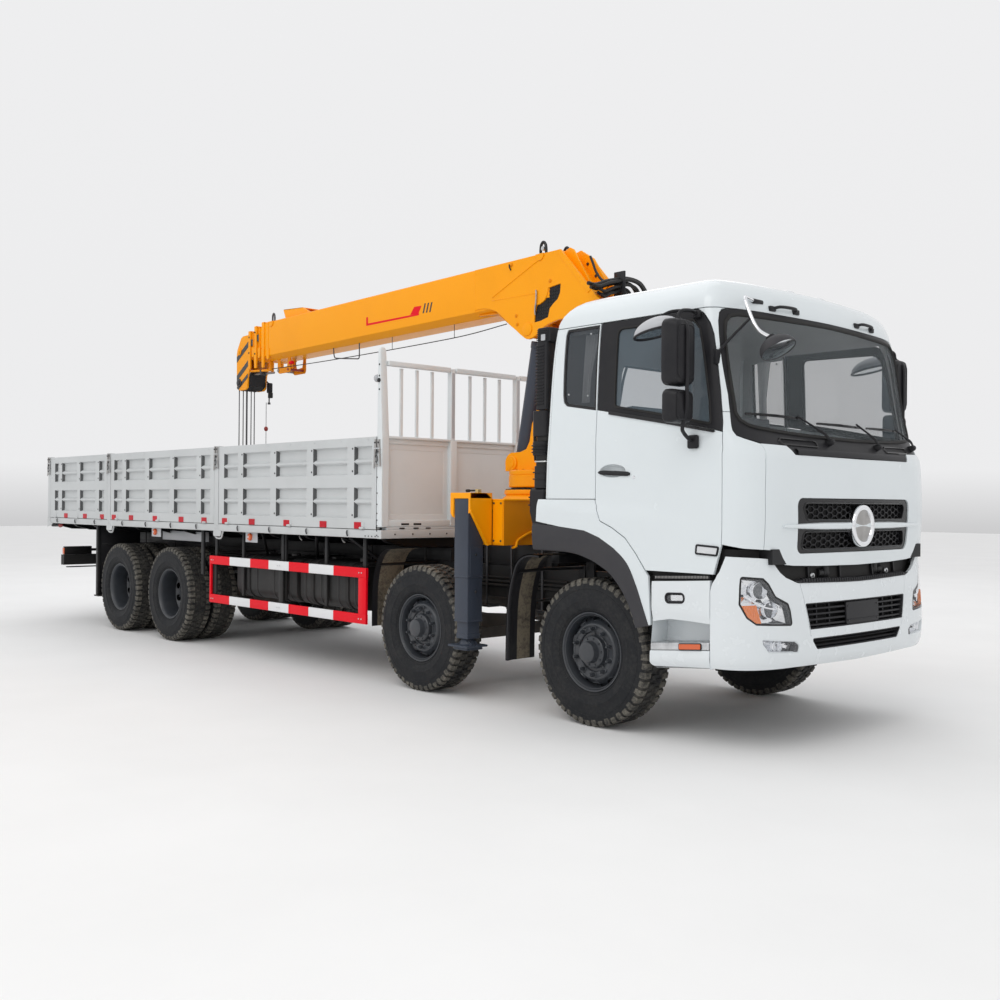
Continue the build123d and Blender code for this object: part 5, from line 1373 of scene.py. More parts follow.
    # tow hook eyes seen in the gap
    for s in (2.46, 2 * SC - 2.46):
        c = pts3(BUMF, [(s, 1.150)], 0.045)[0]
        k.lathe([(0.010, -0.006), (0.020, -0.006), (0.024, 0.0), (0.020, 0.006), (0.010, 0.006)], c, "alu", 20, "x", close=True)
    k.out("bumper_grilles", "chassis", angle=38)
    # headlamps and fog lamps
    r = Build()
    lamps(r, head, fog)
    r.out("lamps_right", "chassis", angle=30)
    r.mirrored().out("lamps_left", "chassis", angle=30)


def lamps(r, head, fog):
    hd = dense(head, 0.02)
    ring_strip(r, BUMF, head, [(-0.003, 0.004), (0.002, 0.001), (0.010, 0.002), (0.014, 0.010), (0.016, 0.060)], "gloss_black", 0.02)
    # heavier black field along the top and the inner side
    top = [(1.752, 1.157), (1.905, 1.146), (1.946, 1.110), (1.998, 1.024), (2.110, 0.977), (2.128, 0.933), (2.143, 0.842), (2.118, 0.842), (2.104, 0.930), (2.088, 0.960), (1.980, 1.008), (1.926, 1.096), (1.893, 1.130), (1.752, 1.140)]
    panel(r, top, [], off(BUMF, 0.005), "gloss_black", step=0.03, depth=0.03)
    # reflector made of flat facets
    fac = [((1.745, 1.150), .030), ((1.900, 1.140), .030), ((1.945, 1.105), .032), ((1.998, 1.020), .030), ((2.105, 0.975), .030), ((2.125, 0.930), .028), ((2.140, 0.845), .022),
           ((1.850, 0.858), .020), ((1.790, 0.895), .018), ((1.735, 0.985), .018), ((1.742, 1.090), .022),
           ((1.800, 1.100), .050), ((1.800, 1.040), .060), ((1.860, 1.000), .046), ((1.940, 0.990), .062), ((1.900, 0.930), .056), ((1.985, 0.925), .066), ((2.060, 0.940), .052), ((2.050, 0.875), .060), ((1.960, 0.865), .044), ((1.860, 1.090), .068)]
    pv = [Vector(p) for p, _ in fac]
    n = 11
    res = geometry.delaunay_2d_cdt(pv, [(i, (i + 1) % n) for i in range(n)], [], 0, 1e-7)
    V2 = np.array([tuple(v) for v in res[0]])
    D = {tuple(np.round(p, 4)): d for p, d in fac}
    W = [D.get(tuple(np.round(v, 4)), 0.04) for v in V2]
    V3 = [pts3(BUMF, [v], w)[0] for v, w in zip(V2, W)]
    P11 = np.array([p for p, _ in fac[:n]])
    F = [tuple(f) for f in res[2] if in_poly(np.array([V2[list(f)].mean(0)]), P11)[0]]
    for f in F:
        r.add([V3[i] for i in f], [(0, 1, 2)], "reflector", False)
    # main projector, looking forward and a little outward
    def eye(s, z, rad, w0, glass_r):
        P = Vector(pts3(BUMF, [(s, z)], w0)[0])
        d = Vector((0.92, -0.38, 0.0)).normalized()
        olathe(r, [(rad * 0.55, -0.030), (rad * 0.80, -0.012), (rad * 0.97, 0.010), (rad * 1.02, 0.016), (rad * 1.07, 0.014), (rad * 1.09, -0.02)], P, d, "chrome", 40)
        dome = [(glass_r * math.cos(t), -0.006 + glass_r * 0.55 * math.sin(t)) for t in np.linspace(0, math.pi / 2, 8)]
        olathe(r, [(glass_r * 1.15, -0.02)] + dome, P, d, "lens_clear", 32)
        olathe(r, [(glass_r * 1.16, -0.016), (0.0, -0.020)], P, d, "darksteel", 24)
    eye(1.886, 1.072, 0.052, 0.030, 0.036)
    eye(1.972, 0.948, 0.050, 0.036, 0.034)
    # fluted curved blade between the two chambers
    rows = []
    for t in np.linspace(0, 1, 14):
        s, z = 1.765 + 0.30 * t, 1.040 - 0.090 * t - 0.030 * math.sin(math.pi * t)
        rows.append([pts3(BUMF, [(s, z + dz)], w)[0] for dz, w in ((-0.010, 0.045), (-0.004, 0.018), (0.006, 0.022), (0.010, 0.045))])
    r.strip(rows, "chrome")
    # amber turn lamp
    am = round_poly([(1.735, 0.975), (1.846, 0.980), (1.882, 0.862), (1.842, 0.861), (1.790, 0.893), (1.742, 0.962)], 0.006, 3)
    panel(r, am, [], off(BUMF, 0.007), "amber", step=0.02, depth=0.022)
    for t in np.linspace(0.15, 0.85, 5):
        a = (1.742 + 0.10 * t, 0.972 - 0.10 * t * 0.2)
        z0 = 0.975 - 0.001
        s0 = 1.742 + 0.125 * t
        zb = 0.966 - 0.095 * t
        r.strip([[pts3(BUMF, [(s0 + ds, z)], w)[0] for ds, w in ((-0.003, 0.007), (0.0, 0.004), (0.003, 0.007))] for z in np.linspace(max(zb, 0.868), 0.972, 5)], "amber")
    # clear covers
    panel(r, inset_poly(dense(head, 0.03), 0.010), [], off(BUMF, 0.0035), "lens_clear", step=0.04, depth=0.0)
    # fog lamp
    ring_strip(r, BUMF, fog, [(-0.002, 0.003), (0.004, 0.001), (0.009, 0.010), (0.012, 0.055)], "white_low", 0.02)
    rows = []
    fd = inset_poly(dense(fog, 0.02), 0.010)
    ctr = np.array(fd).mean(0)
    for k, w in ((1.0, 0.020), (0.9, 0.040), (0.7, 0.052), (0.4, 0.058), (0.05, 0.060)):
        rows.append(pts3(BUMF, [tuple(ctr + (np.array(p) - ctr) * k) for p in fd], w))
    r.strip(rows, "reflector", closed_v=True, smooth=False)
    q = Vector(pts3(BUMF, [(2.030, 0.705)], 0.030)[0])
    olathe(r, [(0.022, -0.030), (0.032, -0.006), (0.036, 0.006), (0.039, 0.004), (0.039, -0.03)], q, (0.93, -0.37, 0), "chrome", 32)
    olathe(r, [(0.031, -0.004), (0.026, 0.004), (0.014, 0.009), (0.0, 0.011)], q, (0.93, -0.37, 0), "lens_clear", 24)
    dark = round_poly([(2.150, 0.738), (2.182, 0.733), (2.226, 0.703), (2.214, 0.658), (2.165, 0.660), (2.185, 0.700)], 0.006, 3)
    panel(r, dark, [], off(BUMF, 0.006), "gloss_black", step=0.02, depth=0.03)
    panel(r, inset_poly(dense(fog, 0.03), 0.006), [], off(BUMF, 0.0035), "lens_clear", step=0.05, depth=0.0)


bumper()


def SIDE(P, w=0.0):
    P = np.asarray(P, float)
    return np.stack([A + P[:, 0], -1.245 + w + 0 * P[:, 0], P[:, 1]], 1)


def steps():
    b = Build()

    def up(P, w=0.0):
        P = np.asarray(P, float)
        z = P[:, 1]
        cr = 0.012 * smoothstep(0.92, 0.84, z) + 0.004 * smoothstep(1.06, 1.12, z)
        return SIDE(P, w + cr)
    o = [(0.650, 0.826), (0.648, 0.95), (0.648, 1.098), (0.90, 1.113), (1.129, 1.128), (1.1305, 0.95), (1.1295, 0.844), (0.96, 0.851), (0.80, 0.852)]
    lamp = round_poly([(0.764, 1.028), (0.928, 1.036), (0.930, 0.966), (0.766, 0.955)], 0.032, 6)
    panel(b, o, [lamp], up, "white_low", step=0.03, depth=0.025)
    # flange behind the seam to the bumper and over the slot
    b.strip([[(A + 1.131, -1.238, z), (A + 1.131, -1.20, z)] for z in (0.55, 0.84, 1.10)], "white_low")
    # lower box: lip with rounded rear corner, sloping to the rear
    k = 0.093
    zr = lambda x, z: z - k * (1.125 - x)
    lip = round_poly([(0.636, zr(0.636, 0.566)), (0.636, zr(0.636, 0.674)), (1.129, 0.674), (1.129, 0.560)], [0.030, 0.004, 0.0, 0.0], 6)

    def lo(P, w=0.0):
        P = np.asarray(P, float)
        z = P[:, 1] + k * (1.125 - P[:, 0])
        cr = 0.020 * smoothstep(0.60, 0.562, z) + 0.010 * smoothstep(0.668, 0.676, z)
        return SIDE(P, w + cr)
    panel(b, lip, [], lo, "white_low", step=0.025, depth=0.03)
    # underside and rear end of the step box
    q = [(x, zr(x, 0.560)) for x in np.linspace(0.66, 1.129, 8)]
    b.strip([[(A + x, -1.215, z) for x, z in q], [(A + x, -1.19, z - 0.008) for x, z in q], [(A + x, -0.98, z - 0.008) for x, z in q]], "white_low")
    e = [(0.644, zr(0.644, 0.585)), (0.640, zr(0.64, 0.63)), (0.640, zr(0.64, 0.72)), (0.652, 0.80), (0.652, 0.84)]
    b.strip([[(A + x, -1.236, z) for x, z in e], [(A + x, -1.0, z) for x, z in e]], "white_low")
    # recess walls
    rw = [(0.652, 0.838), (0.80, 0.864), (0.96, 0.863), (1.128, 0.856)]
    b.strip([[(A + x, -1.225, z) for x, z in rw], [(A + x, -1.06, z + 0.02) for x, z in rw]], "white_low")
    b.strip([[(A + x, -1.065, z) for x in np.linspace(0.645, 1.130, 6)] for z in (0.62, 0.70, 0.79, 0.885)], "white_low")
    b.out("step_panel_right", "chassis", angle=38)
    b.mirrored().out("step_panel_left", "chassis", angle=38)
    t = Build()
    # tread: front strip and chequered top
    s0 = [(x, zr(x, 0.676)) for x in np.linspace(0.645, 1.127, 14)]
    rows = []
    for dz, y in ((0.0, -1.236), (0.004, -1.243), (0.040, -1.243), (0.048, -1.237), (0.050, -1.225), (0.050, -1.068)):
        rows.append([(A + x, y, z + dz) for x, z in s0])
    t.strip(rows, "alu")
    for i, x in enumerate(np.arange(0.668, 1.11, 0.030)):
        for j, y in enumerate(np.arange(-1.205, -1.09, 0.030)):
            a = 0.8 if (i + j) % 2 else -0.8
            c, s_ = math.cos(a), math.sin(a)
            z = zr(x, 0.676) + 0.050
            vs = []
            for u, v, h in ((-0.012, 0, 0), (0, -0.004, 0), (0.012, 0, 0), (0, 0.004, 0), (0, 0, 0.0035)):
                vs.append((A + x + u * c - v * s_, y + u * s_ + v * c, z + h - k * 0 + (u * c - v * s_) * k))
            t.add(vs, [(0, 1, 4), (1, 2, 4), (2, 3, 4), (3, 0, 4)], "alu", False)
    for x in np.arange(0.66, 1.12, 0.022):
        z = zr(x, 0.676)
        t.rbox(A + x - 0.004, A + x + 0.004, -1.2455, -1.240, z + 0.030, z + 0.046, "alu", 0.001, 1)
    # amber reflector on the tread
    am = round_poly([(0.888, zr(0.888, 0.682)), (1.062, zr(1.062, 0.682)), (1.062, zr(1.062, 0.716)), (0.888, zr(0.888, 0.716))], 0.006, 3)
    panel(t, inset_poly(am, -0.007), [], lambda P, w=0.0: SIDE(P, w - 0.003), "gloss_black", step=0.03, depth=0.006)
    panel(t, am, [], lambda P, w=0.0: SIDE(P, w - 0.007), "orange", step=0.015, depth=0.006)
    # slot with its ribbed strip
    so = [(0.650, 1.075), (1.129, 1.10), (1.129, 1.20), (0.60, 1.20)]
    panel(t, so, [], lambda P, w=0.0: SIDE(P, w + 0.045), "seal", step=0.08, depth=0.0)
    st = [(0.665, 1.112), (1.122, 1.136), (1.122, 1.160), (0.665, 1.138)]
    panel(t, st, [], lambda P, w=0.0: SIDE(P, w + 0.012), "trim", step=0.04, depth=0.02)
    for x in np.arange(0.675, 1.115, 0.012):
        z = 1.112 + (x - 0.665) * 0.0525
        t.rbox(A + x - 0.0025, A + x + 0.0025, -1.2365, -1.232, z + 0.005, z + 0.022, "steel", 0.001, 1)
    # oval side lamp
    lr = lambda P, w=0.0: SIDE(P, w)
    ring_strip(t, lr, lamp, [(-0.003, 0.006), (0.0, -0.004), (0.008, -0.007), (0.013, -0.002), (0.016, 0.010), (0.018, 0.028)], "trim", 0.02)
    panel(t, inset_poly(dense(lamp, 0.02), 0.014), [], off(lr, 0.022), "reflector", step=0.02, depth=0.0)
    panel(t, inset_poly(dense(lamp, 0.02), 0.014), [], lambda P, w=0.0: SIDE(P, w + 0.002), "lens_clear", step=0.03, depth=0.0)
    # brackets behind the step
    t.rbox(A + 0.70, A + 0.76, -1.06, -0.60, 0.86, 0.93, "chassis", 0.008, 2)
    t.rbox(A + 1.00, A + 1.06, -1.06, -0.60, 0.86, 0.93, "chassis", 0.008, 2)
    t.out("step_fittings_right", "chassis", angle=38)
    t.mirrored().out("step_fittings_left", "chassis", angle=38)


steps()


# ------------------------------------------------------------------ wheels and tyres
HUB_Z = 0.541


def polar(c, side, r, a, w):
    return (c[0] + r * math.cos(a), c[1] + side * w, c[2] + r * math.sin(a))


def tyre(b, c, side):
    prof = [(0.292, -0.110), (0.300, -0.1225), (0.318, -0.133), (0.345, -0.1405), (0.372, -0.1445), (0.376, -0.1470), (0.381, -0.1450), (0.430, -0.1462), (0.470, -0.1425),
            (0.492, -0.1372), (0.500, -0.1350)]
    tread = [(0.500, -0.1350), (0.516, -0.1290), (0.5265, -0.118), (0.528, -0.090), (0.5285, 0.0), (0.528, 0.090), (0.5265, 0.118), (0.516, 0.1290), (0.500, 0.1350)]
    b.lathe(prof, c, "tyre", 96, "y", side)
    b.lathe([(r, -w) for r, w in reversed(prof)], c, "tyre", 96, "y", side)
    b.lathe(tread, c, "tread", 96, "y", side)
    b.lathe([(0.292, 0.110), (0.288, 0.0), (0.292, -0.110)], c, "tyre", 48, "y", side)
    # moulded lines on the side wall
    for r, w in ((0.3125, 0.1313), (0.458, 0.1440)):
        for q in (1, -1):
            b.lathe([(r - 0.0035, q * (w - 0.001)), (r, q * (w + 0.0022)), (r + 0.0035, q * (w - 0.001))], c, "tyre", 72, "y", side)
    n = 50
    for e in (-1, 1):
        for i in range(n):
            a0 = 2 * math.pi * (i + (0.25 if e > 0 else 0.0)) / n
            half = math.pi / n * 0.68
            long = i % 2 == 0
            p = [(0.488 if long else 0.497, 0.1390 if long else 0.1362), (0.508, 0.1372), (0.522, 0.1345), (0.5345, 0.1265), (0.5395, 0.114), (0.5395, 0.072), (0.5270, 0.068)]
            rows = []
            for k, da in enumerate((-1.0, -0.86, 0.86, 1.0)):
                sink = 0.006 if k in (0, 3) else 0.0
                row = []
                for m, (r, w) in enumerate(p):
                    tw = 0.010 * (0.114 - w) / 0.05
                    row.append(polar(c, side, r - (sink if 2 < m < 6 else sink * 0.4), a0 + half * da + tw * 0.25, e * (w - sink * (0.5 if m < 3 else 0.0))))
                rows.append(row)
            b.strip(rows, "shoulder", smooth=False)
            b.add(rows[0], [tuple(range(7))], "tread", False)
            b.add(rows[-1], [tuple(reversed(range(7)))], "tread", False)
    # middle lugs, two staggered rows
    for e in (-1, 1):
        for i in range(n):
            a0 = 2 * math.pi * (i + (0.0 if e > 0 else 0.5)) / n
            half = math.pi / n * 0.66
            q0, q1 = 0.008, 0.060
            rows = []
            for u, da in ((0, -1), (1, -0.8), (1, 0.8), (0, 1)):
                rr = 0.5275 if u == 0 else 0.5400
                rows.append([polar(c, side, rr if 0 < m < 3 else 0.5275, a0 + half * da + 0.03 * (m in (1, 2)) * 0, e * w) for m, w in enumerate((q0, q0 + 0.004, q1 - 0.004, q1))])
            b.strip(rows, "tread", smooth=False)
    # valve-side balance mark
    b.lathe([(0.010, 0.1405), (0.013, 0.1415), (0.015, 0.1403)], (c[0] - 0.17, c[1], c[2] - 0.37), "tyre", 16, "y", side)


def cone_holes(b, c, side, r0, w0, r1, w1, n, mat, hole=(0.50, 0.50), depth=0.010):
    """Sloping web between two radii with oval hand holes."""
    L = math.hypot(r1 - r0, w1 - w0)
    nn = np.array([(w1 - w0), -(r1 - r0)]) / L
    rm = (r0 + r1) / 2
    for i in range(n):
        ac = 2 * math.pi * (i + 0.5) / n
        U = math.pi / n * rm

        def f(P, w=0.0, ac=ac):
            P = np.asarray(P, float)
            t = P[:, 1] / L
            r = r0 + (r1 - r0) * t + nn[0] * w
            ww = w0 + (w1 - w0) * t + nn[1] * w
            a = ac + P[:, 0] / rm
            return np.stack([c[0] + r * np.cos(a), c[1] + side * ww, c[2] + r * np.sin(a)], 1)
        o = [(-U, 0), (0, 0), (U, 0), (U, L), (0, L), (-U, L)]
        hl = ell(0.0, L * 0.46, U * hole[0], L * hole[1], 20)
        V2, F = panel(b, dense(o, 0.02), [], f, mat, step=0.02, depth=0.0) if hole[0] == 0 else panel_h(b, o, hl, f, mat, depth)


def panel_h(b, o, hl, f, mat, depth):
    rings = dense(o, 0.02)
    verts = [Vector(p) for p in rings] + [Vector(p) for p in hl]
    m, k = len(rings), len(hl)
    edges = [(i, (i + 1) % m) for i in range(m)] + [(m + i, m + (i + 1) % k) for i in range(k)]
    res = geometry.delaunay_2d_cdt(verts, edges, [], 0, 1e-7)
    V2 = np.array([tuple(v) for v in res[0]])
    F = [tuple(q) for q in res[2]]
    C = np.array([V2[list(q)].mean(0) for q in F])
    ok = in_poly(C, rings) & ~in_poly(C, hl)
    b.add(f(V2, 0.0), [q for q, g in zip(F, ok) if g], mat)
    rows = [pts3(f, hl, 0.0), pts3(f, hl, depth)]
    b.strip(rows, mat, closed_v=True)
    return V2, F


def nuts(b, c, side, r, w, n, mat, h=0.030, big=0.0165):
    for i in range(n):
        a = 2 * math.pi * (i + 0.5) / n
        p = polar(c, side, r, a, w)
        b.lathe([(0.024, -0.003), (0.024, 0.003), (0.021, 0.006), (0.010, 0.006)], p, mat, 16, "y", side)
        b.bolt((p[0], p[1] + side * 0.004, p[2]), "y", big, h, mat, side)
        b.lathe([(0.0105, h), (0.0105, h + 0.014), (0.007, h + 0.020), (0.0, h + 0.021)], (p[0], p[1], p[2]), mat, 12, "y", side)


def rim_band(b, c, side, w_front, w_back):
    """Flanges and well, one closed ring; w_front and w_back are the outer planes."""
    f, k = w_front, w_back
    b.lathe([(0.2895, f - 0.014), (0.2915, f - 0.006), (0.2885, f), (0.2810, f - 0.001), (0.2745, f - 0.009), (0.2720, f - 0.016), (0.2705, f - 0.011), (0.2665, f - 0.013),
             (0.2625, f - 0.024), (0.2580, f - 0.040), (0.2560, f - 0.075), (0.2560, k + 0.035), (0.2620, k + 0.018), (0.2700, k + 0.004), (0.2810, k), (0.2885, k), (0.2900, k + 0.010), (0.2790, k + 0.014), (0.2780, f - 0.018)],
            c, "rim", 80, "y", side, close=True)


def front_wheel(b, c, side):
    rim_band(b, c, side, 0.117, -0.117)
    cone_holes(b, c, side, 0.2545, 0.022, 0.2130, 0.078, 10, "rim", hole=(0.48, 0.34), depth=0.010)
    b.lathe([(0.2130, 0.078), (0.2080, 0.086), (0.2010, 0.0915), (0.1940, 0.0935), (0.1880, 0.0915), (0.1840, 0.086), (0.1800, 0.0845), (0.1530, 0.0845), (0.1490, 0.0835), (0.1450, 0.079), (0.1420, 0.072),
             (0.1240, 0.070), (0.1200, 0.074), (0.1180, 0.090), (0.1150, 0.1080), (0.1080, 0.1150), (0.0900, 0.1180), (0.0825, 0.1200), (0.0800, 0.1260), (0.0765, 0.1600), (0.0735, 0.1680), (0.0660, 0.1730), (0.030, 0.1750), (0.0, 0.1752)],
            c, "rim", 72, "y", side)
    nuts(b, c, side, 0.1675, 0.0845, 10, "rim")
    for i in range(10):
        a = 2 * math.pi * i / 10 + 0.1
        p = polar(c, side, 0.0985, a, 0.1165)
        b.bolt(p, "y", 0.008, 0.007, "rim", side)
    # fine webs between hub and nut ring
    for i in range(5):
        a = 2 * math.pi * i / 5 + 0.35
        d = 0.05
        rows = [[polar(c, side, 0.118, a - d, 0.082), polar(c, side, 0.118, a, 0.087), polar(c, side, 0.118, a + d, 0.082)], [polar(c, side, 0.143, a - d, 0.073), polar(c, side, 0.143, a, 0.080), polar(c, side, 0.143, a + d, 0.073)]]
        b.strip(rows, "rim", smooth=False)
    # back of the disc, brake drum
    b.lathe([(0.2545, 0.010), (0.2130, 0.060), (0.205, 0.064), (0.14, 0.064)], c, "rim", 64, "y", side)
    b.lathe([(0.140, 0.050), (0.204, 0.050), (0.2075, 0.040), (0.2075, -0.130), (0.200, -0.1495), (0.060, -0.1495)], c, "iron", 64, "y", side)
    for w in (-0.10, -0.07, -0.04, -0.01, 0.02):
        b.lathe([(0.2070, w - 0.004), (0.2115, w), (0.2070, w + 0.004)], c, "iron", 48, "y", side)


def rear_wheel(b, c, side):
    for s2 in (1, -1):
        f = 0.2800 * s2
        cc = c
        rim_band(b, cc, side * s2, 0.2800, 0.0465)
        sd = side * s2
        if s2 > 0:
            cone_holes(b, cc, sd, 0.2550, 0.078, 0.2080, 0.030, 10, "rim", hole=(0.52, 0.34), depth=0.010)
            b.lathe([(0.2080, 0.030), (0.2020, 0.0255), (0.1960, 0.0245), (0.1500, 0.0245), (0.1400, 0.0240)], cc, "rim", 64, "y", sd)
        else:
            b.lathe([(0.2560, 0.085), (0.2080, 0.030), (0.1960, 0.0245), (0.1400, 0.0240)], cc, "rim", 64, "y", sd)
    nuts(b, c, side, 0.1675, 0.0245, 10, "rim", h=0.034, big=0.0175)
    b.lathe([(0.1400, 0.0240), (0.1380, 0.0400), (0.1330, 0.0620), (0.1240, 0.0760), (0.1200, 0.0800), (0.1180, 0.0920), (0.1120, 0.0960), (0.1060, 0.0965), (0.0720, 0.0985), (0.0680, 0.1100),
             (0.0640, 0.1240), (0.0560, 0.1300), (0.0200, 0.1320), (0.0, 0.1320)], c, "rim", 64, "y", side)
    for i in range(8):
        a = 2 * math.pi * (i + 0.3) / 8
        b.bolt(polar(c, side, 0.0940, a, 0.0965), "y", 0.0095, 0.012, "rim", side)
    b.lathe([(0.140, -0.060), (0.2035, -0.060), (0.2060, -0.070), (0.2060, -0.2850), (0.198, -0.2915), (0.065, -0.2915)], c, "iron", 56, "y", side)


AX = [A, A - 2.0, A - 6.55, A - 7.9]
for name, s in SIDES:
    for i, x in enumerate(AX[:2], 1):
        b = Build()
        tyre(b, (x, s * 1.020, HUB_Z), s)
        b.out("tyre_tread_%d_%s" % (i, name), "wheel_%d_%s" % (i, name), angle=32, replaces="tyre_%d_%s" % (i, name))
        b = Build()
        front_wheel(b, (x, s * 1.020, HUB_Z), s)
        b.out("rim_%d_%s" % (i, name), "wheel_%d_%s" % (i, name), angle=34, replaces="wheel_%d_%s" % (i, name))
    for i, x in enumerate(AX[2:], 3):
        b = Build()
        for d in (-1, 1):
            tyre(b, (x, s * (0.9265 + d * 0.1625), HUB_Z), s)
        b.out("tyre_tread_%d_%s" % (i, name), "wheel_%d_%s" % (i, name), angle=32, replaces="tyre_%d_%s" % (i, name))
        b = Build()
        rear_wheel(b, (x, s * 0.9265, HUB_Z), s)
        b.out("rim_%d_%s" % (i, name), "wheel_%d_%s" % (i, name), angle=34, replaces="wheel_%d_%s" % (i, name))


# ------------------------------------------------------------------ crane
PX, PZ = A - 0.870, 3.200
TH = math.radians(-0.9)
LEGX = A - 1.330
SLX = A - 1.550


def BP(p):
    x, y, z = p
    return (PX + x * math.cos(TH) + z * math.sin(TH), y, PZ - x * math.sin(TH) + z * math.cos(TH))


def place(b, f=BP):
    b.v = [f(p) for p in b.v]
    return b


def plane_xz(y, sign=-1.0):
    """Maps (x, z) to a face at y, inward being towards the middle for sign -1 on the right side."""
    def f(P, w=0.0):
        P = np.asarray(P, float)
        return np.stack([P[:, 0], y - sign * w + 0 * P[:, 0], P[:, 1]], 1)
    return f


def plate(b, outline, y0, y1, mat, holes=(), edge=0.002, step=0.12, plane="xz"):
    """Flat plate with softly broken edges and round or shaped holes."""
    lo, hi = min(y0, y1), max(y0, y1)
    rings = [dense(outline, step)] + [dense(h, step) for h in holes]
    inner = [inset_poly(rings[0], edge)] + [inset_poly(h, -edge) for h in rings[1:]]
    verts = [Vector(p) for r in inner for p in r]
    edges = []
    o = 0
    for r in inner:
        m = len(r)
        edges += [(o + i, o + (i + 1) % m) for i in range(m)]
        o += m
    res = geometry.delaunay_2d_cdt(verts, edges, [], 0, 1e-7)
    V2 = np.array([tuple(v) for v in res[0]])
    F = [tuple(q) for q in res[2]]
    C = np.array([V2[list(q)].mean(0) for q in F])
    ok = in_poly(C, inner[0])
    for h in inner[1:]:
        ok &= ~in_poly(C, h)
    F = [q for q, g in zip(F, ok) if g]

    def p3(p, w):
        return {"xz": (p[0], w, p[1]), "xy": (p[0], p[1], w), "yz": (w, p[0], p[1])}[plane]
    b.add([p3(p, lo) for p in V2], F, mat)
    b.add([p3(p, hi) for p in V2], [tuple(reversed(q)) for q in F], mat)
    for r, i in zip(rings, inner):
        b.strip([[p3(p, lo) for p in i], [p3(p, lo + edge) for p in r], [p3(p, hi - edge) for p in r], [p3(p, hi) for p in i]], mat, closed_v=True)


def circ(cx, cz, r, n=24):
    return [(cx + r * math.cos(2 * math.pi * i / n), cz + r * math.sin(2 * math.pi * i / n)) for i in range(n)]


def hexo(hw, zt, zb, bev=0.6, rise=0.055):
    return [(-hw, zt), (hw, zt), (hw, zb + rise), (hw * bev, zb), (-hw * bev, zb), (-hw, zb + rise)]


def tube_yz(b, sec, x0, x1, t, mat, rad=0.010, nseg=1):
    """Open box section along x with rounded corners."""
    so = round_poly(sec, rad, 4)
    si = inset_poly(so, t)
    lo, hi = min(x0, x1), max(x0, x1)
    xs = [lo + 0.002] + list(np.linspace(lo, hi, nseg + 1)[1:-1]) + [hi - 0.002]
    e = inset_poly(so, 0.002)
    rows = [[(lo, y, z) for y, z in e]] + [[(x, y, z) for y, z in so] for x in xs] + [[(hi, y, z) for y, z in e]]
    rows += [[(hi, y, z) for y, z in si], [(lo, y, z) for y, z in si]]
    b.strip(rows, mat, closed_u=True, closed_v=True)


def collar(b, hw, zt, zb, x0, x1, mat, grow=0.010, tab=0.11):
    so = round_poly(hexo(hw + grow, zt + grow, zb - grow * 0.4), 0.006, 3)
    si = hexo(hw - 0.004, zt - 0.004, zb + 0.004)
    rows = []
    k = len(so)
    lo, hi = x0, x1
    e = inset_poly(so, 0.003)
    ii = inset_poly(so, 0.022)
    rows = [[(lo, y, z) for y, z in ii], [(lo, y, z) for y, z in e], [(lo + 0.003, y, z) for y, z in so], [(hi - 0.003, y, z) for y, z in so], [(hi, y, z) for y, z in e], [(hi, y, z) for y, z in ii]]
    b.strip(rows, mat, closed_v=True)
    # tabs reaching down beside the lower slope
    for s in (-1, 1):
        y0, y1 = s * (hw + grow - 0.016), s * (hw + grow + 0.004)
        xm = (lo + hi) / 2
        plate(b, [(xm - 0.030, zb + 0.14), (xm - 0.022, tab + 0.01), (xm - 0.014, tab), (xm + 0.014, tab), (xm + 0.022, tab + 0.01), (xm + 0.030, zb + 0.14)], y0, y1, mat)


def stroke(b, a, c, y, w, h, mat, sign):
    """Raised rib on a face at y between two (x, z) points."""
    a, c = np.array(a), np.array(c)
    d = (c - a) / np.linalg.norm(c - a)
    n = np.array([-d[1], d[0]])
    rows = []
    for t, k in ((0.0, 0.0), (0.012, 1.0), (1 - 0.012, 1.0), (1.0, 0.0)):
        p = a + (c - a) * t
        rows.append([(p[0] + n[0] * u * w, y + sign * (h * q * k - 0.001), p[1] + n[1] * u * w) for u, q in ((-0.5, 0.0), (-0.32, 0.9), (0.0, 1.0), (0.32, 0.9), (0.5, 0.0))])
    b.strip(rows, mat)


KNEE = [(-1.500, 0.262), (-1.356, 0.258), (-1.213, 0.212), (-1.110, 0.140), (-1.020, 0.060), (-0.951, 0.010), (-0.862, -0.058), (-0.787, -0.096), (-0.690, -0.075), (-0.583, -0.010), (-0.400, 0.030), (-0.230, 0.020), (-0.150, -0.060)]


def knee_outline():
    heel = [(0.150 * math.cos(math.radians(a)), 0.150 * math.sin(math.radians(a))) for a in np.linspace(205, 400, 14)]
    head = smooth_path(KNEE[:12], 4)
    return head + [KNEE[12]] + heel + [(-0.015, 0.235), (-0.381, 0.643), (-1.500, 0.643)]


PATCH = [(-0.524, 0.327), (-0.377, 0.342), (-0.384, 0.265), (-0.412, 0.214), (-0.470, 0.178), (-0.511, 0.145), (-0.533, 0.069), (-0.62, 0.050), (-0.705, 0.043), (-0.700, 0.117), (-0.676, 0.191), (-0.62, 0.204), (-0.575, 0.225), (-0.545, 0.267)]


def arch_lug(b, x, z, y, w, h, r, mat):
    pts = [(x - w, y, z - 0.02), (x - w, y, z + h * 0.45), (x - w * 0.72, y, z + h * 0.82), (x, y, z + h), (x + w * 0.72, y, z + h * 0.82), (x + w, y, z + h * 0.45), (x + w, y, z - 0.02)]
    b.tube(smooth_path(pts, 4), r, mat, 10)


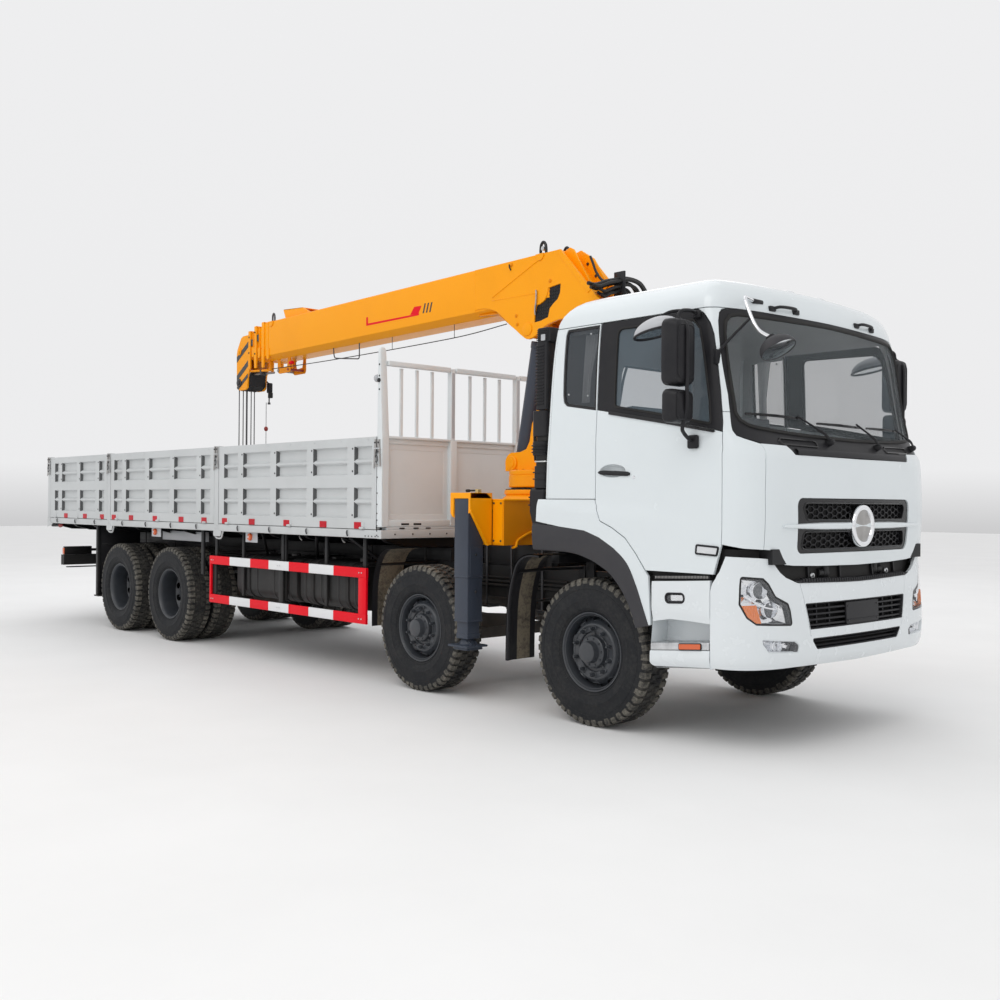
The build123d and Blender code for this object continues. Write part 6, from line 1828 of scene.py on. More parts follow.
def boom_parts():
    # ---- first section with its knee
    b = Build()
    tube_yz(b, hexo(0.190, 0.641, 0.190), -5.36, -0.520, 0.010, "yellow", 0.008)
    plate(b, [(-5.29, -0.168), (-0.560, -0.168), (-0.560, 0.168), (-5.29, 0.168)], 0.640, 0.6505, "yellow", plane="xy", step=0.6)
    collar(b, 0.190, 0.643, 0.190, -5.372, -5.318, "yellow", 0.013, 0.108)
    collar(b, 0.190, 0.643, 0.190, -5.250, -5.236, "yellow", 0.006, 0.20)
    ko = knee_outline()
    for s in (-1, 1):
        plate(b, ko, s * 0.170, s * 0.1975, "yellow", holes=[PATCH, circ(0, 0, 0.0465, 28)], edge=0.003)
        f = plane_xz(s * 0.1975, s)
        # rolled lip along the rear edge
        lip = [(-0.381, 0.643), (-0.015, 0.235), (-0.052, 0.212), (-0.410, 0.615)]
        plate(b, lip, s * 0.1975, s * 0.2035, "yellow", edge=0.0015)
        stroke(b, (-1.262, 0.349), (-0.640, 0.598), s * 0.1975, 0.018, 0.008, "yellow", s)
        stroke(b, (-1.265, 0.318), (-0.683, 0.302), s * 0.1975, 0.008, 0.004, "yellow", s)
        # line of weld where the plate meets the section
        w = [(x, z) for x, z in ko[:1] + [(-1.500, 0.643)]]
        stroke(b, (-1.500, 0.255), (-1.500, 0.640), s * 0.1935, 0.012, 0.006, "yellow", s)
        # half-round pads under the lifting eyes
        for x, z in ((-0.626, 0.600), (-5.170, 0.600)):
            yy = s * (0.1975 if x > -1 else 0.190)
            pad = [(x + 0.052 * math.cos(t), z + 0.045 - 0.062 * math.sin(t)) for t in np.linspace(0, math.pi, 14)]
            plate(b, pad, yy, yy + s * 0.010, "yellow")
        # pin bosses and fixings
        for x, z, r in ((-0.503, 0.384, 0.012), (-0.936, 0.134, 0.011), (-0.921, 0.054, 0.011), (-0.994, 0.609, 0.012)):
            b.lathe([(r * 1.5, 0.0), (r * 1.5, 0.004), (r, 0.006), (r * 0.9, 0.010), (0.0, 0.011)], (x, s * 0.1975, z), "yellow_dark", 16, "y", s)
        b.lathe([(0.072, 0.0), (0.072, 0.012), (0.064, 0.018), (0.047, 0.018), (0.0, 0.018)], (0, s * 0.1975, 0), "yellow", 40, "y", s)
        b.lathe([(0.020, 0.0), (0.020, 0.028), (0.0, 0.029)], (0, s * 0.1975, 0), "darksteel", 20, "y", s)
        b.lathe([(0.058, 0.0), (0.058, 0.007), (0.045, 0.010), (0.0, 0.010)], (-0.790, s * 0.1975, -0.005), "yellow", 36, "y", s)
    # sloping cover between the plates at the butt, with its ribs
    for q0, q1, wdt in (((-0.425, 0.640), (-0.058, 0.222), 0.168),):
        d = np.array(q1) - np.array(q0)
        d = d / np.linalg.norm(d)
        n = np.array([-d[1], d[0]]) * -1
        pts = [q0, q1, tuple(np.array(q1) - n * 0.010), tuple(np.array(q0) - n * 0.010)]
        plate(b, pts, -wdt, wdt, "yellow")
        for y in (-0.150, 0.150):
            for t in (0.12, 0.5, 0.86):
                p = np.array(q0) + (np.array(q1) - np.array(q0)) * t
                olathe(b, [(0.011, 0.0), (0.011, 0.006), (0.008, 0.010), (0.0, 0.011)], (p[0] + n[0] * 0.004, y, p[1] + n[1] * 0.004), (n[0], 0, n[1]), "darksteel", 10, up=(0, 1, 0))
    plate(b, [(-0.400, 0.640), (-0.330, 0.655), (-0.183, 0.560), (-0.010, 0.300), (-0.090, 0.215), (-0.120, 0.250)], 0.012, 0.036, "yellow", edge=0.003)
    plate(b, [(-0.410, 0.640), (-0.345, 0.665), (-0.300, 0.640), (-0.075, 0.270), (-0.095, 0.225), (-0.150, 0.250)], -0.112, -0.094, "yellow", edge=0.003)
    for x, z in ((-0.245, 0.52), (-0.150, 0.40)):
        b.lathe([(0.014, 0.0), (0.014, 0.006), (0.0, 0.007)], (x, 0.012, z), "darksteel", 14, "y", -1)
    # cross tube and lower web in the knee, in the darker painted-shade copy of the yellow
    b.lathe([(0.075, -0.170), (0.075, 0.170)], (-0.790, 0, -0.005), "yellow_dark", 36, "y", 1)
    plate(b, [(-1.480, 0.205), (-1.213, 0.190), (-1.040, 0.060), (-1.025, 0.072), (-1.205, 0.205), (-1.480, 0.218)], -0.170, 0.170, "yellow_dark")
    # wedge shaped rope guard on the top
    for y in (-0.135, 0.115):
        plate(b, [(-4.940, 0.648), (-4.990, 0.757), (-4.975, 0.765), (-4.580, 0.735), (-4.400, 0.652)], y, y + 0.020, "yellow", edge=0.002)
    plate(b, [(-4.985, 0.765), (-4.580, 0.736), (-4.580, 0.728), (-4.985, 0.756)], -0.135, 0.135, "yellow")
    # brackets of the telescoping gear below the front, in the darker painted-shade copy of the yellow
    for y in (-0.105, 0.105):
        plate(b, [(-5.160, 0.195), (-5.160, 0.045), (-5.120, 0.020), (-4.900, 0.020), (-4.880, 0.050), (-4.880, 0.195), (-4.930, 0.195), (-4.950, 0.095), (-5.080, 0.085), (-5.110, 0.195)], y - 0.006, y + 0.006, "yellow_dark")
    b.tube([(-5.140, -0.120, 0.060), (-5.140, 0.120, 0.060)], 0.018, "steel", 16)
    b.tube([(-4.925, -0.120, 0.055), (-4.925, 0.120, 0.055)], 0.014, "red_paint", 14)
    b.lathe([(0.0, -0.030), (0.019, -0.030), (0.021, -0.024), (0.021, 0.024), (0.019, 0.030), (0.0, 0.030)], (-4.865, -0.105, 0.128), "red", 18, "x", 1)
    place(b).out("boom_base_skin", "boom", angle=32, replaces="boom_base")
    # ---- dark patch, lifting eyes, thin lines: all on the first section
    k = Build()
    for s in (-1, 1):
        o = inset_poly(PATCH, -0.004)
        plate(k, o, s * 0.176, s * 0.184, "trim", edge=0.001)
        P = np.array(PATCH)
        gx = np.arange(P[:, 0].min(), P[:, 0].max(), 0.030)
        gz = np.arange(P[:, 1].min(), P[:, 1].max(), 0.030)
        for x in gx:
            for z in gz:
                q = np.array([(x, z), (x + 0.022, z), (x, z + 0.022), (x + 0.022, z + 0.022)])
                if in_poly(q, PATCH).all():
                    rows = [[(x, s * 0.184, z), (x + 0.022, s * 0.184, z), (x + 0.022, s * 0.184, z + 0.022), (x, s * 0.184, z + 0.022)],
                            [(x + 0.004, s * 0.190, z + 0.004), (x + 0.018, s * 0.190, z + 0.004), (x + 0.018, s * 0.190, z + 0.018), (x + 0.004, s * 0.190, z + 0.018)]]
                    k.strip(rows, "seal", closed_v=True, smooth=False)
                    k.add(rows[1], [(0, 1, 2, 3)], "seal", False)
    for y in (-0.150, 0.150):
        arch_lug(k, -0.632, 0.650, y, 0.034, 0.108, 0.0135, "gloss_black")
        arch_lug(k, -5.180, 0.655, y, 0.024, 0.088, 0.0105, "darksteel")
        k.tube([(-0.632, y - 0.012, 0.700), (-0.632, y + 0.012, 0.700)], 0.020, "alu", 14)
    # thin guide loop under the section
    lp = [(-3.971, -0.118, 0.200), (-3.965, -0.118, 0.130), (-3.949, -0.118, 0.092), (-3.900, -0.118, 0.074), (-3.540, -0.118, 0.030), (-3.495, -0.118, 0.028), (-3.482, -0.118, 0.058), (-3.480, -0.118, 0.195)]
    k.tube(smooth_path(lp, 4), 0.0065, "darksteel", 8)
    ln = [(-5.300, -0.110, 0.095), (-4.30, -0.112, 0.072), (-3.22, -0.114, 0.060), (-2.20, -0.114, 0.058), (-1.668, -0.114, 0.066), (-1.150, -0.114, 0.098)]
    k.tube(smooth_path(ln, 8), 0.0048, "hose", 8)
    k.rbox(-5.325, -5.285, -0.130, -0.090, 0.075, 0.205, "yellow_dark", 0.006, 2)
    for x in (-4.75, -2.9, -1.9):
        k.tube([(x, -0.114, 0.200), (x, -0.114, 0.064)], 0.003, "hose", 6)
    for s in (-1, 1):
        p = [(-1.02, s * 0.204, 0.615), (-1.015, s * 0.206, 0.590), (-1.00, s * 0.205, 0.560)]
        k.tube(smooth_path(p, 4), 0.006, "hose", 8)
        q = [(-0.674, s * 0.204, 0.325), (-0.665, s * 0.210, 0.300), (-0.668, s * 0.210, 0.230), (-0.684, s * 0.207, 0.150), (-0.690, s * 0.196, 0.110)]
        k.tube(smooth_path(q, 4), 0.0075, "steel", 8)
    # hose over the butt
    h1 = [(-0.150, -0.060, 0.560), (-0.118, -0.065, 0.500), (-0.060, -0.080, 0.400), (0.020, -0.090, 0.320), (0.100, -0.070, 0.300)]
    k.tube(smooth_path(h1, 6), 0.011, "hose", 10)
    place(k).out("boom_fittings", "boom", angle=35)
    # ---- painted marks, thin raised films on both sides
    m = Build()
    for s in (-1, 1):
        for poly, mat in (([(-3.254, 0.432), (-3.254, 0.342), (-2.362, 0.334), (-2.352, 0.352), (-3.222, 0.364), (-3.222, 0.432)], "red"),
                          ([(-2.500, 0.356), (-2.432, 0.429), (-2.316, 0.424), (-2.366, 0.350)], "red"),
                          ([(-2.300, 0.345), (-2.268, 0.440), (-2.246, 0.440), (-2.278, 0.345)], "black_stripe"),
                          ([(-2.248, 0.343), (-2.216, 0.438), (-2.194, 0.438), (-2.226, 0.343)], "black_stripe"),
                          ([(-2.196, 0.341), (-2.164, 0.436), (-2.142, 0.436), (-2.174, 0.341)], "black_stripe")):
            plate(m, poly, s * 0.1895, s * 0.1912, mat, edge=0.0005, step=0.3)
    place(m).out("boom_marks", "boom", angle=35)
    # ---- inner sections
    for i, (hw, zt, zb, xr, xf, tab) in enumerate(((0.165, 0.607, 0.222, -0.640, -5.560, 0.122), (0.140, 0.573, 0.254, -0.700, -5.745, 0.128)), 2):
        b = Build()
        tube_yz(b, hexo(hw, zt, zb), xf + 0.004, xr, 0.009, "yellow", 0.008)
        collar(b, hw, zt, zb, xf - 0.004, xf + 0.046, "yellow", 0.026, tab)
        collar(b, hw, zt, zb, xf + 0.085, xf + 0.098, "yellow", 0.016, zb + 0.02)
        for s in (-1, 1):
            b.bolt((xf + 0.020, s * (hw + 0.028), zb + 0.075), "y", 0.011, 0.010, "darksteel", s)
            b.bolt((xf + 0.020, s * (hw + 0.028), zt - 0.050), "y", 0.009, 0.008, "darksteel", s)
            # slide pads shown between collars
            b.rbox(xf + 0.046, xf + 0.088, s * (hw + 0.002), s * (hw + 0.020), zt - 0.16, zt - 0.08, "darksteel", 0.003, 1)
        place(b).out("boom_section_%d_skin" % i, "boom_%d" % i, angle=32, replaces="boom_section_%d" % i)
    # ---- head
    b = Build()
    tube_yz(b, hexo(0.115, 0.540, 0.286), -5.800, -0.760, 0.009, "yellow", 0.008)
    nose = [(-5.760, 0.566), (-5.935, 0.563), (-5.975, 0.545), (-6.070, 0.405), (-6.084, 0.350), (-6.084, -0.030), (-6.066, -0.085), (-6.010, -0.106), (-5.870, -0.108), (-5.826, -0.085), (-5.812, 0.060), (-5.766, 0.142), (-5.752, 0.300)]
    no = round_poly(nose, [0.01, 0.02, 0.02, 0.03, 0.03, 0.04, 0.03, 0.03, 0.03, 0.03, 0.02, 0.02, 0.03], 4)
    for s in (-1, 1):
        plate(b, no, s * 0.114, s * 0.136, "yellow", edge=0.003)
        b.lathe([(0.052, 0.0), (0.052, 0.008), (0.044, 0.012), (0.030, 0.012), (0.028, 0.024), (0.0, 0.026)], (-6.020, s * 0.136, -0.010), "darksteel", 28, "y", s)
        b.lathe([(0.044, 0.0), (0.044, 0.008), (0.030, 0.010), (0.026, 0.018), (0.0, 0.020)], (-6.010, s * 0.136, 0.380), "yellow", 24, "y", s)
        # black bars across the plate
        for zr, zl, t in ((0.508, 0.318, 0.072), (0.278, 0.086, 0.076), (0.120, -0.062, 0.058)):
            x0, x1 = -5.765, -6.080
            if zr > 0.45:
                x0 = -5.762
            poly = [(x0, zr), (x1, zl), (x1, zl - t), (x0, zr - t)]
            if zr < 0.2:
                poly = [(-5.812, 0.090), (-6.080, -0.060), (-6.070, -0.080), (-6.040, -0.094), (-5.815, 0.035)]
            plate(b, poly, s * 0.1355, s * 0.1375, "black_stripe", edge=0.0006, step=0.3)
    plate(b, [(-5.790, 0.566), (-5.935, 0.563), (-5.975, 0.545), (-6.070, 0.405), (-6.058, 0.395), (-5.966, 0.530), (-5.930, 0.552), (-5.790, 0.555)], -0.114, 0.114, "yellow")
    # inner plates between the sheave plates in the darker yellow: painted shade
    plate(b, [(-5.835, 0.285), (-5.835, 0.555), (-5.825, 0.555), (-5.825, 0.285)], -0.114, 0.114, "yellow_dark")
    for z in (0.06,):
        plate(b, [(-6.075, 0.05), (-6.075, 0.30), (-6.063, 0.30), (-6.063, 0.05)], -0.114, -0.060, "yellow_dark")
        plate(b, [(-6.075, 0.05), (-6.075, 0.30), (-6.063, 0.30), (-6.063, 0.05)], 0.060, 0.114, "yellow_dark")
    for y in (-0.084, -0.028, 0.028, 0.084):
        b.lathe([(0.030, -0.013), (0.070, -0.010), (0.088, -0.013), (0.0985, -0.013), (0.0985, -0.010), (0.0905, -0.003), (0.0905, 0.003), (0.0985, 0.010), (0.0985, 0.013), (0.088, 0.013), (0.070, 0.010), (0.030, 0.013)], (-6.020, y, -0.010), "seal", 48, "y", 1, close=True)
    for y in (-0.056, 0.0, 0.056):
        b.lathe([(0.036, -0.004), (0.060, -0.004), (0.060, 0.004), (0.036, 0.004)], (-6.020, y, -0.010), "steel", 24, "y", 1, close=True)
    b.tube([(-6.020, -0.120, -0.010), (-6.020, 0.120, -0.010)], 0.029, "darksteel", 20)
    for y in (-0.030, 0.030):
        b.lathe([(0.030, -0.011), (0.098, -0.011), (0.091, -0.002), (0.091, 0.002), (0.098, 0.011), (0.030, 0.011)], (-6.010, y, 0.380), "seal", 40, "y", 1, close=True)
    b.tube([(-6.010, -0.120, 0.380), (-6.010, 0.120, 0.380)], 0.026, "darksteel", 18)
    # dark guard at the back of the sheaves
    g = [(-5.905, -0.106), (-5.812, -0.060), (-5.800, 0.060), (-5.765, 0.125), (-5.775, 0.130), (-5.815, 0.070), (-5.825, -0.050), (-5.905, -0.090)]
    plate(b, g, -0.112, 0.112, "trim")
    for y in (-0.105, -0.055):
        b.tube([(-5.790, y, 0.118 if y < -0.1 else 0.080), (-5.330, y, 0.085 if y < -0.1 else 0.060)], 0.0145, "yellow" if y < -0.1 else "steel", 12)
    b.rbox(-5.560, -5.520, -0.120, -0.040, 0.045, 0.112, "darksteel", 0.006, 2)
    place(b).out("boom_head_skin", "boom_4", angle=32, replaces="boom_head")
    # limit switch hanging from the head, clear of the falls
    w = Build()
    c = BP((-5.800, -0.02, -0.020))
    w.rbox(c[0] - 0.005, c[0] + 0.055, 0.122, 0.178, c[2] - 0.115, c[2] + 0.010, "trim", 0.010, 2)
    w.rbox(c[0] + 0.020, c[0] + 0.070, 0.126, 0.174, c[2] - 0.180, c[2] - 0.110, "seal", 0.008, 2)
    w.tube([(c[0] + 0.020, 0.148, c[2] - 0.10), (c[0] + 0.018, 0.148, c[2] - 0.245)], 0.008, "seal", 10)
    w.lathe([(0.0, -0.012), (0.018, -0.012), (0.018, 0.012), (0.0, 0.012)], (c[0] + 0.018, 0.148, c[2] - 0.245), "darksteel", 16, "z")
    w.tube([(c[0] - 0.06, 0.130, c[2] + 0.06), (c[0] + 0.01, 0.148, c[2] + 0.0)], 0.010, "trim", 8)
    w.out("limit_switch", "boom_4", angle=40)
    return


boom_parts()


def ropes_and_hook():
    hx, hz = A - 6.8891, 3.0954
    b = Build()

    def rope(x, y, z0, z1):
        # six strands laid round the core
        n, m = 90, 6
        for k in range(m):
            pts = []
            for i in range(n + 1):
                z = z0 + (z1 - z0) * i / n
                a = 2 * math.pi * (k / m + (z - z0) / 0.16)
                pts.append((x + 0.0036 * math.cos(a), y + 0.0036 * math.sin(a), z))
            b.tube(pts, 0.0036, "rope", 4, caps=False)
    for dx, y in ((-0.088, -0.084), (-0.088, -0.028), (-0.088, 0.028), (-0.088, 0.084), (0.088, -0.084), (0.088, 0.028)):
        rope(hx + dx, y, 2.235, 2.995)
    ob = b.out("hoist_rope_falls", "rope", angle=80, replaces="hoist_ropes")
    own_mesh(ob)
    # short bends of rope over the head sheaves, kept with the rope falls
    k = Build()
    for dx, y in ((-1, -0.084), (-1, -0.028), (-1, 0.028), (-1, 0.084)):
        pts = [(hx - 0.088, y, 2.994), (hx - 0.090, y, hz - 0.02)] + [(hx + 0.0925 * math.cos(t), y, hz + 0.0925 * math.sin(t)) for t in np.linspace(math.radians(172), math.radians(8), 12)] + [(hx + 0.090, y, hz - 0.02), (hx + 0.088, y, 2.994)]
        k.tube(pts, 0.007, "rope", 8)
    k.tube([(hx + 0.17, 0.148, 2.86), (hx + 0.17, 0.148, 2.34)], 0.0035, "rope", 6)
    k.lathe([(0.0, -0.030), (0.016, -0.026), (0.025, -0.008), (0.025, 0.008), (0.016, 0.026), (0.0, 0.030)], (hx + 0.17, 0.148, 2.53), "red_paint", 20, "z")
    k.out("rope_bends", "rope", angle=60)
    h = Build()
    out = round_poly([(hx - 0.150, 2.262), (hx + 0.150, 2.262), (hx + 0.150, 2.120), (hx + 0.062, 1.962), (hx - 0.062, 1.962), (hx - 0.150, 2.120)], [0.05, 0.05, 0.05, 0.02, 0.02, 0.05], 5)
    for y in (-0.105, -0.060, 0.042, 0.087):
        plate(h, out, y, y + 0.018, "yellow", edge=0.003)
    for y in (-0.084, -0.028, 0.028, 0.084):
        h.lathe([(0.030, -0.012), (0.100, -0.012), (0.091, -0.003), (0.091, 0.003), (0.100, 0.012), (0.030, 0.012)], (hx, y, 2.135), "seal", 40, "y", 1, close=True)
    h.tube([(hx, -0.112, 2.135), (hx, 0.112, 2.135)], 0.026, "darksteel", 18)
    for s in (-1, 1):
        h.bolt((hx, s * 0.110, 2.135), "y", 0.030, 0.016, "darksteel", s)
        for q in range(3):
            x0 = hx - 0.135 + q * 0.095
            poly = [(x0, 2.250), (x0 + 0.045, 2.250), (x0 + 0.020, 2.150), (x0 - 0.012, 2.150)]
            plate(h, [(max(hx - 0.143, x), z) for x, z in poly], s * 0.1045, s * 0.1060, "black_stripe", edge=0.0004, step=0.3)
    h.rbox(hx - 0.070, hx + 0.070, -0.075, 0.075, 1.905, 1.985, "yellow_dark", 0.012, 3)
    h.lathe([(0.0, -0.06), (0.038, -0.06), (0.046, -0.045), (0.046, 0.0), (0.036, 0.012), (0.034, 0.07)], (hx, 0, 1.930), "darksteel", 28, "z")
    cpts, rad = [], []
    for t in np.linspace(0, 1, 30):
        a = math.radians(90 + 275 * t) if False else math.radians(75 + 262 * t)
        r = 0.095
        cpts.append((hx + r * math.cos(a), 0.0, 1.770 + r * math.sin(a)))
        rad.append(0.030 * (1 - 0.55 * max(0.0, (t - 0.55) / 0.45)) + 0.004 * math.sin(math.pi * t))
    h.tube(cpts, 0.03, "red_paint", 14, radii=rad)
    h.tube([(hx + 0.02, 0.0, 1.862), (hx, 0.0, 1.900)], 0.031, "red_paint", 14)
    h.rbox(hx + 0.022, hx + 0.108, -0.010, 0.010, 1.842, 1.858, "darksteel", 0.003, 1)
    h.out("hook_block_skin", "hook", angle=34, replaces="hook_block")


ropes_and_hook()


def column():
    b = Build()
    b.lathe([(0.0, 1.9145), (0.340, 1.9145), (0.368, 1.9130), (0.3735, 1.908), (0.3735, 1.876), (0.3690, 1.872), (0.3690, 1.868), (0.3765, 1.864), (0.3765, 1.772), (0.370, 1.762), (0.340, 1.760)], (SLX, 0, 0), "yellow", 80, "z")
    b.lathe([(0.355, 1.757), (0.355, 1.742), (0.10, 1.742)], (SLX, 0, 0), "seal", 64, "z")
    for i in range(20):
        a = 2 * math.pi * i / 20
        b.bolt((SLX + 0.345 * math.cos(a), 0.345 * math.sin(a), 1.913), "z", 0.013, 0.011, "yellow_dark")
    ear = [(A - 1.890 + 0.098 * math.cos(math.radians(t)), 1.985 + 0.098 * math.sin(math.radians(t))) for t in np.linspace(195, 85, 9)]
    top = [(PX + 0.152 * math.cos(math.radians(t)), PZ + 0.152 * math.sin(math.radians(t))) for t in np.linspace(150, -20, 14)]
    o = [(A - 1.985, 1.9135)] + ear + [(A - 1.790, 2.085), (A - 1.710, 2.110), (A - 1.668, 2.178), (A - 1.640, 2.330), (A - 1.600, 2.420), (A - 1.330, 2.900)] + top + [(A - 0.790, 2.900), (A - 1.080, 2.300), (A - 1.190, 1.9135)]
    for s in (-1, 1):
        plate(b, o, s * 0.130, s * 0.155, "yellow", edge=0.003, holes=[circ(A - 1.45, 2.25, 0.05, 18)])
        # foot pin boss
        b.lathe([(0.066, 0.0), (0.066, 0.012), (0.058, 0.018), (0.042, 0.018), (0.040, 0.024), (0.012, 0.025), (0.0, 0.022)], (A - 1.890, s * 0.155, 1.985), "yellow", 36, "y", s)
        b.lathe([(0.085, 0.0), (0.085, 0.014), (0.075, 0.020), (0.048, 0.020), (0.044, 0.030), (0.0, 0.030)], (PX, s * 0.2005, PZ), "yellow", 40, "y", s)
        b.lathe([(0.045, -0.05), (0.045, 0.0)], (PX, s * 0.2005, PZ), "steel", 32, "y", s)
    fw = [(A - 1.190, 1.914), (A - 1.080, 2.300), (A - 0.790, 2.900), (A - 0.845, 2.900), (A - 1.130, 2.300), (A - 1.240, 1.914)]
    plate(b, fw, -0.131, 0.131, "yellow", edge=0.003)
    # middle web in the darker yellow: painted shade inside the column
    mw = [(A - 1.500, 1.914), (A - 1.380, 2.300), (A - 1.150, 2.700), (A - 0.850, 2.900), (A - 0.790, 2.900), (A - 0.820, 2.850), (A - 1.110, 2.640), (A - 1.340, 2.280), (A - 1.460, 1.914)]
    plate(b, mw, -0.131, 0.131, "yellow_dark", edge=0.003)
    b.out("slew_column_skin", "slew", angle=32, replaces="slew_column")
    # winch with rope wound on, motor, valve and hoses
    w = Build()
    wx, wz = A - 1.010, 2.480
    w.lathe([(0.105, -0.108), (0.105, 0.108)], (wx, 0, wz), "darksteel", 40, "y")
    for s in (-1, 1):
        w.lathe([(0.05, 0.108), (0.160, 0.108), (0.165, 0.113), (0.165, 0.123), (0.160, 0.128), (0.060, 0.128)], (wx, 0, wz), "yellow", 48, "y", s)
    n = 14
    for i in range(n):
        y = -0.101 + 0.202 * i / (n - 1)
        w.tube([(wx + 0.113 * math.cos(t), y + 0.012 * (t / (2 * math.pi) - 0.5), wz + 0.113 * math.sin(t)) for t in np.linspace(0, 2 * math.pi, 33)[:-1]], 0.0072, "rope", 6, closed=True)
    w.lathe([(0.0, 0.21), (0.050, 0.21), (0.056, 0.200), (0.060, 0.128), (0.080, 0.128)], (wx, 0, wz), "trim", 28, "y", -1)
    w.lathe([(0.0, 0.19), (0.062, 0.19), (0.070, 0.180), (0.072, 0.128)], (wx, 0, wz), "yellow_dark", 28, "y", 1)
    for s in (-1, 1):
        plate(w, [(A - 1.150, 2.560), (A - 1.150, 2.440), (A - 1.030, 2.400), (A - 0.960, 2.420), (A - 0.960, 2.540), (A - 1.030, 2.570)], s * 0.129, s * 0.139, "yellow")
    # valve block and hose bundle up the front of the column
    w.rbox(A - 1.00, A - 0.84, -0.16, 0.16, 2.02, 2.26, "trim", 0.012, 2)
    for i, y in enumerate((-0.12, -0.07, -0.02, 0.03, 0.08, 0.13)):
        w.tube([(A - 0.92, y, 2.26), (A - 0.92, y, 2.33)], 0.010, "darksteel", 8)
        p = [(A - 0.92, y, 2.32), (A - 0.86, y, 2.45), (A - 0.80, y * 1.1, 2.75), (A - 0.715, y * 1.3 + 0.05, 3.05), (A - 0.66, y * 1.3 + 0.10, 3.20)]
        w.tube(smooth_path(p, 5), 0.0115, "hose", 8)
    w.out("winch_and_hoses", "slew", angle=40)
    # hoses arching from the boom butt over the back of the cab roof
    h = Build()
    base = [(-0.333, 3.478), (-0.241, 3.482), (-0.098, 3.536), (0.049, 3.577), (0.168, 3.600), (0.306, 3.590), (0.384, 3.546), (0.45, 3.46), (0.47, 3.36), (0.44, 3.27)]
    for i, (dx, dy, dz, r) in enumerate(((0.0, 0.0, -0.035, 0.017), (0.030, -0.01, -0.055, 0.015), (-0.035, 0.0, -0.065, 0.016), (0.02, 0.02, -0.095, 0.014), (-0.03, 0.01, -0.120, 0.014), (0.0, -0.02, -0.150, 0.015))):
        k = 1.0 - 0.10 * i
        pts = [(A - 0.80 + dx, 0.02 + (y - 0.02) * k + dy, z + dz * (0.6 + 0.4 * min(1, j / 3))) for j, (y, z) in enumerate(base)]
        pts += [(A - 0.80 + dx * 0.5, 0.30 + 0.02 * i, 3.05), (A - 0.86, 0.17, 2.80), (A - 0.92, 0.13, 2.45)]
        h.tube(smooth_path(pts, 5), r, "hose", 10)
    h.rbox(A - 0.86, A - 0.74, 0.055, 0.075, 3.40, 3.61, "trim", 0.004, 1)
    h.out("butt_hoses", "boom", angle=50)


column()


def cylinder():
    cx, cz, ex, ez = A - 1.890, 1.985, A - 1.890 + 1.2728 * math.sin(math.radians(10.87)), 1.985 + 1.2728 * math.cos(math.radians(10.87))
    L = 1.2728
    d = (math.sin(math.radians(10.87)), 0, math.cos(math.radians(10.87)))
    b = Build()
    olathe(b, [(0.050, 0.052), (0.080, 0.056), (0.092, 0.072), (0.0925, 0.10), (0.088, 0.104), (0.088, L - 0.215), (0.0935, L - 0.210), (0.0935, L - 0.160), (0.088, L - 0.151), (0.058, L - 0.150), (0.057, L - 0.30)], (cx, 0, cz), d, "jack", 48, up=(0, 1, 0))
    b.lathe([(0.036, -0.095), (0.064, -0.095), (0.064, 0.095), (0.036, 0.095)], (cx, 0, cz), "yellow", 40, "y", 1, close=True)
    p = [(cx + d[0] * t + 0.096, -0.02, cz + d[2] * t) for t in (0.12, 0.3, 0.6, 0.95)]
    b.tube(p, 0.009, "darksteel", 8)
    b.rbox(cx + d[0] * 0.12 + 0.080, cx + d[0] * 0.12 + 0.118, -0.05, 0.05, cz + 0.07, cz + 0.16, "darksteel", 0.006, 2)
    b.out("cylinder_barrel_skin", "cylinder", angle=34, replaces="lift_cylinder_barrel")
    r = Build()
    olathe(r, [(0.054, 0.20), (0.054, L - 0.075), (0.052, L - 0.065)], (cx, 0, cz), d, "chrome", 40, up=(0, 1, 0))
    r.lathe([(0.031, -0.055), (0.056, -0.055), (0.062, -0.049), (0.062, 0.049), (0.056, 0.055), (0.031, 0.055)], (ex, 0, ez), "yellow", 40, "y", 1, close=True)
    r.lathe([(0.0, -0.150), (0.026, -0.150), (0.030, -0.146), (0.030, 0.146), (0.026, 0.150), (0.0, 0.150)], (ex, 0, ez), "steel", 28, "y", 1)
    r.out("cylinder_rod_skin", "cylinder_rod", angle=34, replaces="lift_cylinder_rod")


cylinder()


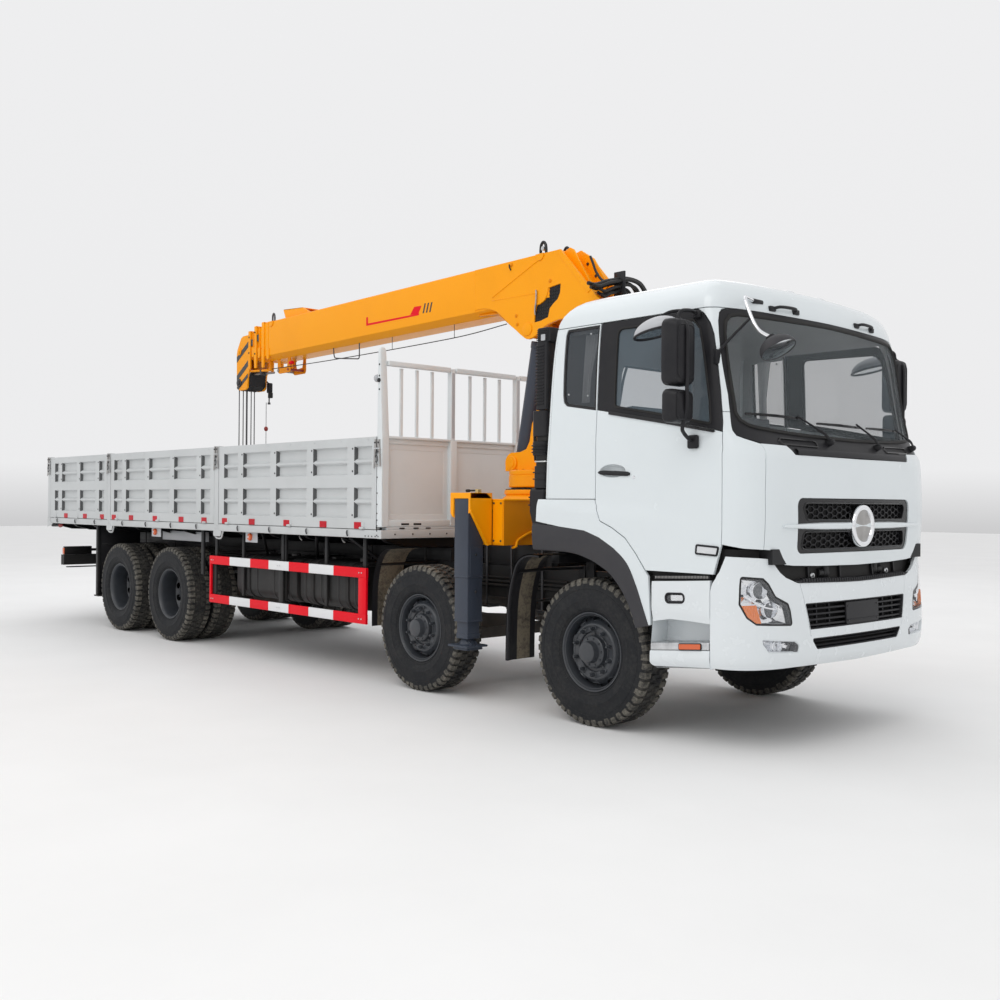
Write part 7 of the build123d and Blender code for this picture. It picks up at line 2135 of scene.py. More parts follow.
def crane_base():
    b = Build()
    x0, x1, xw = A - 1.990, A - 1.090, A - 1.470
    yc, ye = 0.460, 1.000
    # shell with the two beam tunnels open at the ends
    tun = [(LEGX + 0.008, LEGX + 0.108), (LEGX - 0.108, LEGX - 0.008)]
    holes = [[(t0, 1.330), (t1, 1.330), (t1, 1.570), (t0, 1.570)] for t0, t1 in tun]
    for s in (-1, 1):
        f = plane_xz(s * ye, s)
        panel(b, [(xw, 1.277), (x1, 1.277), (x1, 1.650), (xw, 1.650)], holes, f, "yellow", step=0.15, depth=0.002, edge=0.002)
        # tunnel walls in the darker yellow: painted shade inside the beam tunnels
        for h in holes:
            b.strip([pts3(f, h, 0.0), pts3(f, h, 0.90)], "yellow_dark", closed_v=True, smooth=False)
        # bolted cover on the near end
        cv = [(A - 1.216, 1.290), (A - 1.098, 1.290), (A - 1.098, 1.640), (A - 1.216, 1.640)]
        plate(b, cv, s * ye, s * (ye + 0.008), "yellow")
        for x in (A - 1.200, A - 1.116):
            for z in (1.312, 1.618):
                b.bolt((x, s * (ye + 0.008), z), "y", 0.009, 0.007, "darksteel", s)
        b.strip([[(xw, s * y, z) for z in (1.2795, 1.6475)] for y in (yc, 0.7, ye)], "yellow")
        b.strip([[(x, s * yc, z) for z in (1.2795, 1.6475)] for x in (x0, xw)], "yellow")
        # rounded gusset in the corner
        g = [(xw, yc * s), (xw, s * (yc + 0.16)), (xw - 0.16, yc * s)]
        plate(b, g, 1.634, 1.646, "yellow", plane="xy")
    # front face towards the cab in the darker yellow: painted shade
    b.strip([[(x1, y, z) for z in (1.2795, 1.6475)] for y in (-ye, -0.4, 0.4, ye)], "yellow_dark")
    b.strip([[(x0, y, z) for z in (1.2795, 1.6475)] for y in (-yc, 0.0, yc)], "yellow")
    # underside plate in the darker yellow: painted shade
    under = [(x0, -yc), (xw, -yc), (xw, -ye), (x1, -ye), (x1, ye), (xw, ye), (xw, yc), (x0, yc)]
    plate(b, under, 1.2755, 1.2815, "yellow_dark", plane="xy", step=0.4, edge=0.001)
    # top plate with a small overhang
    top = round_poly([(x0 - 0.008, -yc - 0.008), (xw - 0.008, -yc - 0.008), (xw - 0.008, -ye - 0.008), (x1 + 0.010, -ye - 0.008), (x1 + 0.010, ye + 0.008), (xw - 0.008, ye + 0.008), (xw - 0.008, yc + 0.008), (x0 - 0.008, yc + 0.008)], 0.008, 2)
    plate(b, top, 1.640, 1.6535, "yellow", plane="xy", step=0.4, edge=0.003)
    # pedestal ring
    b.lathe([(0.440, 1.652), (0.430, 1.664), (0.408, 1.684), (0.402, 1.692), (0.412, 1.700), (0.4155, 1.704), (0.4155, 1.730), (0.411, 1.7365), (0.396, 1.7400), (0.30, 1.7400)], (SLX, 0, 0), "yellow", 96, "z")
    for i in range(24):
        a = 2 * math.pi * (i + 0.5) / 24
        b.bolt((SLX + 0.395 * math.cos(a), 0.395 * math.sin(a), 1.739), "z", 0.011, 0.009, "darksteel")
    # ribs on the front face, in the darker painted-shade yellow, and legs down to the frame
    for y in (-0.62, -0.20, 0.20, 0.62):
        plate(b, [(x1, 1.285), (x1 + 0.022, 1.300), (x1 + 0.022, 1.620), (x1, 1.640)], y - 0.006, y + 0.006, "yellow_dark")
    for s in (-1, 1):
        b.rbox(x0 + 0.020, x1 - 0.020, min(s * 0.345, s * 0.425), max(s * 0.345, s * 0.425), 1.072, 1.276, "chassis", 0.006, 2)
        for x in (x0 + 0.10, x0 + 0.42, x1 - 0.10):
            b.tube([(x, s * 0.455, 0.70), (x, s * 0.455, 1.34)], 0.012, "darksteel", 10)
            b.rbox(x - 0.05, x + 0.05, s * 0.43, s * 0.475, 1.325, 1.345, "darksteel", 0.004, 1)
            b.rbox(x - 0.05, x + 0.05, s * 0.34, s * 0.475, 0.690, 0.712, "darksteel", 0.004, 1)
    # pipe on the front face
    pp = [(x1 + 0.014, -0.45, 1.372), (x1 + 0.018, -0.664, 1.378), (x1 + 0.018, -0.726, 1.377), (x1 + 0.018, -0.845, 1.326), (x1 + 0.018, -0.868, 1.300), (x1 + 0.014, -0.874, 1.270), (x1 - 0.03, -0.874, 1.255)]
    b.tube(smooth_path(pp, 5), 0.0105, "yellow", 10)
    b.out("crane_base_skin", "chassis", angle=32, replaces="crane_base")
    # control levers and valve on top, both ends
    v = Build()
    for s in (-1, 1):
        v.rbox(A - 1.452, A - 1.412, min(s * 0.955, s * 0.995), max(s * 0.955, s * 0.995), 1.654, 1.735, "brass", 0.006, 2)
        v.tube([(A - 1.430, s * 0.975, 1.718), (A - 1.475, s * 0.980, 1.724), (A - 1.545, s * 0.985, 1.722)], 0.0075, "trim", 8)
        v.lathe([(0.0, -0.02), (0.012, -0.02), (0.013, 0.0), (0.012, 0.02), (0.0, 0.02)], (A - 1.550, s * 0.985, 1.722), "seal", 12, "x")
        for i in range(5 if s > 0 else 0):
            x = A - 1.90 + i * 0.065
            v.tube([(x, s * 0.36, 1.665), (x - 0.01, s * 0.38, 1.77)], 0.006, "steel", 8)
            v.lathe([(0.0, -0.012), (0.013, -0.008), (0.013, 0.008), (0.0, 0.012)], (x - 0.01, s * 0.383, 1.780), "seal", 14, "z")
        if s > 0:
            v.rbox(A - 1.93, A - 1.60, 0.425, 0.458, 1.654, 1.690, "trim", 0.006, 2)
            for j in range(4):
                h = [(A - 1.40 + 0.03 * j, 0.93, 1.672), (A - 1.42 + 0.03 * j, 0.70, 1.675), (A - 1.50 + 0.03 * j, 0.52, 1.672), (A - 1.62, 0.440 + 0.004 * j, 1.676)]
                v.tube(smooth_path(h, 5), 0.009, "hose", 8)
    v.out("base_controls", "chassis", angle=40)


crane_base()


def jack(s, name):
    b = Build()
    x = LEGX
    # beam
    t0 = x + 0.013 if s < 0 else x - 0.103
    sec = round_poly([(t0, 1.337), (t0 + 0.090, 1.337), (t0 + 0.090, 1.563), (t0, 1.563)], 0.010, 3)
    b.strip([[(p, s * 0.90, q) for p, q in sec], [(p, s * -0.90, q) for p, q in sec]] if False else [[(p, s * 1.084, q) for p, q in sec], [(p, s * -0.900, q) for p, q in sec]], "jack", closed_v=True)
    si = inset_poly(sec, 0.012)
    b.strip([[(p, s * -0.900, q) for p, q in sec], [(p, s * -0.900, q) for p, q in si], [(p, s * 1.0, q) for p, q in si]], "jack", closed_v=True)
    # holder: yellow plates round the head of the leg
    o = [(s * 1.012, 1.652), (s * 1.012, 1.277), (s * 1.072, 1.277), (s * 1.250, 1.560), (s * 1.252, 1.640), (s * 1.252, 1.700), (s * 1.080, 1.702)]
    xl, xr = x - 0.132, x + 0.116
    for xa, xb in ((xl, xl + 0.040), (xr - 0.026, xr)):
        plate(b, o, xa, xb, "yellow", plane="yz", edge=0.002)
    # cap over the head
    cap = round_poly([(xl, s * 1.014), (xr, s * 1.014), (xr, s * 1.252), (xl, s * 1.252)], 0.006, 2)
    plate(b, cap, 1.656, 1.702, "yellow", plane="xy")
    plate(b, [(xl, 1.277), (xr, 1.277), (xr, 1.660), (xl, 1.660)], s * 1.013, s * 1.022, "yellow")
    # outer border plate with the lower cut
    fp = [(xl, 1.700), (xr, 1.700), (xr, 1.548), (xr - 0.010, 1.538), (xr - 0.024, 1.535), (xr - 0.024, 1.655), (xl + 0.038, 1.655), (xl + 0.038, 1.498), (xl + 0.020, 1.510), (xl, 1.535)]
    plate(b, fp, s * 1.246, s * 1.254, "yellow")
    # sloped lower flange of the holder
    for xa, xb in ((xr - 0.006, xr + 0.010),):
        q = [(s * 1.066, 1.272), (s * 1.256, 1.556), (s * 1.248, 1.566), (s * 1.058, 1.282)]
        plate(b, q, xa, xb, "yellow", plane="yz", edge=0.001)
    b.tube([(x - 0.10, s * 1.02, 1.45), (x + 0.10, s * 1.02, 1.45)], 0.02, "yellow_dark", 14)
    b.out("jack_holder_" + name, "outrigger_" + name, angle=32, replaces="outrigger_beam_" + name)
    # outer leg tube
    k = Build()
    def sq(h, y0, y1, z, r=0.010):
        return [(x + p, q, z) for p, q in round_poly([(-h, s * y0), (h, s * y0), (h, s * y1), (-h, s * y1)], r, 3)]
    rows = [sq(0.085, 1.080, 1.250, 1.652), sq(0.085, 1.080, 1.250, 1.028), sq(0.0875, 1.0775, 1.2525, 1.024), sq(0.0875, 1.0775, 1.2525, 1.016), sq(0.082, 1.083, 1.247, 1.012), sq(0.082, 1.083, 1.247, 0.668),
            sq(0.0855, 1.0795, 1.2505, 0.664), sq(0.0855, 1.0795, 1.2505, 0.656), sq(0.070, 1.095, 1.235, 0.654), sq(0.070, 1.095, 1.235, 0.75)]
    k.strip(rows, "jack", closed_v=True)
    k.add(rows[0], [tuple(range(len(rows[0])))], "jack", False)
    # stiffening plate down the front face
    k.rbox(x + 0.082, x + 0.088, s * 1.105, s * 1.225, 1.03, 1.26, "jack", 0.002, 1)
    for z in (1.20, 0.90):
        k.bolt((x + 0.086, s * 1.165, z), "x", 0.011, 0.009, "darksteel", 1)
    # hose down the inner face
    hp = [(x + 0.02, s * 1.070, 1.60), (x + 0.02, s * 1.062, 1.50), (x + 0.02, s * 1.064, 1.10), (x + 0.02, s * 1.066, 0.98)]
    k.tube(smooth_path(hp, 4), 0.009, "hose", 8)
    k.out("jack_tube_" + name, "outrigger_" + name, angle=32)
    m = Build()
    rows = [sq(0.066, 1.099, 1.231, 1.20, 0.008), sq(0.066, 1.099, 1.231, 0.560, 0.008), sq(0.070, 1.095, 1.235, 0.556, 0.008), sq(0.070, 1.095, 1.235, 0.520, 0.008), sq(0.052, 1.113, 1.217, 0.512, 0.008)]
    m.strip(rows, "jack", closed_v=True)
    m.lathe([(0.0, 0.525), (0.040, 0.522), (0.055, 0.500), (0.066, 0.474), (0.075, 0.468)], (x, s * 1.165, 0), "jack", 32, "z")
    ft = round_poly([(x - 0.125, s * 1.050), (x + 0.118, s * 1.050), (x + 0.118, s * 1.280), (x - 0.125, s * 1.280)], 0.012, 4)
    plate(m, ft, 0.452, 0.468, "jack", plane="xy", edge=0.003)
    plate(m, round_poly([(x - 0.085, s * 1.078), (x + 0.085, s * 1.078), (x + 0.085, s * 1.252), (x - 0.085, s * 1.252)], 0.010, 3), 0.428, 0.452, "jack", plane="xy", edge=0.003)
    for sx in (-1, 1):
        for sy in (-1, 1):
            pl = [(x + sx * 0.030, 0.468), (x + sx * 0.090, 0.468), (x + sx * 0.036, 0.512)]
            plate(m, pl, s * 1.165 + sy * 0.030 - 0.004, s * 1.165 + sy * 0.030 + 0.004, "jack", edge=0.001)
    m.out("jack_foot_" + name, "jack_" + name, angle=32, replaces="jack_leg_" + name)


jack(-1, "right")
jack(1, "left")


# ------------------------------------------------------------------ load bed
BX0, BX1 = A - 10.190, A - 2.405
# near-black paint for the rear wall of each gate recess: painted shade standing in for the shadow deep in the recesses
M["bed_grime"] = paint("bed_recess_painted_shade_paint", (0.085, 0.088, 0.090), rough=0.6, var=0.2, coat=0.0, orange=0.2)
# headboard paint, lighter and cooler than the bed paint: painted light offsetting the shade and the orange bounce light
# on the headboard
M["head"] = paint("headboard_paint_lightened_painted_light", (0.70, 0.735, 0.745), rough=0.42, var=0.04, coat=0.08, grime=0.12, grime_col=(0.42, 0.40, 0.36), grime_top=1.55, orange=0.06)
HW = 1.250
GZ0, GZ1 = 1.378, 2.203


def steps(v0, v1, n=4):
    return [v0 + (v1 - v0) * i / n for i in range(n + 1)]


def recess_rows():
    """(z, depth) down the face of a pressed panel, 0 to 1."""
    rows = []

    def go(z0, z1, d0, d1):
        for i in range(1, 5):
            t = i / 4
            rows.append((z0 + (z1 - z0) * t, d0 + (d1 - d0) * (t * t * (3 - 2 * t))))
    rows.append((GZ0, 0.0))
    rows.append((1.470, 0.0))
    go(1.470, 1.482, 0, 1)
    go(1.592, 1.610, 1, 0.22)
    go(1.636, 1.654, 0.22, 1)
    go(1.738, 1.750, 1, 0)
    rows.append((1.808, 0.0))
    go(1.866, 1.878, 0, 1)
    go(1.955, 1.973, 1, 0.22)
    go(1.999, 2.017, 0.22, 1)
    go(2.112, 2.124, 1, 0)
    rows.append((GZ1 - 0.003, 0.0))
    out = []
    last = None
    for z, d in rows:
        if last is not None and z <= last + 1e-6:
            continue
        out.append((z, d))
        last = z
    # a row where each flat begins
    res = []
    for i, (z, d) in enumerate(out):
        if i and abs(out[i - 1][1] - d) < 1e-6 or i == 0 or z - out[i - 1][0] < 0.02:
            res.append((z, d))
        else:
            res.append((z - (0.012 if z > 1.9 or z < 1.6 else 0.012), out[i - 1][1]))
            res.append((z, d))
    return res


def gate_field(zr, lo, hi, recs):
    """Columns along the gate: (x, factor)."""
    cols = [(lo, 0.0)]
    for a, c in recs:
        for i in range(5):
            t = i / 4
            cols.append((a + 0.012 * t, t * t * (3 - 2 * t)))
        m = (a + c) / 2
        cols.append((m, 1.0))
        for i in range(5):
            t = i / 4
            cols.append((c - 0.012 * (1 - t), 1 - t * t * (3 - 2 * t)))
    cols.append((hi, 0.0))
    return cols


ZROWS = [(GZ0, 0.0), (1.471, 0.0), (1.474, 0.15), (1.478, 0.55), (1.483, 0.93), (1.487, 1.0), (1.590, 1.0), (1.597, 0.90), (1.604, 0.50), (1.611, 0.16), (1.618, 0.05), (1.630, 0.05),
         (1.637, 0.16), (1.644, 0.50), (1.651, 0.90), (1.658, 1.0), (1.735, 1.0), (1.739, 0.93), (1.744, 0.55), (1.748, 0.15), (1.751, 0.0), (1.808, 0.0), (1.864, 0.0), (1.867, 0.15), (1.871, 0.55),
         (1.876, 0.93), (1.880, 1.0), (1.952, 1.0), (1.959, 0.90), (1.966, 0.50), (1.973, 0.16), (1.980, 0.05), (1.992, 0.05), (1.999, 0.16), (2.006, 0.50), (2.013, 0.90), (2.020, 1.0),
         (2.107, 1.0), (2.111, 0.93), (2.116, 0.55), (2.120, 0.15), (2.123, 0.0), (GZ1 - 0.004, 0.0)]


def bands_of(cols):
    """Splits the columns so that the rear wall of each recess takes the near-black painted shade."""
    out = []
    st = 0
    i = 0
    while i < len(cols) - 1:
        if cols[i][1] == 0.0 and cols[i + 1][1] > 0.0 and cols[i + 1][0] - cols[i][0] < 0.02:
            out.append((st, i + 1, "bed"))
            out.append((i, i + 5, "bed_grime"))
            st = i + 4
            i += 4
        else:
            i += 1
    out.append((st, len(cols), "bed"))
    return out


def gate_skin(b, lo, hi, recs, face, refl=(), hooks=(), dep=0.036):
    """face(x, z, w) gives a point w metres inward from the outer face."""
    cols = gate_field(None, lo, hi, recs)
    zs = ZROWS
    for w0, fl in ((0.0, False), (0.0035, True)):
        for a, c, mat in bands_of(cols):
            rows = []
            for z, d in zs:
                rows.append([face(x, z, w0 + dep * d * f) for x, f in cols[a:c]])
            if fl:
                b.strip(rows[::-1], "bed")
            elif mat == "bed":
                b.strip(rows, mat)
            else:
                # only the deep rows of each rear wall get the painted shade; the shallow rows keep the bed paint
                k = 0
                while k < len(rows) - 1:
                    deep = zs[k][1] + zs[k + 1][1] > 0.12
                    e = k + 1
                    while e < len(rows) - 1 and (zs[e][1] + zs[e + 1][1] > 0.12) == deep:
                        e += 1
                    b.strip(rows[k:e + 1], mat if deep else "bed")
                    k = e
    # frame behind the sheet
    t = SIDET = 0.045
    for z0, z1 in ((GZ0, 1.458), (2.140, GZ1)):
        ring = [(0.002, z0), (t, z0), (t, z1), (0.002, z1)]
        rr = round_poly(ring, 0.005, 2)
        b.strip([[face(lo, z, w) for w, z in rr], [face(hi, z, w) for w, z in rr]], "bed", closed_v=True)
        for x in (lo, hi):
            P = [face(x, z, w) for w, z in rr]
            b.add(P, [tuple(range(len(P)))], "bed", False)
    ends = [(lo, lo + 0.050), (hi - 0.050, hi)]
    bands = [(recs[i][1] + 0.012, recs[i + 1][0] - 0.012) for i in range(len(recs) - 1)]
    for x0, x1 in ends + bands:
        rr = round_poly([(x0, 0.003), (x1, 0.003), (x1, 0.040), (x0, 0.040)], 0.005, 2)
        b.strip([[face(x, 1.455, w) for x, w in rr], [face(x, 2.142, w) for x, w in rr]], "bed", closed_v=True)
    # edge round the sheet
    for x in (lo, hi):
        b.strip([[face(x, z, 0.0) for z, d in zs], [face(x, z, 0.012) for z, d in zs]], "bed")
    # rolled top edge
    tp = [face(lo, GZ1 - 0.004, 0.0), face(hi, GZ1 - 0.004, 0.0)]
    b.strip([[face(x, GZ1 - 0.004 + dz, w) for x in (lo, hi)] for dz, w in ((0.0, 0.0), (0.003, 0.001), (0.0042, 0.004), (0.0042, 0.043), (0.002, 0.045))], "bed")


def gate_dots(b, face, n, xs, zs, r=0.0065, mat="darksteel"):
    for x in xs:
        for z in zs:
            c = face(x, z, -0.0002)
            olathe(b, [(r * 1.25, 0.0), (r * 1.2, 0.0025), (r * 0.8, 0.0045), (0.0, 0.005)], c, n, mat, 10, up=(0, 0, 1))


REARS = {"rear": [(-9.940, -9.800), (-9.690, -9.180), (-9.070, -8.575), (-8.460, -8.300)],
         "middle": [(-8.000, -7.765), (-7.654, -7.130), (-7.017, -6.485), (-6.373, -5.840), (-5.728, -5.520)],
         "front": [(-5.215, -4.925), (-4.815, -4.278), (-4.166, -3.610), (-3.499, -2.935), (-2.825, -2.555)]}
RANGES = {"rear": (-10.092, -8.208), "middle": (-8.102, -5.433), "front": (-5.327, -2.488)}
REFL = {"rear": [-9.54, -8.90, -8.36], "middle": [-8.0, -7.50, -6.85, -6.19, -5.65], "front": [-5.19, -4.63, -3.96, -3.32, -2.76]}
HOOKS = {"rear": [-9.83, -9.21, -8.58], "middle": [-7.74, -7.09, -6.44, -5.82], "front": [-4.91, -4.28, -3.60, -2.92]}


def gates():
    for sn, s in SIDES:
        for pos, (lo, hi) in RANGES.items():
            b = Build()

            def face(x, z, w, s=s):
                return (A + x, s * (HW - w), z)
            recs = [(a, c) for a, c in REARS[pos]]
            gate_skin(b, lo, hi, recs, face)
            n = (0, s, 0)
            xs = [(recs[i][1] + recs[i + 1][0]) / 2 + 0.03 for i in range(len(recs) - 1)]
            gate_dots(b, face, n, xs, (2.105, 1.900, 1.500), 0.0075)
            gate_dots(b, face, n, np.linspace(lo + 0.12, hi - 0.12, 7), (2.180,), 0.0045, "alu")
            for x in REFL[pos]:
                p = [(A + x - 0.055, 1.3790), (A + x + 0.055, 1.3790), (A + x + 0.055, 1.4380), (A + x - 0.055, 1.4380)]
                plate(b, round_poly(p, 0.003, 2), s * (HW - 0.001), s * (HW + 0.0060), "red_lens", edge=0.001)
            # hinge leaves and barrels on the pin line
            L = hi - lo
            for d in (0.2, L / 2, L - 0.2):
                x = A + lo + d
                b.lathe([(0.0, -0.030), (0.010, -0.030), (0.0115, -0.026), (0.0115, 0.026), (0.010, 0.030), (0.0, 0.030)], (x, s * 1.262, 1.385), "bed", 16, "x")
                plate(b, [(x - 0.028, 1.376), (x + 0.028, 1.376), (x + 0.022, 1.440), (x - 0.022, 1.440)], s * (HW - 0.002), s * (HW + 0.005), "bed")
            b.out("gate_%s_%s_skin" % (sn, pos), "side_%s_%s" % (sn, pos), angle=38, replaces="drop_side_%s_%s" % (sn, pos))
    # tailgate
    b = Build()

    def tface(y, z, w):
        return (BX0 + w, y, z)
    recs = [(-1.100, -0.840), (-0.730, -0.230), (-0.120, 0.380), (0.490, 0.840), (0.930, 1.110)]
    recs = [(-1.090, -0.700), (-0.590, -0.055), (0.055, 0.590), (0.700, 1.090)]
    gate_skin(b, -1.160, 1.160, recs, tface)
    gate_dots(b, tface, (-1, 0, 0), (-0.645, 0.0, 0.645), (2.105, 1.900, 1.500), 0.0075)
    for y in (-0.95, -0.38, 0.38, 0.95):
        plate(b, round_poly([(y - 0.055, 1.3800), (y + 0.055, 1.3800), (y + 0.055, 1.4400), (y - 0.055, 1.4400)], 0.003, 2), BX0 - 0.0060, BX0 + 0.001, "red_lens", plane="yz", edge=0.001)
    for y in (-0.8, 0.0, 0.8):
        b.lathe([(0.0, -0.030), (0.010, -0.030), (0.0115, -0.026), (0.0115, 0.026), (0.010, 0.030), (0.0, 0.030)], (BX0 - 0.012, y, 1.385), "bed", 16, "y")
    b.out("tailgate_skin", "tailgate", angle=38, replaces="tailgate")


gates()


def latch(b, x, s, zt=2.200):
    """Over-centre fastener hanging on the face of a post."""
    y = s * (HW + 0.004)
    plate(b, [(x - 0.036, zt + 0.006), (x + 0.036, zt + 0.006), (x + 0.034, zt - 0.060), (x - 0.034, zt - 0.060)], s * (HW - 0.001), s * (HW + 0.006), "steel")
    for dx, top, ln, tilt in ((-0.026, 0.010, 0.250, -0.012), (0.024, 0.000, 0.235, 0.014)):
        p = [(x + dx - 0.010, zt + top), (x + dx + 0.010, zt + top), (x + dx + 0.014, zt - 0.06), (x + dx + 0.010 + tilt, zt - ln * 0.6), (x + dx + 0.008 + tilt * 1.6, zt - ln), (x + dx - 0.006 + tilt * 1.6, zt - ln), (x + dx - 0.008 + tilt, zt - ln * 0.6), (x + dx - 0.014, zt - 0.06)]
        plate(b, p, s * (HW + 0.008), s * (HW + 0.013), "steel", edge=0.001)
        b.tube([(x + dx, s * (HW - 0.002), zt - 0.022), (x + dx, s * (HW + 0.020), zt - 0.022)], 0.008, "darksteel", 10)
        b.tube([(x + dx + tilt, s * (HW + 0.002), zt - 0.130), (x + dx + tilt, s * (HW + 0.018), zt - 0.130)], 0.006, "alu", 10)
    b.tube([(x - 0.045, s * (HW + 0.012), zt - 0.075), (x + 0.045, s * (HW + 0.012), zt - 0.075)], 0.007, "alu", 10)
    ring = [(x + 0.018 * math.cos(t), s * (HW + 0.018), zt - 0.165 + 0.030 * math.sin(t)) for t in np.linspace(0, 2 * math.pi, 25)[:-1]]
    b.tube(ring, 0.0045, "darksteel", 6, closed=True)
    hk = [(x - 0.010, s * (HW + 0.015), zt - 0.075), (x - 0.020, s * (HW + 0.018), zt - 0.120), (x - 0.012, s * (HW + 0.018), zt - 0.200), (x + 0.006, s * (HW + 0.016), zt - 0.235), (x + 0.020, s * (HW + 0.014), zt - 0.215)]
    b.tube(smooth_path(hk, 4), 0.0055, "steel", 8)
    b.rbox(x - 0.030, x + 0.030, min(s * (HW - 0.002), s * (HW + 0.014)), max(s * (HW - 0.002), s * (HW + 0.014)), zt - 0.112, zt - 0.092, "darksteel", 0.003, 1)


def bed_frame():
    b = Build()
    # sills with a soft corner, and the cross members at both ends
    for s in (-1, 1):
        sec = round_poly([(s * 1.188, 1.372), (s * 1.188, 1.296), (s * 1.250, 1.296), (s * 1.250, 1.372)], 0.007, 3)
        b.strip([[(x, y, z) for y, z in sec] for x in (BX0 + 0.003, BX1 - 0.003)], "bed", closed_v=True)
        # posts carried down over the sill, with wider feet
        for xc in (-8.155, -5.380):
            x = A + xc
            o = [(x - 0.045, 1.300), (x - 0.062, 1.296), (x - 0.062, 1.252), (x - 0.050, 1.240), (x + 0.080, 1.240), (x + 0.098, 1.252), (x + 0.112, 1.296), (x + 0.060, 1.300), (x + 0.045, 1.330), (x + 0.045, 2.212), (x - 0.045, 2.212), (x - 0.045, 1.330)]
            plate(b, o, s * 1.2465, s * 1.2525, "bed", edge=0.0015)
            b.rbox(x - 0.045, x + 0.045, min(s * 1.190, s * 1.2475), max(s * 1.190, s * 1.2475), 1.370, 2.212, "bed", 0.005, 2)
            # J shaped stay under the sill and its roller
            j = [(x - 0.050, s * 1.235, 1.245), (x - 0.010, s * 1.235, 1.222), (x + 0.060, s * 1.235, 1.218), (x + 0.092, s * 1.235, 1.232), (x + 0.110, s * 1.235, 1.270), (x + 0.128, s * 1.235, 1.305)]
            b.tube(smooth_path(j, 5), 0.010, "bed", 8)
            b.tube([(x - 0.052, s * 1.215, 1.262), (x + 0.052, s * 1.215, 1.262)], 0.021, "seal", 16)
            for dz in (1.33, 1.36):
                b.bolt((x, s * 1.2525, dz), "y", 0.007, 0.005, "alu", s)
        # rear corner posts
        b.rbox(BX0, BX0 + 0.090, min(s * 1.190, s * 1.2505), max(s * 1.190, s * 1.2505), 1.296, 2.214, "bed", 0.006, 2)
        o = [(BX0 - 0.004, 1.300), (BX0 - 0.004, 1.240), (BX0 + 0.20, 1.296), (BX0 + 0.094, 1.310), (BX0 + 0.094, 1.372), (BX0 - 0.004, 1.372)]
        plate(b, o, s * 1.249, s * 1.2545, "bed", edge=0.0015)
        # bolts on the front corner
        for z in (1.325, 1.365, 1.410, 1.46, 1.52, 1.60, 1.70, 1.84, 1.99, 2.12):
            b.bolt((BX1 - 0.066, s * 1.2505, z), "y", 0.0065, 0.005, "darksteel", s)
        for x in (-0.24, -0.19, -0.14, -0.09, -0.045):
            b.bolt((BX1 + x, s * 1.2505, 1.315), "y", 0.0062, 0.005, "darksteel", s)
        # hinge keepers along the sill
        for L in HOOKS.values():
            for x in L:
                x += A
                b.rbox(x - 0.016, x + 0.016, min(s * 1.246, s * 1.258), max(s * 1.246, s * 1.258), 1.318, 1.366, "bed", 0.004, 2)
                hk = [(x + 0.004, s * 1.258, 1.362), (x + 0.006, s * 1.266, 1.345), (x + 0.008, s * 1.264, 1.322), (x + 0.010, s * 1.258, 1.308)]
                b.tube(smooth_path(hk, 4), 0.0065, "darksteel", 8)
    # end beams
    for x0, x1, f in ((BX0, BX0 + 0.06, -1), (BX1 - 0.06, BX1, 1)):
        sec = round_poly([(x0, 1.296), (x1, 1.296), (x1, 1.372), (x0, 1.372)], 0.006, 3)
        b.strip([[(x, y, z) for x, z in sec] for y in (-1.2515, -0.6, 0.0, 0.6, 1.2515)], "bed", closed_v=True)
        for y in (-1.2515, 1.2515):
            b.add([(x, y, z) for x, z in sec], [tuple(range(len(sec)))], "bed", False)
        xx = x1 if f > 0 else x0
        for y in np.linspace(-1.10, 1.10, 12):
            b.bolt((xx, y, 1.334), "x", 0.008, 0.005, "darksteel", f)
    # front upstand with its slots
    b.rbox(BX1 - 0.080, BX1 - 0.004, -1.188, 1.188, 1.371, 1.3995, "bed", 0.004, 2)
    for y in (-1.02, -0.86, -0.72):
        b.rbox(BX1 - 0.004, BX1 + 0.002, y - 0.030, y + 0.030, 1.380, 1.393, "trim", 0.003, 1)
    # deck sheets, lapped
    ys = np.linspace(-1.186, 1.186, 6)
    for i in range(5):
        xs = np.linspace(BX0 + 0.06, BX1 - 0.08, 7)
        for j in range(6):
            b.rbox(xs[j] + 0.0015, xs[j + 1] - 0.0015, ys[i] + 0.0015, ys[i + 1] - 0.0015, 1.388, 1.400, "bed", 0.003, 1)
    b.rbox(BX0 + 0.06, BX1 - 0.08, -1.187, 1.187, 1.361, 1.389, "chassis", 0.003, 1)
    # latches
    for s in (-1, 1):
        for xc in (-8.155, -5.380):
            latch(b, A + xc, s)
        latch(b, BX0 + 0.045, s)
        latch(b, BX1 - 0.060, s, 2.170)
    # rear lock bars
    for s in (-1, 1):
        b.tube([(BX0 - 0.014, s * 1.205, 1.50), (BX0 - 0.014, s * 1.205, 2.16)], 0.010, "bed", 12)
        for z in (1.56, 1.85, 2.10):
            b.rbox(BX0 - 0.026, BX0 + 0.002, s * 1.205 - 0.022, s * 1.205 + 0.022, z - 0.018, z + 0.018, "bed", 0.004, 2)
        hd = [(BX0 - 0.016, s * 1.205, 1.72), (BX0 - 0.030, s * 1.150, 1.70), (BX0 - 0.032, s * 1.08, 1.66)]
        b.tube(smooth_path(hd, 4), 0.008, "bed", 10)
    b.out("bed_body", "chassis", angle=38, replaces="load_bed")
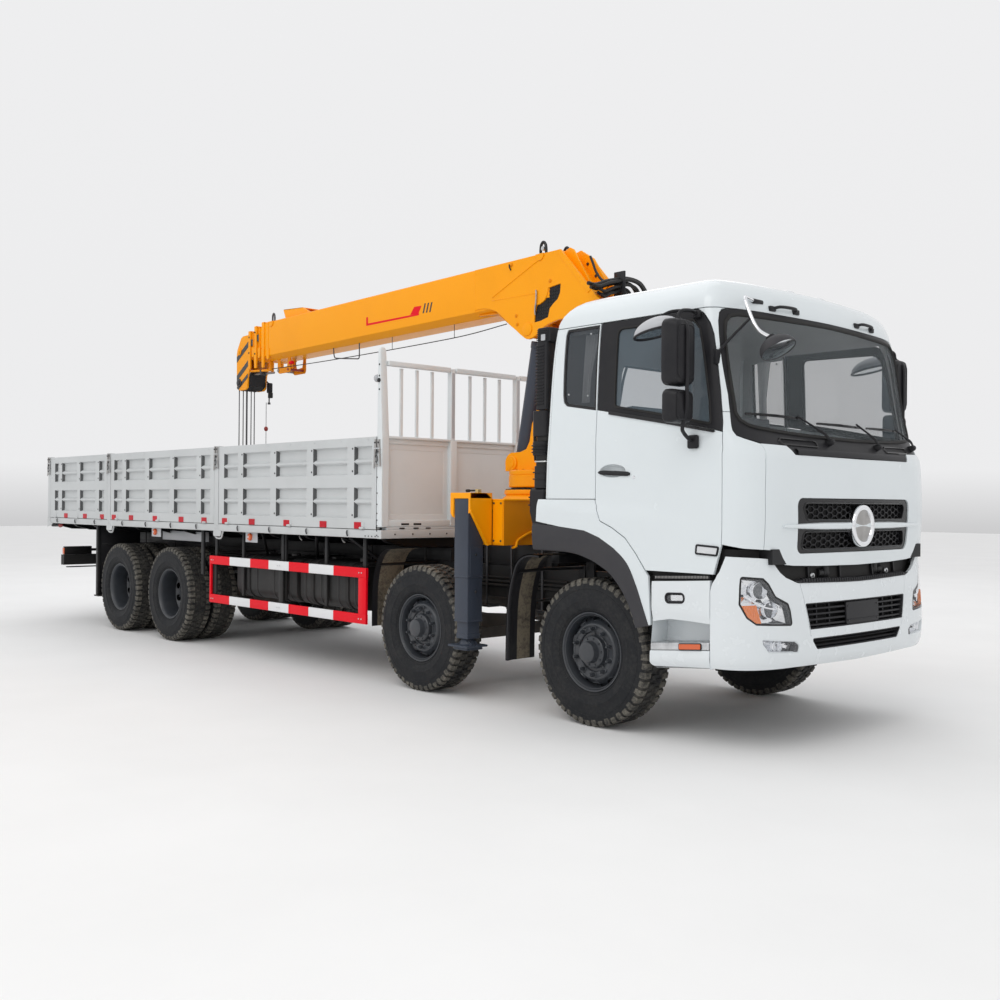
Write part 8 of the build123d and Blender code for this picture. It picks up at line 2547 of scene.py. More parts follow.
    # bearers and long members in chassis paint
    c = Build()
    for i in range(13):
        x = BX0 + 0.095 + i * (BX1 - BX0 - 0.19) / 12
        pr = [(-1.186, 1.360), (-1.186, 1.300), (-1.130, 1.262), (-0.95, 1.215), (-0.45, 1.2005), (0.45, 1.2005), (0.95, 1.215), (1.130, 1.262), (1.186, 1.300), (1.186, 1.360)]
        plate(c, pr, x - 0.004, x + 0.004, "chassis", plane="yz", edge=0.001)
        for z0, z1 in ((1.352, 1.360),):
            c.rbox(x - 0.030, x + 0.030, -1.186, 1.186, z0, z1, "chassis", 0.002, 1)
        c.strip([[(x - 0.030, y, z), (x + 0.030, y, z)] for y, z in pr[1:-1]], "chassis")
        c.strip([[(x - 0.030, y, z + 0.006), (x + 0.030, y, z + 0.006)] for y, z in pr[1:-1]][::-1], "chassis")
    for s in (-1, 1):
        sec = round_poly([(s * 0.350, 1.071), (s * 0.430, 1.071), (s * 0.430, 1.199), (s * 0.350, 1.199)], 0.008, 3)
        c.strip([[(x, y, z) for y, z in sec] for x in np.linspace(BX0, A - 2.420, 14)], "chassis", closed_v=True)
        for x in (BX0, A - 2.420):
            c.add([(x, y, z) for y, z in sec], [tuple(range(len(sec)))], "chassis", False)
        for i in range(9):
            x = BX0 + 0.55 + i * 0.86
            c.tube([(x, s * 0.462, 0.80), (x, s * 0.462, 1.235)], 0.010, "iron", 8)
            c.rbox(x - 0.045, x + 0.045, min(s * 0.335, s * 0.480), max(s * 0.335, s * 0.480), 1.200, 1.214, "chassis", 0.003, 1)
            c.bolt((x, s * 0.462, 0.800), "z", 0.016, 0.020, "iron", -1)
    c.out("bed_bearers", "chassis", angle=38)


bed_frame()


def headboard():
    b = Build()
    x0, x1 = BX1 - 0.075, BX1
    # outer posts, narrowed to a point at the top
    for s in (-1, 1):
        yo, yi = s * 1.250, s * 1.170
        def sec(z, k):
            # k narrows the post across and along
            return [(x0 + 0.010 * k, yo), (x1 - 0.050 * k, yo), (x1 - 0.050 * k, yi + s * 0.020 * k), (x0 + 0.010 * k, yi + s * 0.020 * k)]
        rows = []
        for z, k in ((1.401, 0.0), (2.20, 0.0), (2.60, 0.35), (2.90, 0.62), (2.965, 0.70)):
            p = round_poly(sec(z, k), 0.006, 2)
            rows.append([(px, py, z) for px, py in p])
        c = np.mean(rows[-1], 0)
        for t, z in ((0.80, 2.985), (0.45, 2.997), (0.15, 3.000)):
            rows.append([(c[0] + (p[0] - c[0]) * t, c[1] + (p[1] - c[1]) * t, z) for p in rows[4]])
        rows.append([(c[0], c[1], 3.0005)] * len(rows[0]))
        b.strip(rows[:-1], "head", closed_v=True)
        b.add(rows[-2], [tuple(range(len(rows[-2])))], "head", True)
        # knob on the outer side
        kx = x0 - 0.002
        b.lathe([(0.0, 0.0), (0.014, 0.0), (0.014, 0.028), (0.018, 0.030), (0.030, 0.036), (0.036, 0.048), (0.034, 0.062), (0.024, 0.072), (0.0, 0.076)], (x0 + 0.004, s * 1.215, 2.725), "reel", 24, "x", -1)
        b.tube([(x0 + 0.030, s * 1.249, 2.700), (x0 + 0.030, s * 1.262, 2.700)], 0.018, "trim", 14)
        for z in (2.84, 2.74, 2.62):
            b.lathe([(0.0, 0.0), (0.008, 0.0), (0.009, 0.003), (0.0, 0.004)], (x0 + 0.030, s * 1.249, z), "trim", 12, "y", s)
        # turned edge facing forwards
        b.strip([[(x1 + 0.001, yo - s * 0.006, z), (x1 + 0.001, yi + s * 0.006, z)] for z in (1.41, 2.19)], "head")
    # inner posts
    for s in (-1, 1):
        ya, yb = s * 0.380, s * 0.455
        b.rbox(x0, x1, min(ya, yb), max(ya, yb), 1.401, 2.200, "head", 0.006, 3)
        b.rbox(x0, x1 - 0.012, min(s * 0.395, s * 0.442), max(s * 0.395, s * 0.442), 2.198, 2.868, "head", 0.006, 3)
        # grey strip down the front face of each upper inner post: painted shade
        b.strip([[(x1 - 0.0115, s * 0.401, z), (x1 - 0.0115, s * 0.436, z)] for z in (2.22, 2.83)], "reel")
    # rails
    bays = [(-1.170, -0.455), (-0.380, 0.380), (0.455, 1.170)]
    for ya, yb in bays:
        for z0, z1, xa, xb in ((2.834, 2.878, x0 + 0.008, x1 - 0.008), (2.186, 2.209, x0 + 0.004, x1 - 0.002), (2.140, 2.188, x0 + 0.008, x1 - 0.030), (1.401, 1.461, x0 + 0.008, x1 - 0.008)):
            b.rbox(xa, xb, ya - 0.002, yb + 0.002, z0, z1, "head", 0.006, 3)
        # sheet with a shallow pressed field
        xs = x0 + 0.032
        o = [(ya, 1.461), (yb, 1.461), (yb, 2.140), (ya, 2.140)]
        i1 = inset_poly(o, 0.045)
        i2 = inset_poly(o, 0.053)
        b.strip([[(xs, y, z) for y, z in o], [(xs, y, z) for y, z in i1], [(xs - 0.005, y, z) for y, z in i2]], "head", closed_v=True, smooth=False)
        b.add([(xs - 0.005, y, z) for y, z in i2], [(0, 1, 2, 3)], "head", False)
        b.strip([[(xs - 0.012, y, z) for y, z in i2], [(xs - 0.012, y, z) for y, z in i1], [(xs - 0.009, y, z) for y, z in o]], "head", closed_v=True, smooth=False)
        b.add([(xs - 0.012, y, z) for y, z in i2], [(3, 2, 1, 0)], "head", False)
        # fillets of weld along the frame
        for j in range(1, 4):
            y = ya + (yb - ya) * (j / 4 if ya * yb < 0 else (j - 0.10 if ya < 0 else j + 0.10) / 4)
            bar = round_poly([(x0 + 0.022, y - 0.016), (x0 + 0.042, y - 0.016), (x0 + 0.042, y + 0.016), (x0 + 0.022, y + 0.016)], 0.005, 2)
            b.strip([[(px, py, z) for px, py in bar] for z in (2.207, 2.40, 2.62, 2.820)], "head", closed_v=True)
            for z in (2.2095, 2.8175):
                ring = [(x0 + 0.032 + 0.013 * math.cos(t), y + 0.019 * math.sin(t), z) for t in np.linspace(0, 2 * math.pi, 17)[:-1]]
                b.tube(ring, 0.003, "head", 6, closed=True)
    # lower front flange with slots on the near side
    for y in (-0.98, -0.84):
        b.rbox(x1 - 0.010, x1 - 0.006, y - 0.045, y + 0.045, 1.415, 1.432, "trim", 0.002, 1)
    for s in (-1, 1):
        # diagonal stays behind
        st = [(x0 + 0.010, s * 0.418), (x0 + 0.010, s * 0.418)]
        b.tube([(x0 + 0.006, s * 0.418, 2.10), (x0 - 0.330, s * 0.418, 1.405)], 0.018, "head", 12)
    b.out("headboard_skin", "chassis", angle=38, replaces="headboard")


headboard()


# ------------------------------------------------------------------ things hung below the bed
M["splash"] = rubber_tyre("mud_splashed_rubber", 2.1, 0.15, (0.20, 0.17, 0.125))


def side_guards():
    seg = [-5.604, -5.167, -4.736, -4.372, -3.991, -3.632, -3.211, -2.693]
    for sn, s in SIDES:
        b = Build()
        for z0, z1 in ((0.930, 1.022), (0.512, 0.602)):
            for i in range(7):
                mat = "red" if i % 2 == 0 else "stripe_white"
                x0, x1 = A + seg[i] + 0.0006, A + seg[i + 1] - 0.0006
                sec = [(s * 1.180, z0), (s * 1.205, z0), (s * 1.205, z1), (s * 1.180, z1)]
                rr = round_poly(sec, 0.006, 3)
                b.strip([[(x, y, z) for y, z in rr] for x in (x0, (x0 + x1) / 2, x1)], mat, closed_v=True)
                for x in (x0, x1):
                    b.add([(x, y, z) for y, z in rr], [tuple(range(len(rr)))], mat, False)
        for x0, x1 in ((-5.604, -5.572), (-2.812, -2.693)):
            rr = round_poly([(A + x0, s * 1.1805), (A + x1, s * 1.1805), (A + x1, s * 1.2055), (A + x0, s * 1.2055)], 0.005, 2)
            b.strip([[(x, y, z) for x, y in rr] for z in (0.600, 0.765, 0.932)], "red", closed_v=True)
        for x in (-5.540, -4.180, -2.780):
            x += A
            b.rbox(x - 0.040, x + 0.040, min(s * 1.158, s * 1.180), max(s * 1.158, s * 1.180), 0.512, 1.022, "chassis", 0.005, 2)
            b.rbox(x - 0.025, x + 0.025, min(s * 1.140, s * 1.160), max(s * 1.140, s * 1.160), 0.960, 1.290, "chassis", 0.004, 2)
            sec = round_poly([(x - 0.025, 1.048), (x + 0.025, 1.048), (x + 0.025, 1.068), (x - 0.025, 1.068)], 0.005, 2)
            b.strip([[(px, s * y, pz) for px, pz in sec] for y in (0.431, 0.8, 1.142)], "chassis", closed_v=True)
            b.tube([(x, s * 0.46, 0.93), (x, s * 0.85, 1.02), (x, s * 1.12, 1.045)], 0.011, "chassis", 8)
            for z in (0.556, 0.976):
                for dx in (-0.02, 0.02):
                    b.bolt((x + dx, s * 1.2052, z), "y", 0.0075, 0.005, "alu", s)
        b.out("side_guard_" + sn, "chassis", angle=38, replaces="side_guards" if s < 0 else None)


side_guards()


def tanks():
    b = Build()

    def tank(x0, x1, y0, y1, z0, z1, r, straps):
        sec = round_poly([(y0, z0), (y1, z0), (y1, z1), (y0, z1)], r, 8)
        e1, e2 = inset_poly(sec, 0.006), inset_poly(sec, 0.045)
        rows = [[(x0 - 0.004, y, z) for y, z in e2], [(x0 + 0.004, y, z) for y, z in e1], [(x0 + 0.014, y, z) for y, z in sec]]
        for x in np.linspace(x0 + 0.014, x1 - 0.014, 7)[1:-1]:
            rows.append([(x, y, z) for y, z in sec])
        rows += [[(x1 - 0.014, y, z) for y, z in sec], [(x1 - 0.004, y, z) for y, z in e1], [(x1 + 0.004, y, z) for y, z in e2]]
        b.strip(rows, "chassis", closed_v=True)
        for k in (0, -1):
            b.add(rows[k], [tuple(range(len(rows[k])))], "chassis", False)
        # swaged ribs round the shell and steel straps over rubber
        L = x1 - x0
        for t in (0.10, 0.36, 0.64, 0.90):
            x = x0 + L * t
            o = inset_poly(sec, -0.006)
            b.strip([[(x - 0.016, y, z) for y, z in sec], [(x - 0.008, y, z) for y, z in o], [(x + 0.008, y, z) for y, z in o], [(x + 0.016, y, z) for y, z in sec]], "chassis", closed_v=True)
        for t in straps:
            x = x0 + L * t
            o, o2 = inset_poly(sec, -0.004), inset_poly(sec, -0.010)
            b.strip([[(x - 0.034, y, z) for y, z in sec], [(x - 0.034, y, z) for y, z in o], [(x - 0.025, y, z) for y, z in o], [(x - 0.025, y, z) for y, z in o2], [(x + 0.025, y, z) for y, z in o2], [(x + 0.025, y, z) for y, z in o], [(x + 0.034, y, z) for y, z in o], [(x + 0.034, y, z) for y, z in sec]], "seal", closed_v=True)
            yy = (y0 + y1) / 2
            b.rbox(x - 0.030, x + 0.030, yy - 0.040, yy + 0.040, z1 + 0.008, z1 + 0.030, "iron", 0.004, 2)
            ys = (0.431 if y0 > 0 else -0.431)
            yn = y0 if y0 > 0 else y1
            b.rbox(x - 0.040, x + 0.040, min(ys, yn + (0.01 if y0 > 0 else -0.01)), max(ys, yn + (0.01 if y0 > 0 else -0.01)), z0 + 0.10, z1 - 0.08, "chassis", 0.006, 2)
    tank(A - 5.160, A - 3.975, -1.120, -0.560, 0.610, 1.045, 0.115, (0.22, 0.78))
    tank(A - 3.915, A - 2.870, -1.120, -0.560, 0.610, 1.045, 0.115, (0.22, 0.78))
    tank(A - 4.700, A - 3.300, 0.540, 1.110, 0.560, 1.045, 0.115, (0.18, 0.5, 0.82))
    # battery and air vessel case
    tank(A - 5.300, A - 4.780, 0.560, 1.090, 0.640, 1.045, 0.030, (0.25, 0.75))
    for x, s in ((A - 4.30, -1), (A - 3.10, -1), (A - 3.60, 1)):
        b.lathe([(0.0, 0.045), (0.038, 0.045), (0.044, 0.040), (0.046, 0.010), (0.040, 0.004), (0.034, 0.0)], (x, s * 0.92, 1.045), "iron", 24, "z")
    # pipes along the frame
    for s in (-1, 1):
        for k, z in enumerate((0.985, 0.950, 0.915)):
            pts = [(A - 9.2, s * 0.445, z), (A - 6.0, s * 0.445, z), (A - 3.4, s * 0.448, z), (A - 2.6, s * 0.448, z - 0.02), (A - 0.9, s * 0.448, z - 0.02)]
            b.tube(smooth_path(pts, 4), 0.008 + 0.002 * k, "hose", 6)
    b.out("tanks_and_pipes", "chassis", angle=38, replaces="chassis_tanks")


tanks()


def mud():
    b = Build()
    for s in (-1, 1):
        prof = smooth_path([(A - 0.470, 1.224), (A - 0.560, 1.226), (A - 0.640, 1.210), (A - 0.705, 1.165), (A - 0.745, 1.095), (A - 0.790, 0.950), (A - 0.812, 0.800), (A - 0.820, 0.600), (A - 0.822, 0.395)], 5)
        ys = [1.215, 1.2155, 1.205, 1.190, 1.182, 1.150, 1.125, 1.10, 1.06, 1.02, 0.99, 0.96, 0.93, 0.905]
        lip = [0.000, 0.012, 0.0165, 0.012, 0.004, 0.0, 0.0, 0.0, 0.0, 0.0, 0.0, 0.0, 0.0, 0.0]
        P = np.array(prof)
        T = np.gradient(P, axis=0)
        N = np.stack([T[:, 1], -T[:, 0]], 1)
        N /= np.linalg.norm(N, axis=1)[:, None]
        # normals pointing to the wheel
        if N[-1][0] < 0:
            N = -N
        for j in range(len(ys) - 1):
            mat = "splash" if 1.12 >= ys[j] > 0.985 else "trim"
            for off, fl in ((0.0, False), (0.007, True)):
                rows = [[(P[i][0] + N[i][0] * ((lip[q] if not fl else lip[q] * 0.0) + (0.0 if not fl else -off)), s * ys[q], P[i][1] + N[i][1] * ((lip[q] if not fl else 0.0) + (0.0 if not fl else -off))) for i in range(len(P))] for q in (j, j + 1)]
                b.strip(rows if not fl else rows[::-1], mat)
        # stays to the frame
        b.tube([(A - 0.740, s * 0.440, 1.098), (A - 0.740, s * 0.90, 1.098), (A - 0.752, s * 1.16, 1.090)], 0.014, "chassis", 10)
        b.rbox(A - 0.775, A - 0.705, min(s * 0.431, s * 0.446), max(s * 0.431, s * 0.446), 1.00, 1.115, "chassis", 0.004, 2)
        b.tube([(A - 0.815, s * 0.440, 0.86), (A - 0.820, s * 0.90, 0.84), (A - 0.822, s * 1.12, 0.82)], 0.011, "chassis", 10)
        # sheet behind the second wheels
        q = smooth_path([(A - 2.36, 1.205), (A - 2.47, 1.195), (A - 2.565, 1.12), (A - 2.625, 0.98), (A - 2.652, 0.80), (A - 2.655, 0.50)], 5)
        for w, fl in ((0.0, False), (-0.006, True)):
            for y0, y1, mat in ((1.16, 1.10, "trim"), (1.10, 0.84, "splash")):
                rows = [[(px + w, s * y, pz) for px, pz in q] for y in (y0, y1)]
                b.strip(rows if not fl else rows[::-1], mat)
        b.tube([(A - 2.600, s * 0.440, 1.06), (A - 2.600, s * 1.13, 1.06)], 0.013, "chassis", 10)
        # rear flaps with their arm and bottom weight
        b.rbox(A - 8.586, A - 8.568, min(s * 0.640, s * 1.2150), max(s * 0.640, s * 1.2150), 0.392, 1.292, "trim", 0.004, 2)
        b.rbox(A - 8.600, A - 8.545, min(s * 1.190, s * 1.225), max(s * 1.190, s * 1.225), 0.392, 1.295, "chassis", 0.005, 2)
        b.rbox(A - 8.640, A - 8.500, min(s * 0.640, s * 1.232), max(s * 0.640, s * 1.232), 0.378, 0.394, "chassis", 0.004, 2)
        b.rbox(A - 8.600, A - 8.560, min(s * 0.431, s * 0.700), max(s * 0.431, s * 0.700), 1.000, 1.060, "chassis", 0.006, 2)
        for z in (0.55, 0.80, 1.05):
            b.rbox(A - 8.5685, A - 8.5630, min(s * 0.700, s * 1.16), max(s * 0.700, s * 1.16), z - 0.012, z + 0.012, "chassis", 0.002, 1)
    b.out("mudguards_skin", "chassis", angle=45, replaces="mudguards")


mud()


def snorkel():
    b = Build()

    def duct(x0, x1, y0, y1, z0, z1, mat="trim", r=0.018, n=2, flare=0.0):
        sec = round_poly([(x0, y0), (x1, y0), (x1, y1), (x0, y1)], r, 4)
        e = inset_poly(sec, 0.004)
        rows = [[(x, y, z0) for x, y in e], [(x, y, z0 + 0.004) for x, y in sec]]
        for z in np.linspace(z0 + 0.004, z1 - 0.004, n)[1:-1]:
            rows.append([(x, y, z) for x, y in sec])
        rows += [[(x, y, z1 - 0.004) for x, y in sec], [(x, y, z1) for x, y in e]]
        b.strip(rows, mat, closed_v=True)
        for k in (0, -1):
            b.add(rows[k], [tuple(range(len(e)))], mat, False)
    X0, X1, Y0, Y1 = A - 0.552, A - 0.432, -1.176, -1.050
    # inlet cap with louvres
    duct(X0 + 0.004, X1 + 0.024, Y0 - 0.004, Y1 + 0.02, 2.845, 2.952, "trim", 0.026)
    for i in range(6):
        z = 2.858 + i * 0.0145
        b.rbox(X0 + 0.012, X1 + 0.012, Y0 - 0.010, Y0 + 0.004, z, z + 0.006, "trim", 0.002, 1)
    b.rbox(A - 0.492, A - 0.446, Y0 - 0.013, Y0 - 0.008, 2.852, 2.900, "reel", 0.003, 1)
    # ribbed body
    duct(X0, X1, Y0, Y1, 2.330, 2.850, "trim", 0.016, 3)
    for i in range(19):
        z = 2.368 + i * 0.0245
        sec = round_poly([(X0 - 0.007, Y0 - 0.006), (X0 + 0.086, Y0 - 0.006), (X0 + 0.086, Y0 + 0.022), (X0 - 0.007, Y1 - 0.01)], 0.006, 2)
        ins = inset_poly(sec, 0.006)
        b.strip([[(x, y, z) for x, y in ins], [(x, y, z + 0.003) for x, y in sec], [(x, y, z + 0.011) for x, y in sec], [(x, y, z + 0.014) for x, y in ins]], "trim", closed_v=True)
    b.strip([[(X1 - 0.020, Y0 - 0.003, z), (X1 - 0.004, Y0 - 0.003, z)] for z in (2.350, 2.840)], "trim")
    # boxes, bends and clamps down to the filter
    duct(A - 0.592, A - 0.440, Y0 - 0.006, Y1 + 0.010, 2.130, 2.325, "trim", 0.030)
    duct(A - 0.560, A - 0.446, Y0 + 0.010, Y1, 2.090, 2.135, "seal", 0.020)
    duct(A - 0.598, A - 0.450, Y0 - 0.004, Y1 + 0.010, 1.985, 2.092, "trim", 0.034)
    for z in (2.010, 2.035, 2.060):
        sec = round_poly([(A - 0.603, Y0 - 0.009), (A - 0.445, Y0 - 0.009), (A - 0.445, Y1 + 0.014), (A - 0.603, Y1 + 0.014)], 0.034, 4)
        b.tube([(x, y, z) for x, y in sec], 0.005, "trim", 6, closed=True)
    duct(A - 0.566, A - 0.450, Y0 + 0.006, Y1, 1.900, 1.990, "seal", 0.026)
    sec = round_poly([(A - 0.572, Y0), (A - 0.444, Y0), (A - 0.444, Y1 + 0.004), (A - 0.572, Y1 + 0.004)], 0.030, 4)
    b.tube([(x, y, 1.938) for x, y in sec], 0.006, "alu", 8, closed=True)
    duct(A - 0.574, A - 0.450, Y0, Y1, 1.735, 1.905, "trim", 0.022)
    for z in (1.80, 1.85):
        b.rbox(A - 0.578, A - 0.450, Y0 - 0.006, Y0 + 0.004, z, z + 0.010, "trim", 0.003, 1)
    # filter housing
    sec = round_poly([(-1.178, 1.560), (-1.100, 1.300), (-0.830, 1.255), (-0.800, 1.640), (-0.860, 1.735), (-1.178, 1.735)], [0.03, 0.06, 0.06, 0.06, 0.04, 0.03], 5)
    e = inset_poly(sec, 0.010)
    b.strip([[(A - 0.618, y, z) for y, z in e], [(A - 0.608, y, z) for y, z in sec], [(A - 0.470, y, z) for y, z in sec], [(A - 0.460, y, z) for y, z in e]], "trim", closed_v=True)
    for x in (A - 0.618, A - 0.460):
        b.add([(x, y, z) for y, z in e], [tuple(range(len(e)))], "trim", False)
    for z in (1.60, 1.66):
        b.rbox(A - 0.622, A - 0.600, -1.182, -1.06, z, z + 0.012, "trim", 0.003, 1)
    # stays down to the frame, filter canister
    b.lathe([(0.0, -0.23), (0.135, -0.23), (0.150, -0.215), (0.152, -0.06), (0.158, -0.055), (0.158, -0.035), (0.152, -0.030), (0.152, 0.21), (0.140, 0.228), (0.0, 0.23)], (A - 0.640, -0.620, 1.40), "trim", 40, "y")
    b.tube([(A - 0.56, -0.80, 1.45), (A - 0.60, -0.83, 1.42)], 0.10, "seal", 24)
    b.rbox(A - 0.690, A - 0.600, -0.860, -0.440, 1.150, 1.240, "chassis", 0.006, 2)
    b.rbox(A - 0.690, A - 0.600, -0.452, -0.431, 0.900, 1.240, "chassis", 0.004, 2)
    for y in (-0.78, -0.50):
        ring = [(A - 0.640 + 0.156 * math.cos(t), y, 1.40 + 0.156 * math.sin(t)) for t in np.linspace(0, 2 * math.pi, 41)[:-1]]
        b.tube(ring, 0.006, "alu", 6, closed=True)
    b.tube([(A - 0.530, -1.05, 2.60), (A - 0.47, -0.98, 2.60)], 0.012, "chassis", 8)
    # small pipes with pale unions beside the duct
    for k, (dx, z0, z1) in enumerate(((-0.632, 1.95, 2.32), (-0.650, 2.00, 2.28))):
        p = [(A + dx, -1.10 + 0.03 * k, z0), (A + dx - 0.01, -1.10 + 0.03 * k, (z0 + z1) / 2), (A + dx + 0.01, -1.09, z1)]
        b.tube(smooth_path(p, 4), 0.009, "hose", 8)
        for z in (z1 - 0.03, z1 - 0.09):
            b.lathe([(0.0, -0.016), (0.015, -0.016), (0.017, -0.012), (0.017, 0.012), (0.015, 0.016), (0.0, 0.016)], (A + dx + 0.008, -1.092 + 0.01 * k, z), "alu", 12, "z")
    b.out("air_intake_skin", "chassis", angle=36, replaces="air_intake")


snorkel()


def tail():
    b = Build()
    # under-run bar, lamps above it
    for s in (-1, 1):
        b.rbox(A - 10.060, A - 10.000, min(s * 0.70, s * 1.085), max(s * 0.70, s * 1.085), 0.835, 0.968, "chassis", 0.006, 2)
        b.rbox(A - 10.072, A - 10.058, min(s * 0.72, s * 1.075), max(s * 0.72, s * 1.075), 0.852, 0.952, "red_lens", 0.006, 2)
        b.rbox(A - 10.060, A - 10.000, min(s * 1.084, s * 1.096), max(s * 1.084, s * 1.096), 0.860, 0.950, "orange", 0.004, 2)
        for k, y in enumerate((0.80, 0.92, 1.03)):
            ring = [(A - 10.073, s * y + 0.040 * math.cos(t), 0.902 + 0.040 * math.sin(t)) for t in np.linspace(0, 2 * math.pi, 25)[:-1]]
            b.tube(ring, 0.003, "chassis", 6, closed=True)
        b.rbox(A - 10.030, A - 9.985, min(s * 0.40, s * 0.44), max(s * 0.40, s * 0.44), 0.70, 0.96, "chassis", 0.005, 2)
        b.rbox(A - 10.040, A - 9.990, min(s * 0.40, s * 0.72), max(s * 0.40, s * 0.72), 0.900, 0.935, "chassis", 0.005, 2)
        # corner lamp on its arm under the sill
        b.tube([(BX0 + 0.030, s * 1.195, 1.262), (BX0 + 0.300, s * 1.195, 1.266)], 0.018, "trim", 12)
        b.rbox(BX0 + 0.08, BX0 + 0.22, min(s * 1.175, s * 1.225), max(s * 1.175, s * 1.225), 1.275, 1.298, "trim", 0.004, 2)
        b.lathe([(0.0, 0.10), (0.010, 0.09), (0.022, 0.05), (0.030, 0.01), (0.024, 0.0), (0.0, 0.0)], (BX0 + 0.300, s * 1.195, 1.266), "red_paint", 18, "x", 1)
    b.rbox(A - 10.045, A - 9.985, -1.05, 1.05, 0.675, 0.690, "chassis", 0.004, 2)
    # number plate carrier, bare
    b.rbox(A - 10.068, A - 10.056, -0.24, 0.24, 0.76, 0.88, "reel", 0.004, 2)
    b.rbox(A - 10.060, A - 10.045, -0.26, 0.26, 0.74, 0.90, "chassis", 0.004, 2)
    # side marker lamps on plates under the sill
    for s in (-1, 1):
        for x in (-6.977, -4.772):
            b.rbox(A + x - 0.10, A + x + 0.14, min(s * 1.176, s * 1.184), max(s * 1.176, s * 1.184), 1.190, 1.297, "reel", 0.003, 1)
            b.lathe([(0.0, 0.030), (0.020, 0.028), (0.036, 0.018), (0.040, 0.0)], (A + x, s * 1.184, 1.248), "orange", 24, "y", s)
            # small white cap on each orange lens: painted highlight
            b.lathe([(0.0, 0.033), (0.010, 0.032), (0.013, 0.028), (0.013, 0.020)], (A + x, s * 1.184, 1.248), "lampwhite", 14, "y", s)
        # pale boxes of the bed underframe seen between the bearers
        b.rbox(A - 7.13, A - 6.10, min(s * 0.95, s * 1.02), max(s * 0.95, s * 1.02), 1.150, 1.262, "reel", 0.006, 2)
        # diagonal struts below the sill
        for xa, xb in ((-4.55, -4.90), (-3.55, -3.95), (-3.00, -2.85)):
            b.tube([(A + xa, s * 1.17, 1.290), (A + xb, s * 0.90, 1.06)], 0.016, "chassis", 8)
        for x in (-4.98, -4.15, -3.42):
            b.rbox(A + x - 0.022, A + x + 0.022, min(s * 1.125, s * 1.150), max(s * 1.125, s * 1.150), 0.62, 1.295, "chassis", 0.004, 2)
            hk = [(A + x + 0.28, s * 1.16, 1.290), (A + x + 0.30, s * 1.165, 1.262), (A + x + 0.33, s * 1.160, 1.240)]
            b.tube(smooth_path(hk, 4), 0.007, "steel", 6)
        # stout leg before the rear wheels
        b.rbox(A - 5.86, A - 5.80, min(s * 1.150, s * 1.175), max(s * 1.150, s * 1.175), 0.80, 1.296, "chassis", 0.005, 2)
    b.out("rear_and_side_lamps", "chassis", angle=38)


tail()


# ------------------------------------------------------------------ finish on the carried parts
CARRIED = {
    "chassis_frame": "chassis", "load_bed": "bed", "headboard": "bed", "drivetrain": "iron", "axles": "iron",
    "leaf_springs": "iron", "chassis_tanks": "chassis", "side_guards": "stripe_white", "mudguards": "trim",
    "front_bumper": "white_low", "crane_base": "yellow", "air_intake": "trim", "cab_shell": "white",
    "cab_glass": "glass", "grille_panel": "gloss_black", "cab_interior": "interior", "slew_column": "yellow",
    "boom_base": "yellow", "boom_section_2": "yellow", "boom_section_3": "yellow", "boom_head": "yellow",
    "lift_cylinder_barrel": "yellow", "lift_cylinder_rod": "chrome", "hoist_ropes": "rope", "hook_block": "yellow"}
for n, o in NODES.items():
    key = CARRIED.get(n)
    if key is None:
        key = ("tyre" if n.startswith("tyre") else "rim" if n.startswith("wheel") else "iron" if n.startswith("knuckle")
               else "bed" if n.startswith(("drop_side", "tailgate")) else "jack" if n.startswith(("jack", "outrigger"))
               else "white" if n.startswith("door") else "trim" if n.startswith("mirror") else "chassis")
    for sl in o.material_slots:
        sl.material = M[key]
    if not o.material_slots:
        o.data.materials.append(M[key])


# ------------------------------------------------------------------ floor, light, camera
def floor():
    me = bpy.data.meshes.new("floor")
    n = 24
    L = 60.0
    vs = [(-L + 2 * L * i / n, -L + 2 * L * j / n, -0.001) for i in range(n + 1) for j in range(n + 1)]
    fs = [(i * (n + 1) + j, (i + 1) * (n + 1) + j, (i + 1) * (n + 1) + j + 1, i * (n + 1) + j + 1) for i in range(n) for j in range(n)]
    me.from_pydata(vs, [], fs)
    m, nt, bsdf, oc = base_mat("studio_floor")
    n1 = noise(nt, oc, 0.8, 5.0)
    c = ramp(nt, n1, [(0.3, (0.86, 0.86, 0.855)), (0.7, (0.89, 0.89, 0.885))])
    nt.links.new(c, bsdf.inputs["Base Color"])
    set_in(bsdf, Roughness=0.85)
    me.materials.append(m)
    ob = bpy.data.objects.new("floor", me)
    bpy.context.scene.collection.objects.link(ob)


floor()


def area(name, loc, target, size, power, col=(1, 1, 1)):
    li = bpy.data.lights.new(name, "AREA")
    li.shape = "RECTANGLE"
    li.size, li.size_y = size
    li.energy = power
    li.color = col
    ob = bpy.data.objects.new(name, li)
    ob.location = loc
    d = Vector(target) - Vector(loc)
    ob.rotation_euler = d.to_track_quat("-Z", "Y").to_euler()
    bpy.context.scene.collection.objects.link(ob)
    return ob


area("key_soft", (6.0, -12.0, 13.0), (1.0, 0.0, 1.2), (14, 9), 620, (1.0, 0.99, 0.97))
area("top_soft", (-3.0, 1.0, 15.0), (0.0, 0.0, 1.0), (18, 12), 260, (0.97, 0.98, 1.0))
area("back_fill", (-9.0, 11.0, 8.0), (-1.0, 0.0, 1.5), (12, 8), 200, (0.97, 0.98, 1.0))

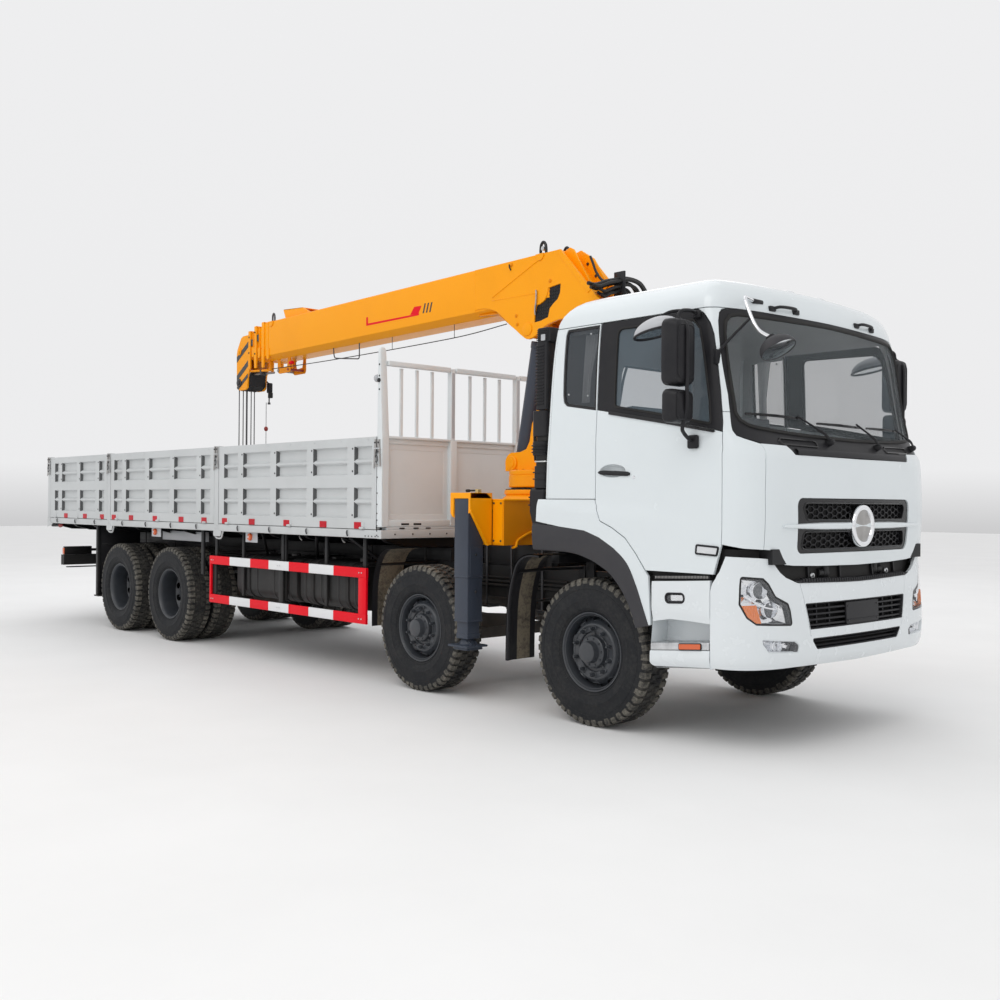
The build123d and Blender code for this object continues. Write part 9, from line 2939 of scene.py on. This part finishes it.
w = bpy.data.worlds.new("studio_air")
bpy.context.scene.world = w
w.use_nodes = True
wn = w.node_tree
bg = wn.nodes["Background"]
wt = wn.nodes.new("ShaderNodeTexCoord")
ws = wn.nodes.new("ShaderNodeSeparateXYZ")
wn.links.new(wt.outputs["Generated"], ws.inputs[0])
wr = wn.nodes.new("ShaderNodeValToRGB")
we = wr.color_ramp.elements
for p, c in ((0.0, 0.45), (0.49, 0.70), (0.515, 0.98), (0.75, 1.0), (1.0, 0.94)):
    e = we.new(p) if p not in (0.0, 1.0) else we[0 if p == 0.0 else len(we) - 1]
    e.color = (c, c, c * 1.01, 1)
wm = wn.nodes.new("ShaderNodeMath")
wm.operation = "MULTIPLY_ADD"
wm.inputs[1].default_value = 0.5
wm.inputs[2].default_value = 0.5
wn.links.new(ws.outputs["Z"], wm.inputs[0])
wn.links.new(wm.outputs[0], wr.inputs["Fac"])
wn.links.new(wr.outputs["Color"], bg.inputs["Color"])
bg.inputs["Strength"].default_value = 0.86

cam = bpy.data.cameras.new("camera")
cam_ob = bpy.data.objects.new("camera", cam)
bpy.context.scene.collection.objects.link(cam_ob)
YAW, PIT, ROLL = -0.8223, 0.002, 0.0076
d = Vector((math.sin(YAW) * math.cos(PIT), math.cos(YAW) * math.cos(PIT), math.sin(PIT)))
r = d.cross(Vector((0, 0, 1))).normalized()
u = r.cross(d)
rr = r * math.cos(ROLL) + u * math.sin(ROLL)
uu = u * math.cos(ROLL) - r * math.sin(ROLL)
mw = Matrix(((rr.x, uu.x, -d.x, 9.7767), (rr.y, uu.y, -d.y, -7.0688), (rr.z, uu.z, -d.z, 1.619), (0, 0, 0, 1)))
cam_ob.matrix_world = mw
cam.sensor_width = 36.0
cam.lens = 1100.5 / 1000.0 * 36.0
cam.shift_x = (500.0 - 502.95) / 1000.0
cam.shift_y = (501.0 - 500.0) / 1000.0
cam.clip_start, cam.clip_end = 0.1, 300.0
bpy.context.scene.camera = cam_ob
bpy.context.scene.view_settings.view_transform = "Standard"
